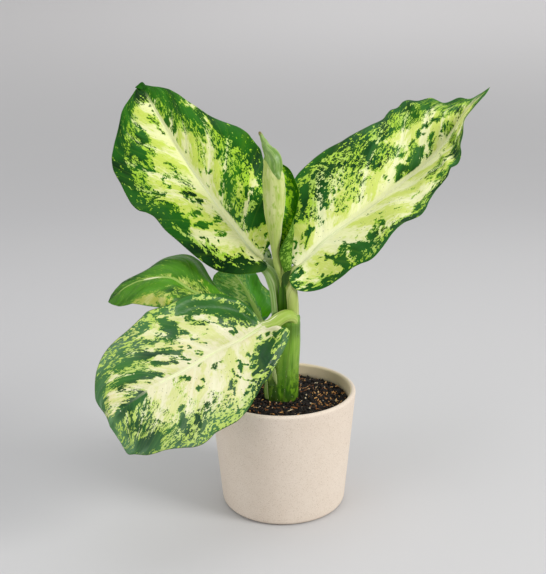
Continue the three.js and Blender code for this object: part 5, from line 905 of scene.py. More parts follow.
def a_form(bl):
    a = ruffle(
        bl, ((0, 0), (0.12, 0.8), (0.3, -1.0), (0.42, 1.2), (0.52, -1.2), (0.66, 0.6), (0.85, -0.8), (1, 0)),
        ((0, 0), (0.15, 0.6), (0.32, -0.8), (0.5, 1.0), (0.66, -1.4), (0.78, 0.9), (0.9, -0.6), (1, 0)), 0.45,
    )
    return a + crease(bl, 1, ((0.3, 0.5), (0.5, 0.62), (0.8, 0.6)), 12.0, 1.2) + crease(bl, -1, ((0.2, 0.55), (0.5, 0.6), (0.8, 0.6)), 12.0, 1.2)


def b_form(bl):
    return ruffle(
        bl,
        ((0, 0), (0.2, 0.5), (0.4, -0.6), (0.6, 0.8), (0.7, -0.8), (0.762, 1.2), (0.797, -1.3), (0.826, 1.5), (0.852, -1.4), (0.886, 1.4), (0.93, -0.6), (1, 0)),
        ((0, 0), (0.12, 0.6), (0.26, -0.9), (0.36, 1.2), (0.44, -1.7), (0.52, 2.0), (0.59, -2.1), (0.65, 2.1), (0.697, -2.3), (0.74, 2.3), (0.81, -1.2), (0.86, 0.7), (0.93, -0.4), (1, 0)), 0.5,
    )


def c_form(bl):
    return ruffle(bl, ((0, 0), (0.3, 0.7), (0.5, -0.7), (0.75, 0.8), (1, 0)), ((0, 0), (0.3, -0.6), (0.6, 0.8), (0.85, -0.6), (1, 0)), 0.5)


def a_hook(build, bl):
    """The tip stands up in a small dark flap that is turned over to a point at the side."""
    f = bl.face[-4]
    for path, rad in (
        ([[-127.7, 105.2, 354.4], [-127.3, 104.6, 358.5], [-126.9, 104.2, 361.8], [-126.7, 104.0, 364.3], [-126.5, 103.8, 366.2], [-126.4, 103.7, 367.6]], [3.0, 3.7, 4.1, 3.7, 2.5, 0.5]),
        ([[-126.1, 103.9, 362.3], [-128.4, 103.4, 363.3], [-130.5, 103.0, 363.3], [-133.0, 102.8, 362.5]], [2.2, 2.4, 1.6, 0.25]),
    ):
        path = np.array(path)
        q = np.r_[0, np.cumsum(np.linalg.norm(np.diff(path, axis=0), axis=1))]
        x = np.linspace(0, q[-1], 36)
        c, r = cubic(q, path, x), np.maximum(cubic(q, np.array(rad), x), 0.2)
        tan, side, up = transport(c, f)
        th = np.linspace(0, 2 * math.pi, 24, endpoint=False)
        sec = np.stack([np.cos(th)[None] * r[:, None], np.sin(th)[None] * r[:, None] * 0.24 + 0.28 * r[:, None] * (np.cos(th)[None] ** 2 - 0.4)], -1)
        verts, faces = loft(c, side, up, sec)
        build.add(verts, faces, 0, np.tile([[0.955, 0.99]], (len(verts), 1)), ink=1.0, dm=22.0, dc=20.0, vein=0.4, lt=0.97, la=0.5)


def inner_wall(build, p, rad, first, squash, dish, pt0, k=36, n=60):
    """A closed shallow shell along a line, hollowed on its upper side, painted dark all over as shade: its pa and pt
    fall in the stalk's painted groove shade.
    """
    p, rad = np.array(p, float), np.array(rad, float)
    q = np.r_[0, np.cumsum(np.linalg.norm(np.diff(p, axis=0), axis=1))]
    x = np.linspace(0, q[-1], n)
    c, r = cubic(q, p, x), np.maximum(cubic(q, rad, x), 0.15)
    tan, side, up = transport(c, first)
    th = np.linspace(0, 2 * math.pi, k, endpoint=False)
    cut = np.where(np.sin(th) > 0, dish * np.maximum(0, 1 - (np.abs(np.cos(th)) / 0.92) ** 2), 0)
    sec = np.stack([np.cos(th)[None] * r[:, None], (np.sin(th) - cut)[None] * r[:, None] * squash], -1)
    verts, faces = loft(c, side, up, sec)
    uv = np.stack([np.full(len(verts), 0.962), np.r_[np.repeat(pt0 + 0.1 * x / q[-1], k), pt0, pt0 + 0.1]], -1)
    build.add(
        verts, faces, 2, uv, pt=np.r_[np.repeat(pt0 + 0.1 * x / q[-1], k), pt0, pt0 + 0.1],
        pa=np.r_[np.tile(0.25 + 0.105 * np.cos(th), n), 0.25, 0.25],
    )


def right_sheath(build, bl):
    """The far wall of the right leaf's sheath between the two stalks, and the mouth of the sheath under the blade's
    lobe: dark sheets painted as the shade inside the sheath."""
    inner_wall(
        build, [[0.8, 5.0, 162], [0.8, 5.0, 176], [1.3, 5.0, 188], [1.2, 4.8, 195], [0.4, 4.6, 201], [-0.4, 4.4, 206], [-0.6, 4.4, 209.5]],
        [5.2, 5.2, 4.7, 3.9, 3.2, 2.3, 0.6], (0.1, -1, 0), 0.5, 0.5, 0.1,
    )
    inner_wall(
        build, [[7.7, -6.3, 215.6], [6.2, -6.3, 214.2], [4.6, -6.3, 212.5], [3.0, -6.3, 209.8], [2.6, -6.3, 207.2], [2.7, -6.3, 204.6], [2.8, -6.3, 201.9], [2.9, -6.3, 200.5]],
        [0.3, 1.5, 2.4, 3.1, 3.1, 2.3, 1.1, 0.2], (0, -1, -0.1), 0.3, 0.9, 0.02,
    )


SPECKLED = dict(dark=rgb(2, 42, 4), mid=rgb(28, 94, 14), vivid=rgb(56, 132, 6))
front_skin = leaf_face("leaf_front_upper", cream=rgb(222, 219, 184), tint=rgb(204, 209, 138), lime=rgb(160, 194, 66), dark=rgb(12, 58, 24), mid=rgb(38, 92, 36), vivid=rgb(60, 124, 24), rough=0.36, vivid_amount=0.4, painted_sheen=0.42, tan=0.3, rib_width=(2.6, 0.4), seed=1.0, rib=rgb(226, 226, 192), spec=0.24, rib_fade=(0.5, 0.85))
front_under = leaf_face("leaf_front_under", cream=rgb(206, 214, 156), tint=rgb(186, 202, 124), lime=rgb(150, 180, 80), dark=rgb(52, 92, 40), mid=rgb(76, 118, 52), vivid=rgb(90, 140, 50), rough=0.5, under=True, seed=1.0)
bright_skin = leaf_face("leaf_speckled_upper", cream=rgb(230, 233, 170), tint=rgb(196, 215, 90), lime=rgb(150, 200, 34), rough=0.37, vivid_amount=0.42, dots=1.5, rib_width=(4.8, 1.0), seed=2.0, rib=rgb(232, 236, 182), **SPECKLED)
bright_skin_b = leaf_face("leaf_speckled_upper_b", cream=rgb(236, 238, 184), tint=rgb(206, 220, 110), lime=rgb(156, 202, 42), rough=0.37, vivid_amount=0.42, dots=1.25, painted_sheen=0.1, rib_width=(4.2, 0.9), seed=3.0, rib=rgb(236, 238, 196), dark=rgb(6, 48, 14), mid=rgb(34, 94, 32), vivid=rgb(56, 128, 12))
bright_under = leaf_face("leaf_speckled_under", cream=rgb(200, 210, 134), tint=rgb(176, 196, 96), lime=rgb(146, 180, 60), dark=rgb(44, 88, 32), mid=rgb(68, 114, 44), vivid=rgb(80, 136, 40), rough=0.5, under=True, seed=2.0)
dark_skin = leaf_face("leaf_dark_upper", cream=rgb(208, 212, 120), tint=rgb(190, 200, 84), lime=rgb(126, 172, 36), dark=rgb(18, 76, 2), mid=rgb(70, 128, 20), vivid=rgb(80, 148, 4), rough=0.34, vivid_amount=0.8, rib=rgb(150, 186, 92), rib_width=(1.5, 0.5), seed=4.0, vein_tone=0.2, veins_in_dark=0.12, dots=0.3, spec=0.3, edge=0.12)
dark_under = leaf_face("leaf_dark_under", cream=rgb(180, 192, 106), tint=rgb(160, 180, 80), lime=rgb(140, 172, 54), dark=rgb(82, 124, 40), mid=rgb(108, 148, 52), vivid=rgb(110, 156, 50), rough=0.5, under=True, seed=4.0)
# painted light: these colours are lighter than the leaf's own, standing for light that comes through the leaf and
# lifting the shade the leaves above cast on it
back_skin = leaf_face("leaf_back_upper", cream=rgb(214, 238, 150), tint=rgb(186, 222, 116), lime=rgb(164, 214, 92), dark=rgb(92, 150, 92), mid=rgb(112, 180, 96), vivid=rgb(98, 188, 16), rough=0.38, vivid_amount=0.45, rib=rgb(186, 222, 118), rib_width=(2.2, 0.6), edge=0.16, seed=5.0, speckle=0.5, vein_tone=0.5, veins_in_dark=0.2, dots=0.3, strong=True)
small_skin = leaf_face("leaf_small_upper", cream=rgb(226, 236, 214), tint=rgb(206, 224, 182), lime=rgb(150, 190, 96), dark=rgb(60, 104, 70), mid=rgb(84, 126, 86), vivid=rgb(80, 134, 60), rough=0.42, rib=rgb(220, 230, 200), rib_width=(1.5, 0.5), seed=6.0, speckle=0.6)
stalk_pale = stalk_skin("petiole_pale", pale=rgb(188, 202, 116), green=rgb(152, 180, 74), deep=rgb(116, 150, 42), rim_highlights=((0.17, 0.3, 0.5, 0.85), (0.6, 0.3, 0.4, 0.7)))
stalk_right = stalk_skin("petiole_right", pale=rgb(184, 194, 118), green=rgb(158, 176, 86), deep=rgb(120, 148, 50), groove_shade=1.0)
stalk_green = stalk_skin("petiole_green", pale=rgb(140, 178, 92), green=rgb(100, 150, 44), deep=rgb(72, 120, 28))
stalk_cool = stalk_skin("petiole_cool", pale=rgb(178, 206, 138), green=rgb(132, 170, 76), deep=rgb(92, 136, 44), groove_shade=0.9, rim_highlights=((0.098, -0.1, 0.36, 0.4), (0.402, -0.1, 0.36, 0.4)))

RIB = ((0.0, 4.3), (0.12, 3.3), (0.35, 2.4), (0.62, 1.8), (0.9, 1.0))
RIB_SMALL = ((0.0, 2.7), (0.12, 2.2), (0.35, 1.7), (0.62, 1.3), (0.9, 0.8))

open_leaf(
    "leaf_front_left", (210, 124), 11,
    (((0, 1.5), (0.05, 2.2), (0.2, 3.0), (0.35, 3.6), (0.5, 4.5), (0.62, 7), (0.75, 8.5), (0.9, 9), (1, 10)),
     ((0, 3), (0.06, 4), (0.16, 9), (0.3, 10), (0.45, 7.5), (0.6, 5), (0.75, 7), (0.9, 8), (1, 9))),
    [front_skin, front_under, stalk_pale],
    dict(free=[[8.0, 1.0, 160.0, 4.2], [8.7, -1.6, 166.0, 4.8], [8.9, -4.6, 171.6, 5.1], [7.0, -8.0, 175.2, 5.3], [3.4, -11.3, 176.8, 5.2], [-1.4, -14.0, 175.6, 5.1], [-5.8, -16.2, 173.2, 5.2], [-9.6, -18.0, 171.0, 5.1]],
         radii_at=((0.0, 4.4), (0.1, 3.5), (0.35, 2.4), (0.62, 1.8), (0.9, 1.0)), first_up=(0.8, -0.1, 0.8), grooves=((0, 0.0), (0.5, 0.0), (0.85, 0.12), (1, 0.0))),
    extra=d_form, soft=(8.0, 9.0),
)
open_leaf(
    "leaf_upper_left", (220, 128), 12,
    (((0, 7), (0.06, 8.5), (0.15, 9.5), (0.3, 8.5), (0.42, 8), (0.5, 10), (0.62, 13), (0.75, 14), (0.87, 12.5), (0.95, 12), (1, 12)),
     ((0, 1.0), (0.06, 1), (0.14, 1.5), (0.24, 4), (0.34, 11), (0.5, 17), (0.62, 18), (0.72, 15), (0.8, 17), (0.88, 18), (0.95, 14), (1, 12))),
    [bright_skin, bright_under, stalk_cool],
    dict(free=[[-5.0, 5.4, 160, 4.0], [-5.4, 5.6, 174, 4.3], [-6.0, 6.2, 184, 4.2], [-6.7, 7.2, 193.4, 4.6], [-7.6, 8.6, 202.2, 5.9], [-11.2, 10.2, 210.0, 5.2]], radii_at=((0.0, 4.0), (0.12, 3.2), (0.35, 2.4), (0.62, 1.8), (0.9, 1.0)), first_up=(1.0, -0.25, 0), grooves=((0, 0.15), (0.35, 0.1), (0.6, 0.0), (1, 0.0))),
    extra=a_form, hook=a_hook, soft=(7.0, 11.5),
)
open_leaf(
    "leaf_upper_right", (230, 124), 13,
    (((0, 0.8), (0.07, 1), (0.14, 3.5), (0.25, 7), (0.38, 8), (0.5, 7), (0.65, 6.5), (0.8, 7), (0.9, 6), (1, 6)),
     ((0, 3.0), (0.08, 2.2), (0.2, 1.6), (0.32, 4.0), (0.42, 3.2), (0.5, 4.5), (0.6, 3), (0.7, 4.5), (0.78, 5), (0.86, 3), (1, 4))),
    [bright_skin_b, bright_under, stalk_right],
    dict(free=[[9.3, -0.6, 160, 4.85], [9.5, -0.6, 176, 4.9], [9.1, -0.6, 187, 5.05], [8.4, -0.5, 193, 5.35], [7.8, 0.0, 199, 5.8], [7.7, 1.0, 204.5, 6.1], [9.8, 2.4, 210, 5.2]], radii_at=((0.0, 4.0), (0.12, 3.2), (0.35, 2.4), (0.62, 1.8), (0.9, 1.0)), first_up=(-0.7, 0.7, 0), grooves=((0, 0.1), (0.5, 0.1), (0.8, 0.0), (1, 0.0))),
    extra=b_form, hook=right_sheath, soft=(12.0, 7.0),
)
open_leaf(
    "leaf_left", (150, 84), 14, (((0, 99), (1, 99)), ((0, 99), (1, 99))), [dark_skin, dark_under, stalk_green],
    dict(free=[[-4, 3, 130, 3.0], [-8, 3, 138, 3.4], [-14.5, 3, 148, 4], [-21, 1.4, 162, 4]], radii_at=RIB_SMALL, first_up=(-0.2, -0.2, 1), show=0.4),
    extra=c_form,
)
open_leaf(
    "leaf_back_left", (100, 64), 15, (((0, 0), (1, 0)), ((0, 0), (1, 0))), [back_skin, dark_under, stalk_green],
    dict(free=[[-3, 7, 128, 3.0], [-6, 8, 136, 3.2], [-10, 12, 145, 3.8], [-14.5, 13.4, 154, 3.6]], radii_at=RIB_SMALL, first_up=(0.3, -0.9, 0), show=0.0),
    base=0.72, thick=0.5,
)
open_leaf(
    "leaf_back_small", (80, 52), 16, (((0, 0.4), (1, 1)), ((0, 0.4), (1, 1))), [small_skin, dark_under, stalk_green],
    dict(free=[[0, 10, 158, 2.4], [-2, 15, 168, 2.8], [-4.5, 19.5, 186, 2.8], [-6.4, 22, 202, 2.6]], radii_at=RIB_SMALL, first_up=(0, -1, 0)),
    base=0.05, thick=0.5,
)


# --------------------------------------------------------- unfurling leaf
ROLLED = np.array([
    [-1.2, 3.6, 198.2, 0.30],
    [-1.2, 2.8, 201.2, 0.70],
    [-1.2, 1.6, 205.4, 1.35],
    [-1.7, 0.2, 210.6, 2.50],
    [-2.7, -0.2, 215.4, 3.15],
    [-3.8, 0.2, 220.6, 3.50],
    [-4.6, 0.8, 225.7, 3.50],
    [-5.1, 1.2, 230.5, 3.70],
    [-5.4, 1.8, 237.8, 4.50],
    [-5.4, 2.1, 246.8, 5.75],
    [-5.8, 2.0, 255.9, 7.19],
    [-5.8, 2.0, 262.5, 8.36],
    [-5.7, 2.0, 273.5, 9.25],
    [-5.9, 2.0, 281.0, 9.52],
    [-6.2, 2.0, 289.6, 9.44],
    [-6.5, 2.0, 295.0, 9.09],
    [-6.9, 2.0, 299.2, 8.24],
    [-6.7, 2.0, 302.5, 7.98],
    [-6.8, 2.1, 306.7, 7.81],
    [-7.3, 2.3, 310.5, 7.13],
    [-8.5, 2.6, 313.6, 5.97],
    [-10.5, 2.9, 316.5, 4.47],
    [-12.4, 3.3, 319.8, 3.39],
    [-13.6, 3.5, 323.1, 2.65],
    [-15.1, 3.8, 325.9, 1.98],
    [-16.1, 4.1, 328.4, 1.57],
    [-17.2, 4.3, 330.2, 1.40],
    [-17.7, 4.4, 331.6, 0.74],
])
OPEN = np.array([
    [[-0.6, 3.0, 211.2], [2.6, 4.6, 211.0], [6.6, 3.0, 212.6], [5.2, -1.4, 212.6], [2.4, -3.4, 212.4]],
    [[-1.6, 3.6, 219.5], [3.2, 6.5, 218.9], [8.2, 3, 219.9], [5.4, -2.4, 220.2], [-0.8, -4.4, 221.0]],
    [[-2.3, 4.5, 230.1], [3.3, 8.5, 229.9], [8.8, 4, 230.9], [3.6, -3.5, 232.8], [-2, -4.5, 231.8]],
    [[-3.1, 5, 241.4], [3.4, 10, 240.1], [9.6, 5.5, 241.1], [7, -1.5, 242.7], [3.2, -3.5, 243.2]],
    [[-3.4, 6, 251.6], [3.5, 12, 250.2], [9.7, 9, 250.8], [9.8, 4, 251.9], [8.4, 0, 253.6]],
    [[-2.9, 7, 260.9], [3.1, 13, 259.7], [8.3, 13, 259.6], [10.8, 11, 260], [12, 7, 261.2]],
    [[-2, 7, 271.2], [3.2, 14, 269.9], [8.4, 15, 269.6], [11.8, 14, 269.8], [14.3, 11, 270.3]],
    [[-1.9, 7, 282.3], [3.3, 14, 281.1], [8.4, 15, 280.9], [12.2, 14, 281], [14.7, 12, 280.5]],
    [[-2.6, 6, 292.7], [1.6, 11, 291.8], [5.9, 13, 291.5], [9.3, 12, 291.6], [11.3, 11, 291.7]],
    [[-3.4, 5, 301.2], [-0.4, 8, 300.8], [2.1, 10, 300.4], [4.2, 10, 300.4], [5.9, 9, 300.5]],
    [[-6.2, 4, 305.6], [-4.6, 6, 305.4], [-3.0, 7, 305.3], [-1.6, 7.4, 305.2], [0.2, 7.6, 304.6]],
    [[-6.6, 3.4, 310.0]] * 5,
], float)


def rolled_skin():
    """Young leaf still rolled: pale, with bright rims, soft yellow-green streaks and a green hood."""
    m = Nodes("leaf_young_rolled", 0.42)
    pt, pa, rim, hood = m.attr("pt"), m.attr("pa"), m.attr("ink"), m.attr("rnd")
    ang = m.math("MULTIPLY", pa, 2 * math.pi)
    comb = m.n.new("ShaderNodeCombineXYZ")
    m.set(comb.inputs[0], m.math("MULTIPLY", m.math("COSINE", ang), 2.0))
    m.set(comb.inputs[1], m.math("MULTIPLY", m.math("SINE", ang), 2.0))
    m.set(comb.inputs[2], m.math("MULTIPLY", pt, 15.0))
    v = comb.outputs[0]
    soft = m.noise(m.stretch(v, 1.1, 1.1, 0.42), 1.0, 3.0, 0.55)
    streak = m.noise(m.stretch(v, 4.0, 4.0, 0.35), 1.2, 3.0, 0.6)
    patch = m.noise(m.stretch(v, 1.2, 1.2, 0.9), 1.5, 3.0, 0.55)
    colour = m.mix(m.step(soft, 0.36, 0.64), rgb(200, 208, 136), rgb(168, 188, 84))
    colour = m.mix(m.step(patch, 0.54, 0.68, 0.0, 0.8), colour, rgb(144, 178, 44))
    colour = m.mix(m.step(streak, 0.52, 0.74, 0.0, 0.26), colour, rgb(152, 180, 76))
    # the stalk below is greener
    colour = m.mix(m.step(pt, 0.28, 0.46, 0.8, 0.0), colour, m.mix(m.step(streak, 0.4, 0.66), rgb(168, 184, 92), rgb(132, 164, 60)))
    colour = m.mix(m.step(m.cells(m.stretch(v, 3.0, 3.0, 1.0), 1.8), 0.08, 0.16, 0.6, 0.0), colour, rgb(120, 160, 56))
    edge = m.math("ADD", hood, m.math("MULTIPLY", m.math("SUBTRACT", streak, 0.5), 0.3))
    green = m.mix(m.step(soft, 0.4, 0.6), rgb(84, 130, 30), rgb(120, 156, 70))
    green = m.mix(m.step(patch, 0.48, 0.64, 0.0, 0.6), green, rgb(152, 180, 108))
    green = m.mix(m.step(pt, 0.97, 0.995), green, rgb(108, 92, 40))
    colour = m.mix(m.step(edge, 0.3, 0.7, 0.0, 0.94), colour, green)
    colour = m.mix(m.math("MULTIPLY", rim, m.step(hood, 0.2, 0.6, 0.95, 0.25)), colour, rgb(238, 240, 206))
    h = m.math("ADD", m.math("MULTIPLY", streak, 0.9), m.math("MULTIPLY", m.noise(m.place(), 1800.0, 2.0), 0.25))
    return m.finish(colour, m.lin(soft, 0.3, 0.7, 0.36, 0.5), m.bump(h, 0.00025, 0.5))


def unfurling():
    build = Build(LEAF_FLOATS, LEAF_VECTORS)
    q = np.r_[0, np.cumsum(np.linalg.norm(np.diff(ROLLED[:, :3], axis=0), axis=1))]
    n, k = 230, 120
    x = np.linspace(0, q[-1], n)
    c, r = cubic(q, ROLLED[:, :3], x), np.maximum(cubic(q, ROLLED[:, 3], x), 0.22)
    tan, side, up = transport(c, (0, -1, 0))
    s = x / q[-1]
    z = c[:, 2]
    th = np.linspace(0, 2 * math.pi, k, endpoint=False)
    # angle 0.25 faces the viewer; the seam of the roll runs up the left and winds round toward the tip
    T = np.broadcast_to(th[None] / (2 * math.pi), (n, k))
    left = side[:, 0] < 0
    seam = 0.455 + 0.02 * np.sin(z / 17.0) if left.mean() > 0.5 else 0.045 + 0.02 * np.sin(z / 17.0)
    d = (T - seam[:, None]) % 1.0
    body = ease(226, 250, z)[:, None] * (1 - ease(304, 322, z))[:, None]
    lay = 1 + body * (0.055 - 0.11 * ease(0, 1, d)) * (1 - np.exp(-d / 0.012)) + body * (-0.055) * np.exp(-d / 0.012)
    other = (T - (seam[:, None] + (0.5 if not left.mean() > 0.5 else -0.43) + 0.03 * np.sin(z / 23.0 + 1)[:, None]) + 0.5) % 1.0 - 0.5
    lay = lay + body * 0.035 * np.exp(-((other / 0.018) ** 2)) + body * 0.02 * np.clip(-other * 3, 0, 1)
    # the hood: the green tip half folded over the front, standing a little proud
    out_dir = side[:, None] * np.cos(th)[None, :, None] + up[:, None] * np.sin(th)[None, :, None]
    across, behind = out_dir[..., 0], out_dir[..., 1] > 0
    low = np.interp(across, [-1.0, -0.85, -0.62, -0.3, 0.1, 0.42, 0.6, 0.8, 1.0], [313.5, 309.5, 307.8, 302.4, 297.0, 292.2, 294.0, 300.0, 304.0])
    low = np.where(behind, 306.0, low)
    low = (low + np.roll(low, 1, 1) + np.roll(low, -1, 1) + np.roll(low, 2, 1) + np.roll(low, -2, 1)) / 5
    hood = ease(-0.9, 1.1, z[:, None] - low)
    fold = np.exp(-(((across - 0.28 + (z[:, None] - 305) / 60.0) / 0.16) ** 2)) - 0.8 * np.exp(-(((across + 0.12 + (z[:, None] - 305) / 50.0) / 0.14) ** 2))
    lay = lay + 0.05 * hood * (1 - ease(312, 330, z))[:, None] + 0.07 * fold * hood * (1 - ease(316, 326, z))[:, None] + 0.012 * np.sin(T * 2 * math.pi * 3 + z[:, None] / 9.0) * body
    crease_line = (T - (0.25 + (0.06 if left.mean() > 0.5 else -0.06)) - (z[:, None] - 246) / 260.0)
    lay = lay + 0.02 * np.exp(-((crease_line / 0.02) ** 2)) * body * (1 - ease(262, 276, z))[:, None]
    sx = r[:, None] * lay
    sec = np.stack([np.cos(th)[None] * sx, np.sin(th)[None] * sx * 0.96], -1)
    verts, faces = loft(c, side, up, sec)
    rim = np.maximum(np.exp(-((np.minimum(d, 1 - d) / 0.03) ** 2)), np.exp(-((other / 0.026) ** 2))) * ease(228, 246, z)[:, None]
    pt = np.r_[np.repeat(s, k), 0, 1]
    uv = np.stack([np.r_[0.02 + 0.44 * np.tile(np.abs(2 * np.arange(k) / k - 1), n), 0.02, 0.02], 0.02 + 0.96 * pt], -1)
    build.add(verts, faces, 2, uv, pt=pt, pa=np.r_[np.tile(np.arange(k) / k, n), 0, 0], ink=np.r_[rim.ravel(), 0, 0], rnd=np.r_[hood.ravel(), 0, 1])
    # its sheath, which opens out under the flap and tucks in between the two stalks
    p = np.array([[2.4, 1.2, 222.0], [1.6, 0.0, 216.6], [0.2, -0.6, 212.6], [-0.9, 0.4, 208.8], [-1.2, 1.8, 205.0], [-1.2, 2.8, 202.0]])
    q2 = np.r_[0, np.cumsum(np.linalg.norm(np.diff(p, axis=0), axis=1))]
    x2 = np.linspace(0, q2[-1], 50)
    c2, r2 = cubic(q2, p, x2), cubic(q2, np.array([4.6, 6.0, 4.5, 2.5, 1.3, 0.4]), x2)
    _, side2, up2 = transport(c2, (0, -1, 0))
    th2 = np.linspace(0, 2 * math.pi, 36, endpoint=False)
    sec2 = np.stack([np.cos(th2)[None] * r2[:, None], np.sin(th2)[None] * np.minimum(r2, 2.1)[:, None] * 0.8], -1)
    v2, f2 = loft(c2, side2, up2, sec2)
    build.add(v2, f2, 2, np.tile([[0.48, 0.3]], (len(v2), 1)), pt=np.r_[np.repeat(0.16 - 0.1 * x2 / q2[-1], 36), 0.16, 0.06], pa=np.r_[np.tile(th2 / (2 * math.pi), 50), 0, 0])
    # the half that has opened
    st = np.linspace(0, 11, 12)
    u = np.linspace(0, 11, 130)
    w = np.linspace(0, 4, 44)
    rows = cubic(st, OPEN.reshape(12, -1), u).reshape(len(u), 5, 3)
    P = np.array([cubic(np.arange(5.0), row, w) for row in rows])
    P[-1] = P[-1].mean(0)
    du, dv = np.gradient(P, axis=0), np.gradient(P, axis=1)
    N = unit(np.cross(du, dv))
    N[-1] = N[-4]
    N[0] = N[2]
    tt = np.broadcast_to((u / 11)[:, None], P.shape[:2])
    aa = np.broadcast_to((w / 4)[None], P.shape[:2])
    wob = 0.35 * np.sin(tt * 40 + 2 * aa) * aa + 0.25 * np.sin(tt * 23 + 1.0)
    P = P + N * (wob * np.minimum(1, (1 - tt) * 6))[..., None]
    hgt = 107.0
    width = np.linalg.norm(np.diff(P, axis=1), axis=2).sum(1)[:, None]
    dc, dm = aa * width, np.minimum((1 - aa) * width, (1 - tt) * 60 + 0.0)
    phase = tt * 14 + aa * 3.0
    P = P - N * (0.22 * np.exp(-(((phase - np.round(phase)) / 0.15) ** 2)) * (1 - aa) * np.minimum(1, (1 - tt) * 8))[..., None]
    th2 = 0.5
    low_s = P + N * (th2 * (0.5 + 0.5 * np.minimum(1, dm / 3)))[..., None]
    nu, nv = P.shape[:2]
    a_idx = np.arange((nu - 1) * nv).reshape(nu - 1, nv)
    verts = np.vstack([P[:-1].reshape(-1, 3), P[-1, :1], low_s[:-1].reshape(-1, 3)])
    tip = (nu - 1) * nv
    b_idx = tip + 1 + a_idx
    faces, mat = [], []
    for ids, mt, rev in ((a_idx, 0, False), (b_idx, 1, True)):
        for i in range(nu - 2):
            for j in range(nv - 1):
                f = (ids[i, j], ids[i, j + 1], ids[i + 1, j + 1], ids[i + 1, j])
                faces.append(f[::-1] if rev else f)
                mat.append(mt)
        for j in range(nv - 1):
            f = (ids[nu - 2, j], ids[nu - 2, j + 1], tip)
            faces.append(f[::-1] if rev else f)
            mat.append(mt)
    for i in range(nu - 2):
        for j, rev in ((0, True), (nv - 1, False)):
            f = (a_idx[i, j], a_idx[i + 1, j], b_idx[i + 1, j], b_idx[i, j])
            faces.append(f if rev else f[::-1])
            mat.append(1)
    for j, rev in ((0, False), (nv - 1, True)):
        f = (a_idx[nu - 2, j], tip, b_idx[nu - 2, j])
        faces.append(f[::-1] if rev else f)
        mat.append(1)
    for j in range(nv - 1):
        faces.append((a_idx[0, j + 1], a_idx[0, j], b_idx[0, j], b_idx[0, j + 1]))
        mat.append(1)
    # which face is the upper one: the hollow side, toward the viewer in the open part
    mid = N[nu // 2 + 20, nv // 2]
    front_is_p = mid[1] > 0
    if not front_is_p:
        mat = [1 - q for q in mat]
    if shell_volume(verts, faces) < 0:
        faces = [f[::-1] for f in faces]

    def two(G):
        G = np.asarray(G, float).reshape(nu, nv, -1)
        return np.vstack([G[:-1].reshape(-1, G.shape[-1]), G[-1, :1], G[:-1].reshape(-1, G.shape[-1])])

    blot = np.maximum(0, 1 - np.abs(aa - 0.47 - 0.1 * np.sin(tt * 31)) / 0.16) * ease(0.35, 0.45, tt) * (1 - ease(0.82, 0.9, tt))
    blot = np.maximum(blot, np.maximum(0, 1 - np.abs(aa - 0.2) / 0.2) * ease(0.4, 0.5, tt) * (1 - ease(0.75, 0.85, tt)))
    # the lower part, seen from outside, is mottled, deep green by its free edge; beyond that edge it is painted
    # lighter, as painted light that lifts the shade inside the opening half
    flap = (1 - ease(0.3, 0.42, tt)) * (1 - ease(0.70, 0.95, aa) * 0.9)
    ink = 1.0 - np.maximum(0.66 * blot, 0.5 * flap)
    uv = two(np.stack([0.52 + 0.2 * aa, 0.02 + 0.96 * tt], -1))
    uv[len(uv) // 2 + 1:, 0] += 0.24
    build.add(
        verts, faces, mat, uv, flow=two(np.stack([tt * hgt + aa * 6, dc + tt * 20, 0 * tt], -1)), ink=two(ink), dm=two(dm + 0.2), dc=two(dc + 9),
        vein=two(phase), lt=two(tt), la=two(aa),
    )
    young_upper = leaf_face("leaf_young_upper", cream=rgb(176, 206, 60), tint=rgb(160, 200, 40), lime=rgb(140, 196, 16), dark=rgb(24, 88, 4), mid=rgb(60, 126, 10), vivid=rgb(76, 150, 2), rough=0.36, vivid_amount=0.7, rib_width=(0.1, 0.1), seed=7.0, vein_tone=0.1, veins_in_dark=0.1)
    young_under = leaf_face("leaf_young_under", cream=rgb(156, 190, 92), tint=rgb(136, 174, 70), lime=rgb(118, 160, 52), dark=rgb(42, 88, 4), mid=rgb(78, 122, 24), vivid=rgb(88, 132, 30), rough=0.4, vivid_amount=0.5, rib_width=(0.1, 0.1), seed=8.0, vein_tone=0.1, veins_in_dark=0.35)
    place(build.object("leaf_unfurling_finish", [young_upper, young_under, rolled_skin()]), "leaf_unfurling")


unfurling()


# -------------------------------------------------------------------- stem
STEM = np.array([
    [-1.1, 0, 84, 12.8], [-1.5, 0, 92, 14.3], [-1.5, 0, 98, 15.0], [-1.4, 0, 104, 14.9], [-1.0, 0, 112, 14.6], [-0.6, 0, 122, 14.5],
    [0.0, 0, 132, 14.3], [0.6, 0, 142, 14.1], [1.2, 0, 150, 13.8], [1.8, 0, 160, 13.2], [2.4, 0, 168, 12.6], [2.8, 0, 174.0, 11.6], [3.0, 0, 176.0, 9.5],
], float)


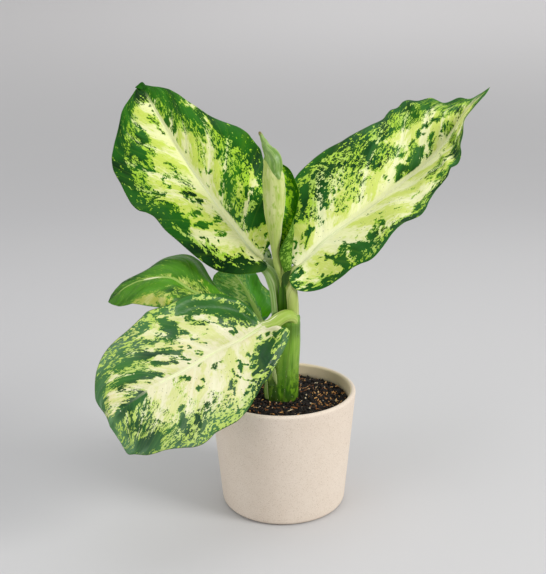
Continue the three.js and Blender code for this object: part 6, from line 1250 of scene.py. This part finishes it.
def stem_skin():
    m = Nodes("stem_skin", 0.4)
    ang, z, edge = m.math("MULTIPLY", m.attr("pa"), 2 * math.pi), m.attr("pt"), m.attr("ink")
    comb = m.n.new("ShaderNodeCombineXYZ")
    m.set(comb.inputs[0], m.math("MULTIPLY", m.math("COSINE", ang), 14.0))
    m.set(comb.inputs[1], m.math("MULTIPLY", m.math("SINE", ang), 14.0))
    m.set(comb.inputs[2], z)
    v = comb.outputs[0]
    wide = m.noise(m.stretch(v, 0.07, 0.07, 0.022), 1.0, 3.0, 0.55)
    streak = m.noise(m.stretch(v, 0.34, 0.34, 0.03), 1.0, 4.0, 0.55)
    line = m.noise(m.stretch(v, 1.1, 1.1, 0.04), 1.0, 3.0, 0.55)
    blotch = m.noise(m.stretch(v, 0.2, 0.2, 0.11), 1.0, 3.0, 0.6)
    colour = m.mix(m.step(wide, 0.4, 0.6), rgb(66, 118, 8), rgb(104, 150, 30))
    # painted highlights: lighter streaky bands where la is high
    painted_highlight = m.attr("la")
    low = m.step(z, 104.0, 140.0, 1.0, 0.0)
    calm = m.step(z, 112.0, 140.0, 0.4, 1.0)
    colour = m.mix(m.math("MULTIPLY", painted_highlight, m.step(streak, 0.3, 0.6, 0.5, 1.0)), colour, rgb(142, 178, 66))
    colour = m.mix(m.math("MULTIPLY", calm, m.step(streak, 0.54, 0.7, 0.0, 0.26)), colour, rgb(152, 184, 84))
    colour = m.mix(m.math("MULTIPLY", calm, m.step(streak, 0.3, 0.44, 0.36, 0.0)), colour, rgb(46, 92, 4))
    colour = m.mix(m.math("MULTIPLY", calm, m.step(line, 0.55, 0.75, 0.0, 0.16)), colour, rgb(160, 190, 96))
    # darker where the collar shades it
    shade = m.math("MULTIPLY", m.step(z, 150.0, 163.0), m.step(z, 166.0, 171.0, 1.0, 0.0))
    colour = m.mix(m.math("MULTIPLY", shade, 0.6), colour, rgb(46, 88, 4))
    colour = m.mix(m.math("MULTIPLY", m.math("MULTIPLY", low, m.step(blotch, 0.46, 0.56)), 0.85), colour, rgb(30, 76, 4))
    colour = m.mix(m.math("MULTIPLY", m.math("MULTIPLY", low, m.step(blotch, 0.34, 0.42, 1.0, 0.0)), 0.6), colour, rgb(122, 168, 58))
    colour = m.mix(m.step(z, 98.0, 108.0, 0.55, 0.0), colour, rgb(54, 78, 20))
    colour = m.mix(m.math("MULTIPLY", edge, 0.25), colour, rgb(168, 196, 104))
    # pale flecks, thickest near the foot: partly specks on the skin and partly painted glints
    flecks = m.cells(m.stretch(v, 0.5, 0.5, 0.34), 1.0)
    colour = m.mix(m.math("MULTIPLY", m.step(flecks, 0.05, 0.16, 1.0, 0.0), m.math("ADD", m.math("MULTIPLY", low, 0.75), 0.08)), colour, rgb(218, 230, 190))
    m.bsdf.inputs["Specular IOR Level"].default_value = 0.3
    h = m.math("ADD", m.math("MULTIPLY", streak, 1.0), m.math("ADD", m.math("MULTIPLY", line, 0.5), m.math("MULTIPLY", m.noise(m.place(), 1300.0, 2.0), 0.2)))
    return m.finish(colour, m.lin(blotch, 0.3, 0.7, 0.27, 0.5), m.bump(h, 0.0006, 0.5))


def stem():
    build = Build(LEAF_FLOATS, LEAF_VECTORS)
    n, k = 220, 160
    z = np.linspace(STEM[0, 2], STEM[-1, 2], n)
    c = np.stack([cubic(STEM[:, 2], STEM[:, 0], z), cubic(STEM[:, 2], STEM[:, 1], z), z], -1)
    r = cubic(STEM[:, 2], STEM[:, 3], z)
    th = np.linspace(0, 2 * math.pi, k, endpoint=False)
    Z = z[:, None]
    T = np.broadcast_to(th[None], (n, k))

    def step_edge(a0, slope, z0, z1, amount):
        """The edge of a sheath that wraps the stem: a small step running up it, and where it is."""
        a = a0 + slope * (Z - 130)
        d = (T - a + math.pi) % (2 * math.pi) - math.pi
        on = ease(z0 - 6, z0 + 4, Z) * (1 - ease(z1 - 6, z1 + 6, Z))
        return amount * on * ease(-0.05, 0.05, d) * np.exp(-np.clip(d, 0, 9) / 1.1), on * np.exp(-((d / 0.05) ** 2))

    lay, rims = np.zeros((n, k)), np.zeros((n, k))
    # angle 0 points along +X, 1.5 pi (4.71) toward the viewer
    for spec in ((4.98, 0.0045, 96, 172, 0.75), (4.25, -0.006, 96, 150, 0.6), (1.6, 0.004, 96, 172, 0.7), (5.85, -0.003, 110, 176, 0.5), (3.2, 0.004, 100, 160, 0.5)):
        a, b = step_edge(*spec)
        lay, rims = lay + a, np.maximum(rims, b * min(1, spec[4] / 0.75) * 0.55)
    ribs = 0.08 * np.sin(T * 9 + 0.4 * np.sin(Z / 14)) + 0.05 * np.sin(T * 17 + 1.0 + 0.5 * np.sin(Z / 9)) + 0.04 * np.sin(T * 31 + Z / 30)
    ring = sum(0.28 * np.exp(-(((Z - h - 1.6 * np.sin(T + p)) / 0.9) ** 2)) for h, p in ((103.5, 0.4), (113.0, 2.0), (127.0, 4.0)))
    oval = 1 + 0.03 * np.cos(2 * (T - 0.4)) + 0.012 * np.sin(Z / 11 + T)
    R = r[:, None] * oval + ribs * ease(96, 112, Z) + lay - 0.35 + ring * (0.5 + 0.5 * np.sin(T * 2 + 1))
    sec = np.stack([np.cos(T) * R, np.sin(T) * R], -1)
    side, up = np.tile([1.0, 0, 0], (n, 1)), np.tile([0, 1.0, 0], (n, 1))
    verts, faces = loft(c, side, up, sec)
    # painted highlights: three lighter bands at fixed angles round the stem, brightest on its front right, with others
    # on the front left and the back
    painted_highlight = 0.8 * np.exp(-(((T - 5.75 + math.pi) % (2 * math.pi) - math.pi) / 0.36) ** 2) * ease(108, 130, Z)
    painted_highlight = painted_highlight + 0.9 * np.exp(-(((T - 3.9 + math.pi) % (2 * math.pi) - math.pi) / 0.5) ** 2) * ease(104, 122, Z)
    painted_highlight = painted_highlight + 0.5 * np.exp(-(((T - 1.2 + math.pi) % (2 * math.pi) - math.pi) / 0.8) ** 2)
    att = dict(pt=np.r_[np.repeat(z, k), z[0], z[-1]], pa=np.r_[np.tile(th / (2 * math.pi), n), 0, 0], ink=np.r_[rims.ravel(), 0, 0], la=np.r_[painted_highlight.ravel(), 0, 0.3])
    uv = np.stack([np.r_[0.02 + 0.94 * np.tile(np.abs(2 * np.arange(k) / k - 1), n), 0.5, 0.5], np.r_[np.repeat(0.02 + 0.94 * (z - z[0]) / (z[-1] - z[0]), k), 0.0, 0.99]], -1)
    build.add(verts, faces, 0, uv, **att)
    # the little dried tip of an old sheath standing against the front
    p = np.array([[-3.5, -13.4, 165], [-3.2, -14.6, 170], [-3.8, -15.0, 173.5], [-5.4, -14.7, 174.8], [-6.4, -14.4, 173.6]])
    q = np.r_[0, np.cumsum(np.linalg.norm(np.diff(p, axis=0), axis=1))]
    x = np.linspace(0, q[-1], 26)
    cc = cubic(q, p, x)
    rr = cubic(q, np.array([2.2, 1.9, 1.4, 0.9, 0.25]), x)
    tan, sd, uu = transport(cc, (0, -1, 0.2))
    a = np.linspace(0, 2 * math.pi, 18, endpoint=False)
    sc = np.stack([np.cos(a)[None] * rr[:, None], np.sin(a)[None] * rr[:, None] * 0.4], -1)
    v2, f2 = loft(cc, sd, uu, sc)
    build.add(v2, f2, 0, np.tile([[0.99, 0.99]], (len(v2), 1)), pt=160.0, pa=0.8, ink=0.8, la=1.0)
    return place(build.object("stem_finish", [stem_skin()]), "stem")


stem()


def scale_skin(name, tone):
    m = Nodes(name, 0.5)
    lt, la = m.attr("lt"), m.attr("la")
    comb = m.n.new("ShaderNodeCombineXYZ")
    m.set(comb.inputs[0], m.math("MULTIPLY", la, 9.0))
    m.set(comb.inputs[1], m.math("MULTIPLY", lt, 2.0))
    v = comb.outputs[0]
    fibre = m.noise(v, 1.6, 4.0, 0.6)
    colour = m.mix(m.step(fibre, 0.35, 0.65), tone, rgb(150, 170, 96))
    colour = m.mix(m.step(lt, 0.86, 1.0, 0.0, 0.35), colour, rgb(132, 118, 70))
    colour = m.mix(m.step(lt, 0.0, 0.3, 0.45, 0.0), colour, rgb(112, 132, 62))
    colour = m.mix(m.step(la, 0.86, 1.0, 0.0, 0.5), colour, rgb(216, 220, 176))
    colour = m.mix(m.step(m.cells(m.place(), 900.0), 0.1, 0.2, 0.35, 0.0), colour, rgb(84, 90, 40))
    return m.finish(colour, 0.52, m.bump(fibre, 0.0004, 0.6))


def basal_scale(node, line, tone, thick=0.9, curl=0.22):
    """A dry pointed sheath scale, curved round the stem."""
    build = Build(LEAF_FLOATS, LEAF_VECTORS)
    L = np.array(line, float)
    n, k = 60, 26
    s = np.linspace(0, 1, n)
    ts = np.linspace(0, 1, len(L))
    C = cubic(ts, L[:, :3], s)
    W = np.maximum(cubic(ts, L[:, 3], s), 0.12)
    a = np.linspace(-1, 1, k)
    out = C[:, :2] - np.array([[-1.2, 0]])
    out = np.concatenate([out / np.linalg.norm(out, axis=1, keepdims=True), np.zeros((n, 1))], 1)
    tan = unit(np.gradient(C, axis=0))
    side = unit(np.cross(tan, out))
    nor = unit(np.cross(side, tan))
    P = C[:, None] + side[:, None] * (W[:, None] * a[None])[..., None] - nor[:, None] * (curl * W[:, None] * (a ** 2)[None])[..., None]
    P = P + nor[:, None] * (0.12 * np.sin(a * 9)[None] * (1 - s)[:, None])[..., None]
    t = thick * (1 - 0.75 * a ** 2)[None] * (1 - 0.6 * s)[:, None]
    U, D = P + nor[:, None] * (t / 2)[..., None], P - nor[:, None] * (t / 2)[..., None]
    ring = np.concatenate([U, D[:, ::-1]], 1)
    kk = ring.shape[1]
    verts = np.vstack([ring.reshape(-1, 3), ring[0].mean(0)[None], ring[-1].mean(0)[None]])
    faces = grid_faces(n, kk, wrap=True) + [(n * kk, (j + 1) % kk, j) for j in range(kk)] + [(n * kk + 1, (n - 1) * kk + j, (n - 1) * kk + (j + 1) % kk) for j in range(kk)]
    faces = outward(verts, faces)
    aa = np.abs(np.concatenate([a, a[::-1]]))
    uv = np.stack([np.r_[np.tile(np.concatenate([0.02 + 0.22 * (a + 1), 0.52 + 0.22 * (a[::-1] + 1)]), n), 0.2, 0.2], np.r_[np.repeat(0.02 + 0.96 * s, kk), 0, 1]], -1)
    build.add(verts, faces, 0, uv, lt=np.r_[np.repeat(s, kk), 0, 1], la=np.r_[np.tile(aa, n), 0, 0])
    return place(build.object(node + "_finish", [scale_skin(node + "_skin", tone)]), node)


basal_scale("basal_scale_front", [[-5.4, -15.8, 115.6, 0.3], [-6.2, -16.0, 118.6, 1.1], [-7.2, -16.1, 122.6, 1.9], [-8.0, -15.5, 127.0, 1.9], [-8.5, -14.2, 132.0, 1.6], [-8.7, -13.0, 137.0, 1.0]], rgb(170, 192, 118))
basal_scale("basal_scale_side", [[-14.8, -9.6, 99.8, 2.8], [-15.1, -9.4, 107, 2.6], [-14.7, -9.2, 114, 1.8], [-14.2, -9.1, 119.8, 0.3]], rgb(110, 164, 56))


# --------------------------------------------------------------------- pot
POT_HEIGHT, RIM_R, FOOT_R, WALL, FLOOR_Z = 106.5, 65.0, 55.3, 5.0, 6.5


def wall_r(z):
    return FOOT_R + (RIM_R - FOOT_R) * z / POT_HEIGHT


def pot_skin():
    m = Nodes("pot_skin", 0.72)
    p = m.place()
    cloud = m.noise(p, 18.0, 3.0, 0.55)
    mott = m.noise(p, 120.0, 3.0, 0.6)
    colour = m.mix(m.step(cloud, 0.3, 0.7), rgb(221, 207, 191), rgb(225, 212, 197))
    colour = m.mix(m.step(mott, 0.45, 0.75, 0.0, 0.16), colour, rgb(211, 195, 175))
    fine = m.cells(p, 900.0, kind="Color")
    pick = m.dot(fine)
    near = m.cells(p, 900.0)
    size = m.noise(p, 260.0, 2.0)
    speck = m.math("MULTIPLY", m.step(near, 0.18, 0.36, 1.0, 0.0), m.step(m.math("ADD", pick, m.math("MULTIPLY", size, 0.4)), 0.78, 0.95))
    colour = m.mix(m.math("MULTIPLY", speck, 0.5), colour, rgb(152, 128, 98))
    pale = m.math("MULTIPLY", m.step(m.cells(p, 640.0), 0.12, 0.3, 1.0, 0.0), m.step(m.dot(m.cells(p, 640.0, kind="Color")), 0.6, 0.8))
    colour = m.mix(m.math("MULTIPLY", pale, 0.45), colour, rgb(244, 237, 225))
    grit = m.noise(p, 1100.0, 2.0, 0.6)
    colour = m.mix(m.step(grit, 0.5, 0.68, 0.0, 0.22), colour, rgb(176, 156, 130))
    z = m.attr("pt")
    # painted contact shadow: darker over the lowest 2.6 mm, where the foot meets the floor
    colour = m.mix(m.step(z, 0.0, 2.6, 0.6, 0.0), colour, rgb(150, 132, 108))
    inner = m.attr("pa")
    # painted light: the inner wall is painted lighter and warmer than the outside, to lift the shade that falls inside
    # the pot
    colour = m.mix(m.math("MULTIPLY", inner, 0.8), colour, rgb(234, 216, 180))
    # darker brown band on the inner wall, from below the soil up to just above it
    soil_line_band = m.math("MULTIPLY", inner, m.step(m.math("ADD", z, m.math("MULTIPLY", m.math("SUBTRACT", mott, 0.5), 6.0)), 94.0, 99.0, 0.5, 0.0))
    colour = m.mix(soil_line_band, colour, rgb(96, 76, 54))
    h = m.math("ADD", m.math("MULTIPLY", m.noise(p, 1400.0, 2.0, 0.6), 0.7), m.math("MULTIPLY", mott, 0.45))
    h = m.math("SUBTRACT", h, m.math("MULTIPLY", speck, 0.5))
    return m.finish(colour, m.lin(mott, 0.3, 0.7, 0.66, 0.8), m.bump(h, 0.00022, 0.55))


def pot():
    build = Build(("pt", "pa"))
    prof = [(0.0, 0.9, 0), (30.0, 0.9, 0), (46.0, 0.9, 0), (47.6, 0.5, 0), (48.2, 0.0, 0), (50.0, 0.0, 0)]
    fr = 5.0
    for a in np.linspace(-90, 5, 16):
        t = math.radians(a)
        prof.append((FOOT_R - fr + 0.35 + fr * math.cos(t), fr + fr * math.sin(t), 0))
    for zz in np.linspace(6, POT_HEIGHT - 3.2, 60):
        prof.append((wall_r(zz), zz, 0))
    lip = 2.45
    rc = wall_r(POT_HEIGHT - lip) - lip
    for a in np.linspace(4, 176, 26):
        t = math.radians(a)
        prof.append((rc + lip * math.cos(t) * (1.0 if a < 90 else 1.02), POT_HEIGHT - lip + lip * math.sin(t), float(a > 120)))
    for zz in np.linspace(POT_HEIGHT - 4.2, 84, 22):
        prof.append((wall_r(zz) - WALL, zz, 1.0))
    prof += [(wall_r(60) - WALL, 60, 1.0), (wall_r(20) - WALL, 20, 1.0), (wall_r(10.5) - WALL, 10.5, 1.0), (wall_r(7) - WALL - 3, 7.0, 1.0), (48.0, FLOOR_Z, 1.0), (20.0, FLOOR_Z, 1.0), (0.0, FLOOR_Z, 1.0)]
    k = 256
    th = np.linspace(0, 2 * math.pi, k, endpoint=False)
    P = np.array(prof)
    body = P[1:-1]
    wob = 0.10 * np.sin(2 * th + 0.6) + 0.06 * np.sin(3 * th + 2.0) + 0.04 * np.sin(5 * th + 4.0)
    hgt = ease(20, 106, body[:, 1])[:, None]
    Rr = body[:, :1] + (wob[None] - 0.22) * hgt * (body[:, :1] > 50)
    Zz = body[:, 1:2] + 0.0 * th[None]
    ring = np.stack([Rr * np.cos(th)[None], Rr * np.sin(th)[None], Zz], -1)
    n = len(body)
    verts = np.vstack([ring.reshape(-1, 3), [[0, 0, P[0, 1]]], [[0, 0, P[-1, 1]]]])
    faces = grid_faces(n, k, wrap=True) + [(n * k, (j + 1) % k, j) for j in range(k)] + [(n * k + 1, (n - 1) * k + j, (n - 1) * k + (j + 1) % k) for j in range(k)]
    faces = outward(verts, faces)
    s = np.r_[0, np.cumsum(np.hypot(np.diff(body[:, 0]), np.diff(body[:, 1])))]
    s = s / s[-1]
    uv = np.stack([np.r_[0.01 + 0.98 * np.tile(np.abs(2 * np.arange(k) / k - 1), n), 0.5, 0.5], np.r_[np.repeat(0.01 + 0.97 * s, k), 0, 1]], -1)
    build.add(verts, faces, 0, uv, pt=np.r_[np.repeat(body[:, 1], k), 0, 6], pa=np.r_[np.repeat(body[:, 2], k), 0, 1])
    return place(build.object("pot_finish", [pot_skin()]), "pot")


pot()


# -------------------------------------------------------------------- soil
def soil_skin(name, tones, rough, bump_scale):
    m = Nodes(name, rough)
    r, p = m.attr("rnd"), m.place()
    grain = m.noise(p, bump_scale, 4.0, 0.65)
    n = len(tones) - 1
    colour = tones[0]
    x = m.math("ADD", r, m.math("MULTIPLY", m.math("SUBTRACT", grain, 0.5), 0.9))
    for i, t in enumerate(tones[1:]):
        colour = m.mix(m.step(x, (i + 0.2) / n, (i + 0.95) / n), colour, t)
    h = m.math("ADD", grain, m.math("MULTIPLY", m.noise(p, bump_scale * 3.1, 2.0), 0.5))
    return m.finish(colour, m.lin(grain, 0.3, 0.7, rough - 0.12, min(1.0, rough + 0.1)), m.bump(h, 0.0008, 0.8))


def soil_top(x, y):
    """Height of the soil's surface, mm."""
    r = np.hypot(x, y)
    base = np.interp(r, [0, 18, 28, 42, 57, 59.5], [98.2, 98.0, 97.2, 96.3, 95.3, 94.4])
    return base + 0.55 * swell(x / 26, y / 26, 71) + 0.42 * swell(x / 9, y / 9, 72) + 0.3 * swell(x / 3.6, y / 3.6, 73, n=11)


def soil():
    build = Build(("rnd",))
    rad = wall_r(95.6) - WALL - 0.3
    nr, k = 110, 330
    th = np.linspace(0, 2 * math.pi, k, endpoint=False)
    rr = np.linspace(0.0, 1, nr + 1)[1:] ** 0.8 * rad
    X, Y = rr[:, None] * np.cos(th)[None], rr[:, None] * np.sin(th)[None]
    lump = np.zeros_like(X)
    pts = np.stack([X.ravel(), Y.ravel()], 1)
    lump = np.array([noise.noise(Vector((a * 0.55, b * 0.55, 0.3))) * 0.7 + noise.noise(Vector((a * 1.3, b * 1.3, 7.1))) * 0.45 for a, b in pts]).reshape(X.shape)
    fade = 1 - ease(rad - 1.2, rad, rr)[:, None]
    Z = np.minimum(soil_top(X, Y) + lump * fade - 0.3, 99.6)
    top = np.stack([X, Y, Z], -1)
    sides = []
    for zz in (90.0, 60.0, 12.0):
        q = wall_r(zz) - WALL - 0.35 - (3.5 if zz < 20 else 0)
        sides.append(np.stack([q * np.cos(th), q * np.sin(th), np.full(k, zz)], -1))
    q = wall_r(7) - WALL - 4.6
    sides.append(np.stack([q * np.cos(th), q * np.sin(th), np.full(k, FLOOR_Z + 0.4)], -1))
    ring = np.concatenate([top, np.array(sides)], 0)
    n = len(ring)
    verts = np.vstack([ring.reshape(-1, 3), [[0, 0, float(soil_top(np.array(0.0), np.array(0.0))) - 0.3]], [[0, 0, FLOOR_Z + 0.4]]])
    faces = grid_faces(n, k, wrap=True) + [(n * k, (j + 1) % k, j) for j in range(k)] + [(n * k + 1, (n - 1) * k + j, (n - 1) * k + (j + 1) % k) for j in range(k)]
    faces = outward(verts, faces)
    R = np.hypot(verts[:, 0], verts[:, 1]) / 64
    A = np.arctan2(verts[:, 1], verts[:, 0])
    uv = np.stack([0.5 + 0.48 * R * np.cos(A), 0.5 + 0.48 * R * np.sin(A)], -1)
    tone = 0.28 + 0.22 * np.r_[lump.ravel(), np.zeros(len(verts) - lump.size)]
    build.add(verts, faces, 0, uv, rnd=tone)

    rng = np.random.default_rng(404)
    import bmesh
    bm = bmesh.new()
    bmesh.ops.create_icosphere(bm, subdivisions=1, radius=1.0)
    ico = np.array([v.co[:] for v in bm.verts])
    ico_f = [tuple(v.index for v in f.verts) for f in bm.faces]
    bm.free()

    def spin():
        q = rng.normal(size=4)
        q /= np.linalg.norm(q)
        w, x, y, z = q
        return np.array([
            [1 - 2 * (y * y + z * z), 2 * (x * y - z * w), 2 * (x * z + y * w)],
            [2 * (x * y + z * w), 1 - 2 * (x * x + z * z), 2 * (y * z - x * w)],
            [2 * (x * z - y * w), 2 * (y * z + x * w), 1 - 2 * (x * x + y * y)],
        ])

    def spot(margin):
        while True:
            x, y = rng.uniform(-rad, rad, 2)
            if math.hypot(x, y) < rad - margin and math.hypot(x + 1.4, y) > 14.6:
                return x, y

    def crumb(size, flat, mat, rnd, sink, rough_amt=0.35):
        x, y = spot(size * 0.8 + 0.4)
        v = ico * (1 + rng.uniform(-rough_amt, rough_amt, (len(ico), 1)))
        v = (v * np.array([size * rng.uniform(0.7, 1.3), size * rng.uniform(0.6, 1.1), size * flat])) @ spin().T
        z = float(soil_top(np.array(x), np.array(y)))
        v = v + np.array([x, y, z - 0.2 + size * flat * sink])
        v[:, 2] = np.minimum(v[:, 2], 103.5)
        build.add(v, ico_f, mat, np.tile([[0.5 + 0.48 * x / 64, 0.5 + 0.48 * y / 64]], (len(v), 1)), rnd=rnd)

    def shred(length, width, thick, mat, rnd):
        """A splinter of bark or fibre, bent a little."""
        x, y = spot(length * 0.55 + 0.8)
        yaw, pitch, bend = rng.uniform(0, 2 * math.pi), rng.uniform(-0.3, 0.3), rng.uniform(-0.8, 0.8)
        n_s = 7
        s = np.linspace(-0.5, 0.5, n_s) * length
        cx, cy = s, bend * (s / length) ** 2 * length * 0.6
        d = np.array([math.cos(yaw), math.sin(yaw)])
        c = np.stack([x + cx * d[0] - cy * d[1], y + cx * d[1] + cy * d[0], np.zeros(n_s)], -1)
        z0 = float(soil_top(np.array(x), np.array(y)))
        c[:, 2] = z0 + 0.35 + thick * 0.3 + s * math.tan(pitch) * 0.6 + rng.uniform(-0.2, 0.5)
        c[:, 2] = np.minimum(c[:, 2], 102.5)
        w = width * (1 - 0.75 * np.abs(np.linspace(-1, 1, n_s)) ** 2.5) * (1 + 0.25 * rng.uniform(-1, 1, n_s))
        tan, side, up = transport(c, (0.2 * rng.normal(), 0.2 * rng.normal(), 1))
        sec = np.stack([np.stack([w * a, np.full(n_s, thick * b)], -1) for a, b in ((0.5, -0.4), (0.5, 0.4), (0.1, 0.6), (-0.5, 0.4), (-0.5, -0.4), (-0.1, -0.6))], 1)
        v, f = loft(c, side, up, sec)
        build.add(v, f, mat, np.tile([[0.5 + 0.48 * x / 64, 0.5 + 0.48 * y / 64]], (len(v), 1)), rnd=rnd)

    many = 1
    for _ in range(2300 // many):
        s = float(np.clip(rng.lognormal(-0.25, 0.5), 0.35, 2.5))
        crumb(s, rng.uniform(0.5, 0.95), 0, float(np.clip(rng.beta(2, 4), 0, 1)), rng.uniform(0.0, 0.7))
    for _ in range(300 // many):
        crumb(float(rng.uniform(0.45, 1.3)), rng.uniform(0.35, 0.7), 1, float(rng.beta(1.6, 1.8)), 0.75, 0.45)
    for _ in range(240 // many):
        shred(float(rng.uniform(2.0, 6.0)), float(rng.uniform(0.5, 1.3)), float(rng.uniform(0.25, 0.6)), 1, float(rng.beta(2, 2.2)))
    for _ in range(420 // many):
        shred(float(rng.uniform(2.0, 6.5)), float(rng.uniform(0.5, 1.4)), float(rng.uniform(0.3, 0.7)), 0, float(rng.beta(1.2, 3.2)))
    for _ in range(110 // many):
        crumb(float(rng.uniform(0.4, 1.05)), rng.uniform(0.6, 0.95), 2, float(rng.uniform(0, 1)), 0.8, 0.25)
    skins = [
        soil_skin("soil_peat", [rgb(6, 3, 2), rgb(20, 12, 8), rgb(46, 31, 20), rgb(122, 90, 60)], 0.82, 900.0),
        soil_skin("soil_bark", [rgb(84, 44, 18), rgb(168, 104, 46), rgb(230, 172, 98), rgb(255, 228, 178)], 0.55, 1100.0),
        soil_skin("soil_perlite", [rgb(214, 196, 160), rgb(246, 232, 204)], 0.7, 1500.0),
    ]
    return place(build.object("soil_finish", skins), "soil")


soil()


# ------------------------------------------------------------------- stage
def floor_skin():
    m = Nodes("floor_skin", 0.85)
    p = m.place()
    tone = m.noise(p, 1.2, 2.0)
    split = m.n.new("ShaderNodeSeparateXYZ")
    m.set(split.inputs[0], p)
    near = m.mix(tone, rgb(200, 200, 202), rgb(203, 203, 204))
    # painted light: the rising backdrop is painted lighter than the floor, and darker toward the left, standing for the
    # studio light's fall-off across it
    far = m.mix(m.step(split.outputs[0], -1.6, 0.6), rgb(225, 224, 225), rgb(249, 248, 249))
    return m.finish(m.mix(m.step(split.outputs[2], 0.0, 0.55), near, far), 0.85, None)


def stage():
    k = 128
    th = np.linspace(0, 2 * math.pi, k, endpoint=False)
    rr = np.concatenate([np.linspace(0.15, 1.6, 12), np.linspace(1.8, 6.0, 26)])
    zz = np.where(rr > 1.5, 0.16 * (rr - 1.5) ** 2 / (1 + 0.10 * (rr - 1.5)) , 0.0)
    ring = np.stack([rr[:, None] * np.cos(th)[None], rr[:, None] * np.sin(th)[None], np.broadcast_to(zz[:, None], (len(rr), k))], -1)
    verts = np.vstack([ring.reshape(-1, 3), [[0, 0, 0]]])
    faces = grid_faces(len(rr), k, wrap=True, flip=True) + [(len(rr) * k, j, (j + 1) % k) for j in range(k)]
    me = bpy.data.meshes.new("floor")
    me.from_pydata(verts.tolist(), [], faces)
    me.polygons.foreach_set("use_smooth", np.full(len(me.polygons), True))
    me.materials.append(floor_skin())
    me.update()
    o = bpy.data.objects.new("floor", me)
    bpy.context.scene.collection.objects.link(o)


stage()


def area_light(name, where, target, size, power, colour=(1, 1, 1)):
    d = bpy.data.lights.new(name, "AREA")
    d.shape = "DISK"
    d.size, d.energy, d.color = size, power, colour
    o = bpy.data.objects.new(name, d)
    o.location = where
    o.rotation_euler = (Vector(target) - Vector(where)).to_track_quat("-Z", "Y").to_euler()
    bpy.context.scene.collection.objects.link(o)
    return o


area_light("key", (1.85, -0.95, 1.3), (0, 0, 0.16), 1.0, 36.5, (1.0, 0.985, 0.96))
area_light("overhead", (-0.2, 0.3, 2.3), (0, 0, 0.15), 2.2, 13, (0.98, 0.99, 1.0))
area_light("fill", (-1.8, -1.3, 0.85), (0, 0, 0.2), 1.4, 11.5, (0.98, 0.99, 1.0))

world = bpy.data.worlds.new("studio")
world.use_nodes = True
bg = world.node_tree.nodes["Background"]
bg.inputs[0].default_value = (1.0, 0.995, 0.99, 1)
bg.inputs[1].default_value = 0.55
bpy.context.scene.world = world
bpy.context.scene.view_settings.view_transform = "Standard"
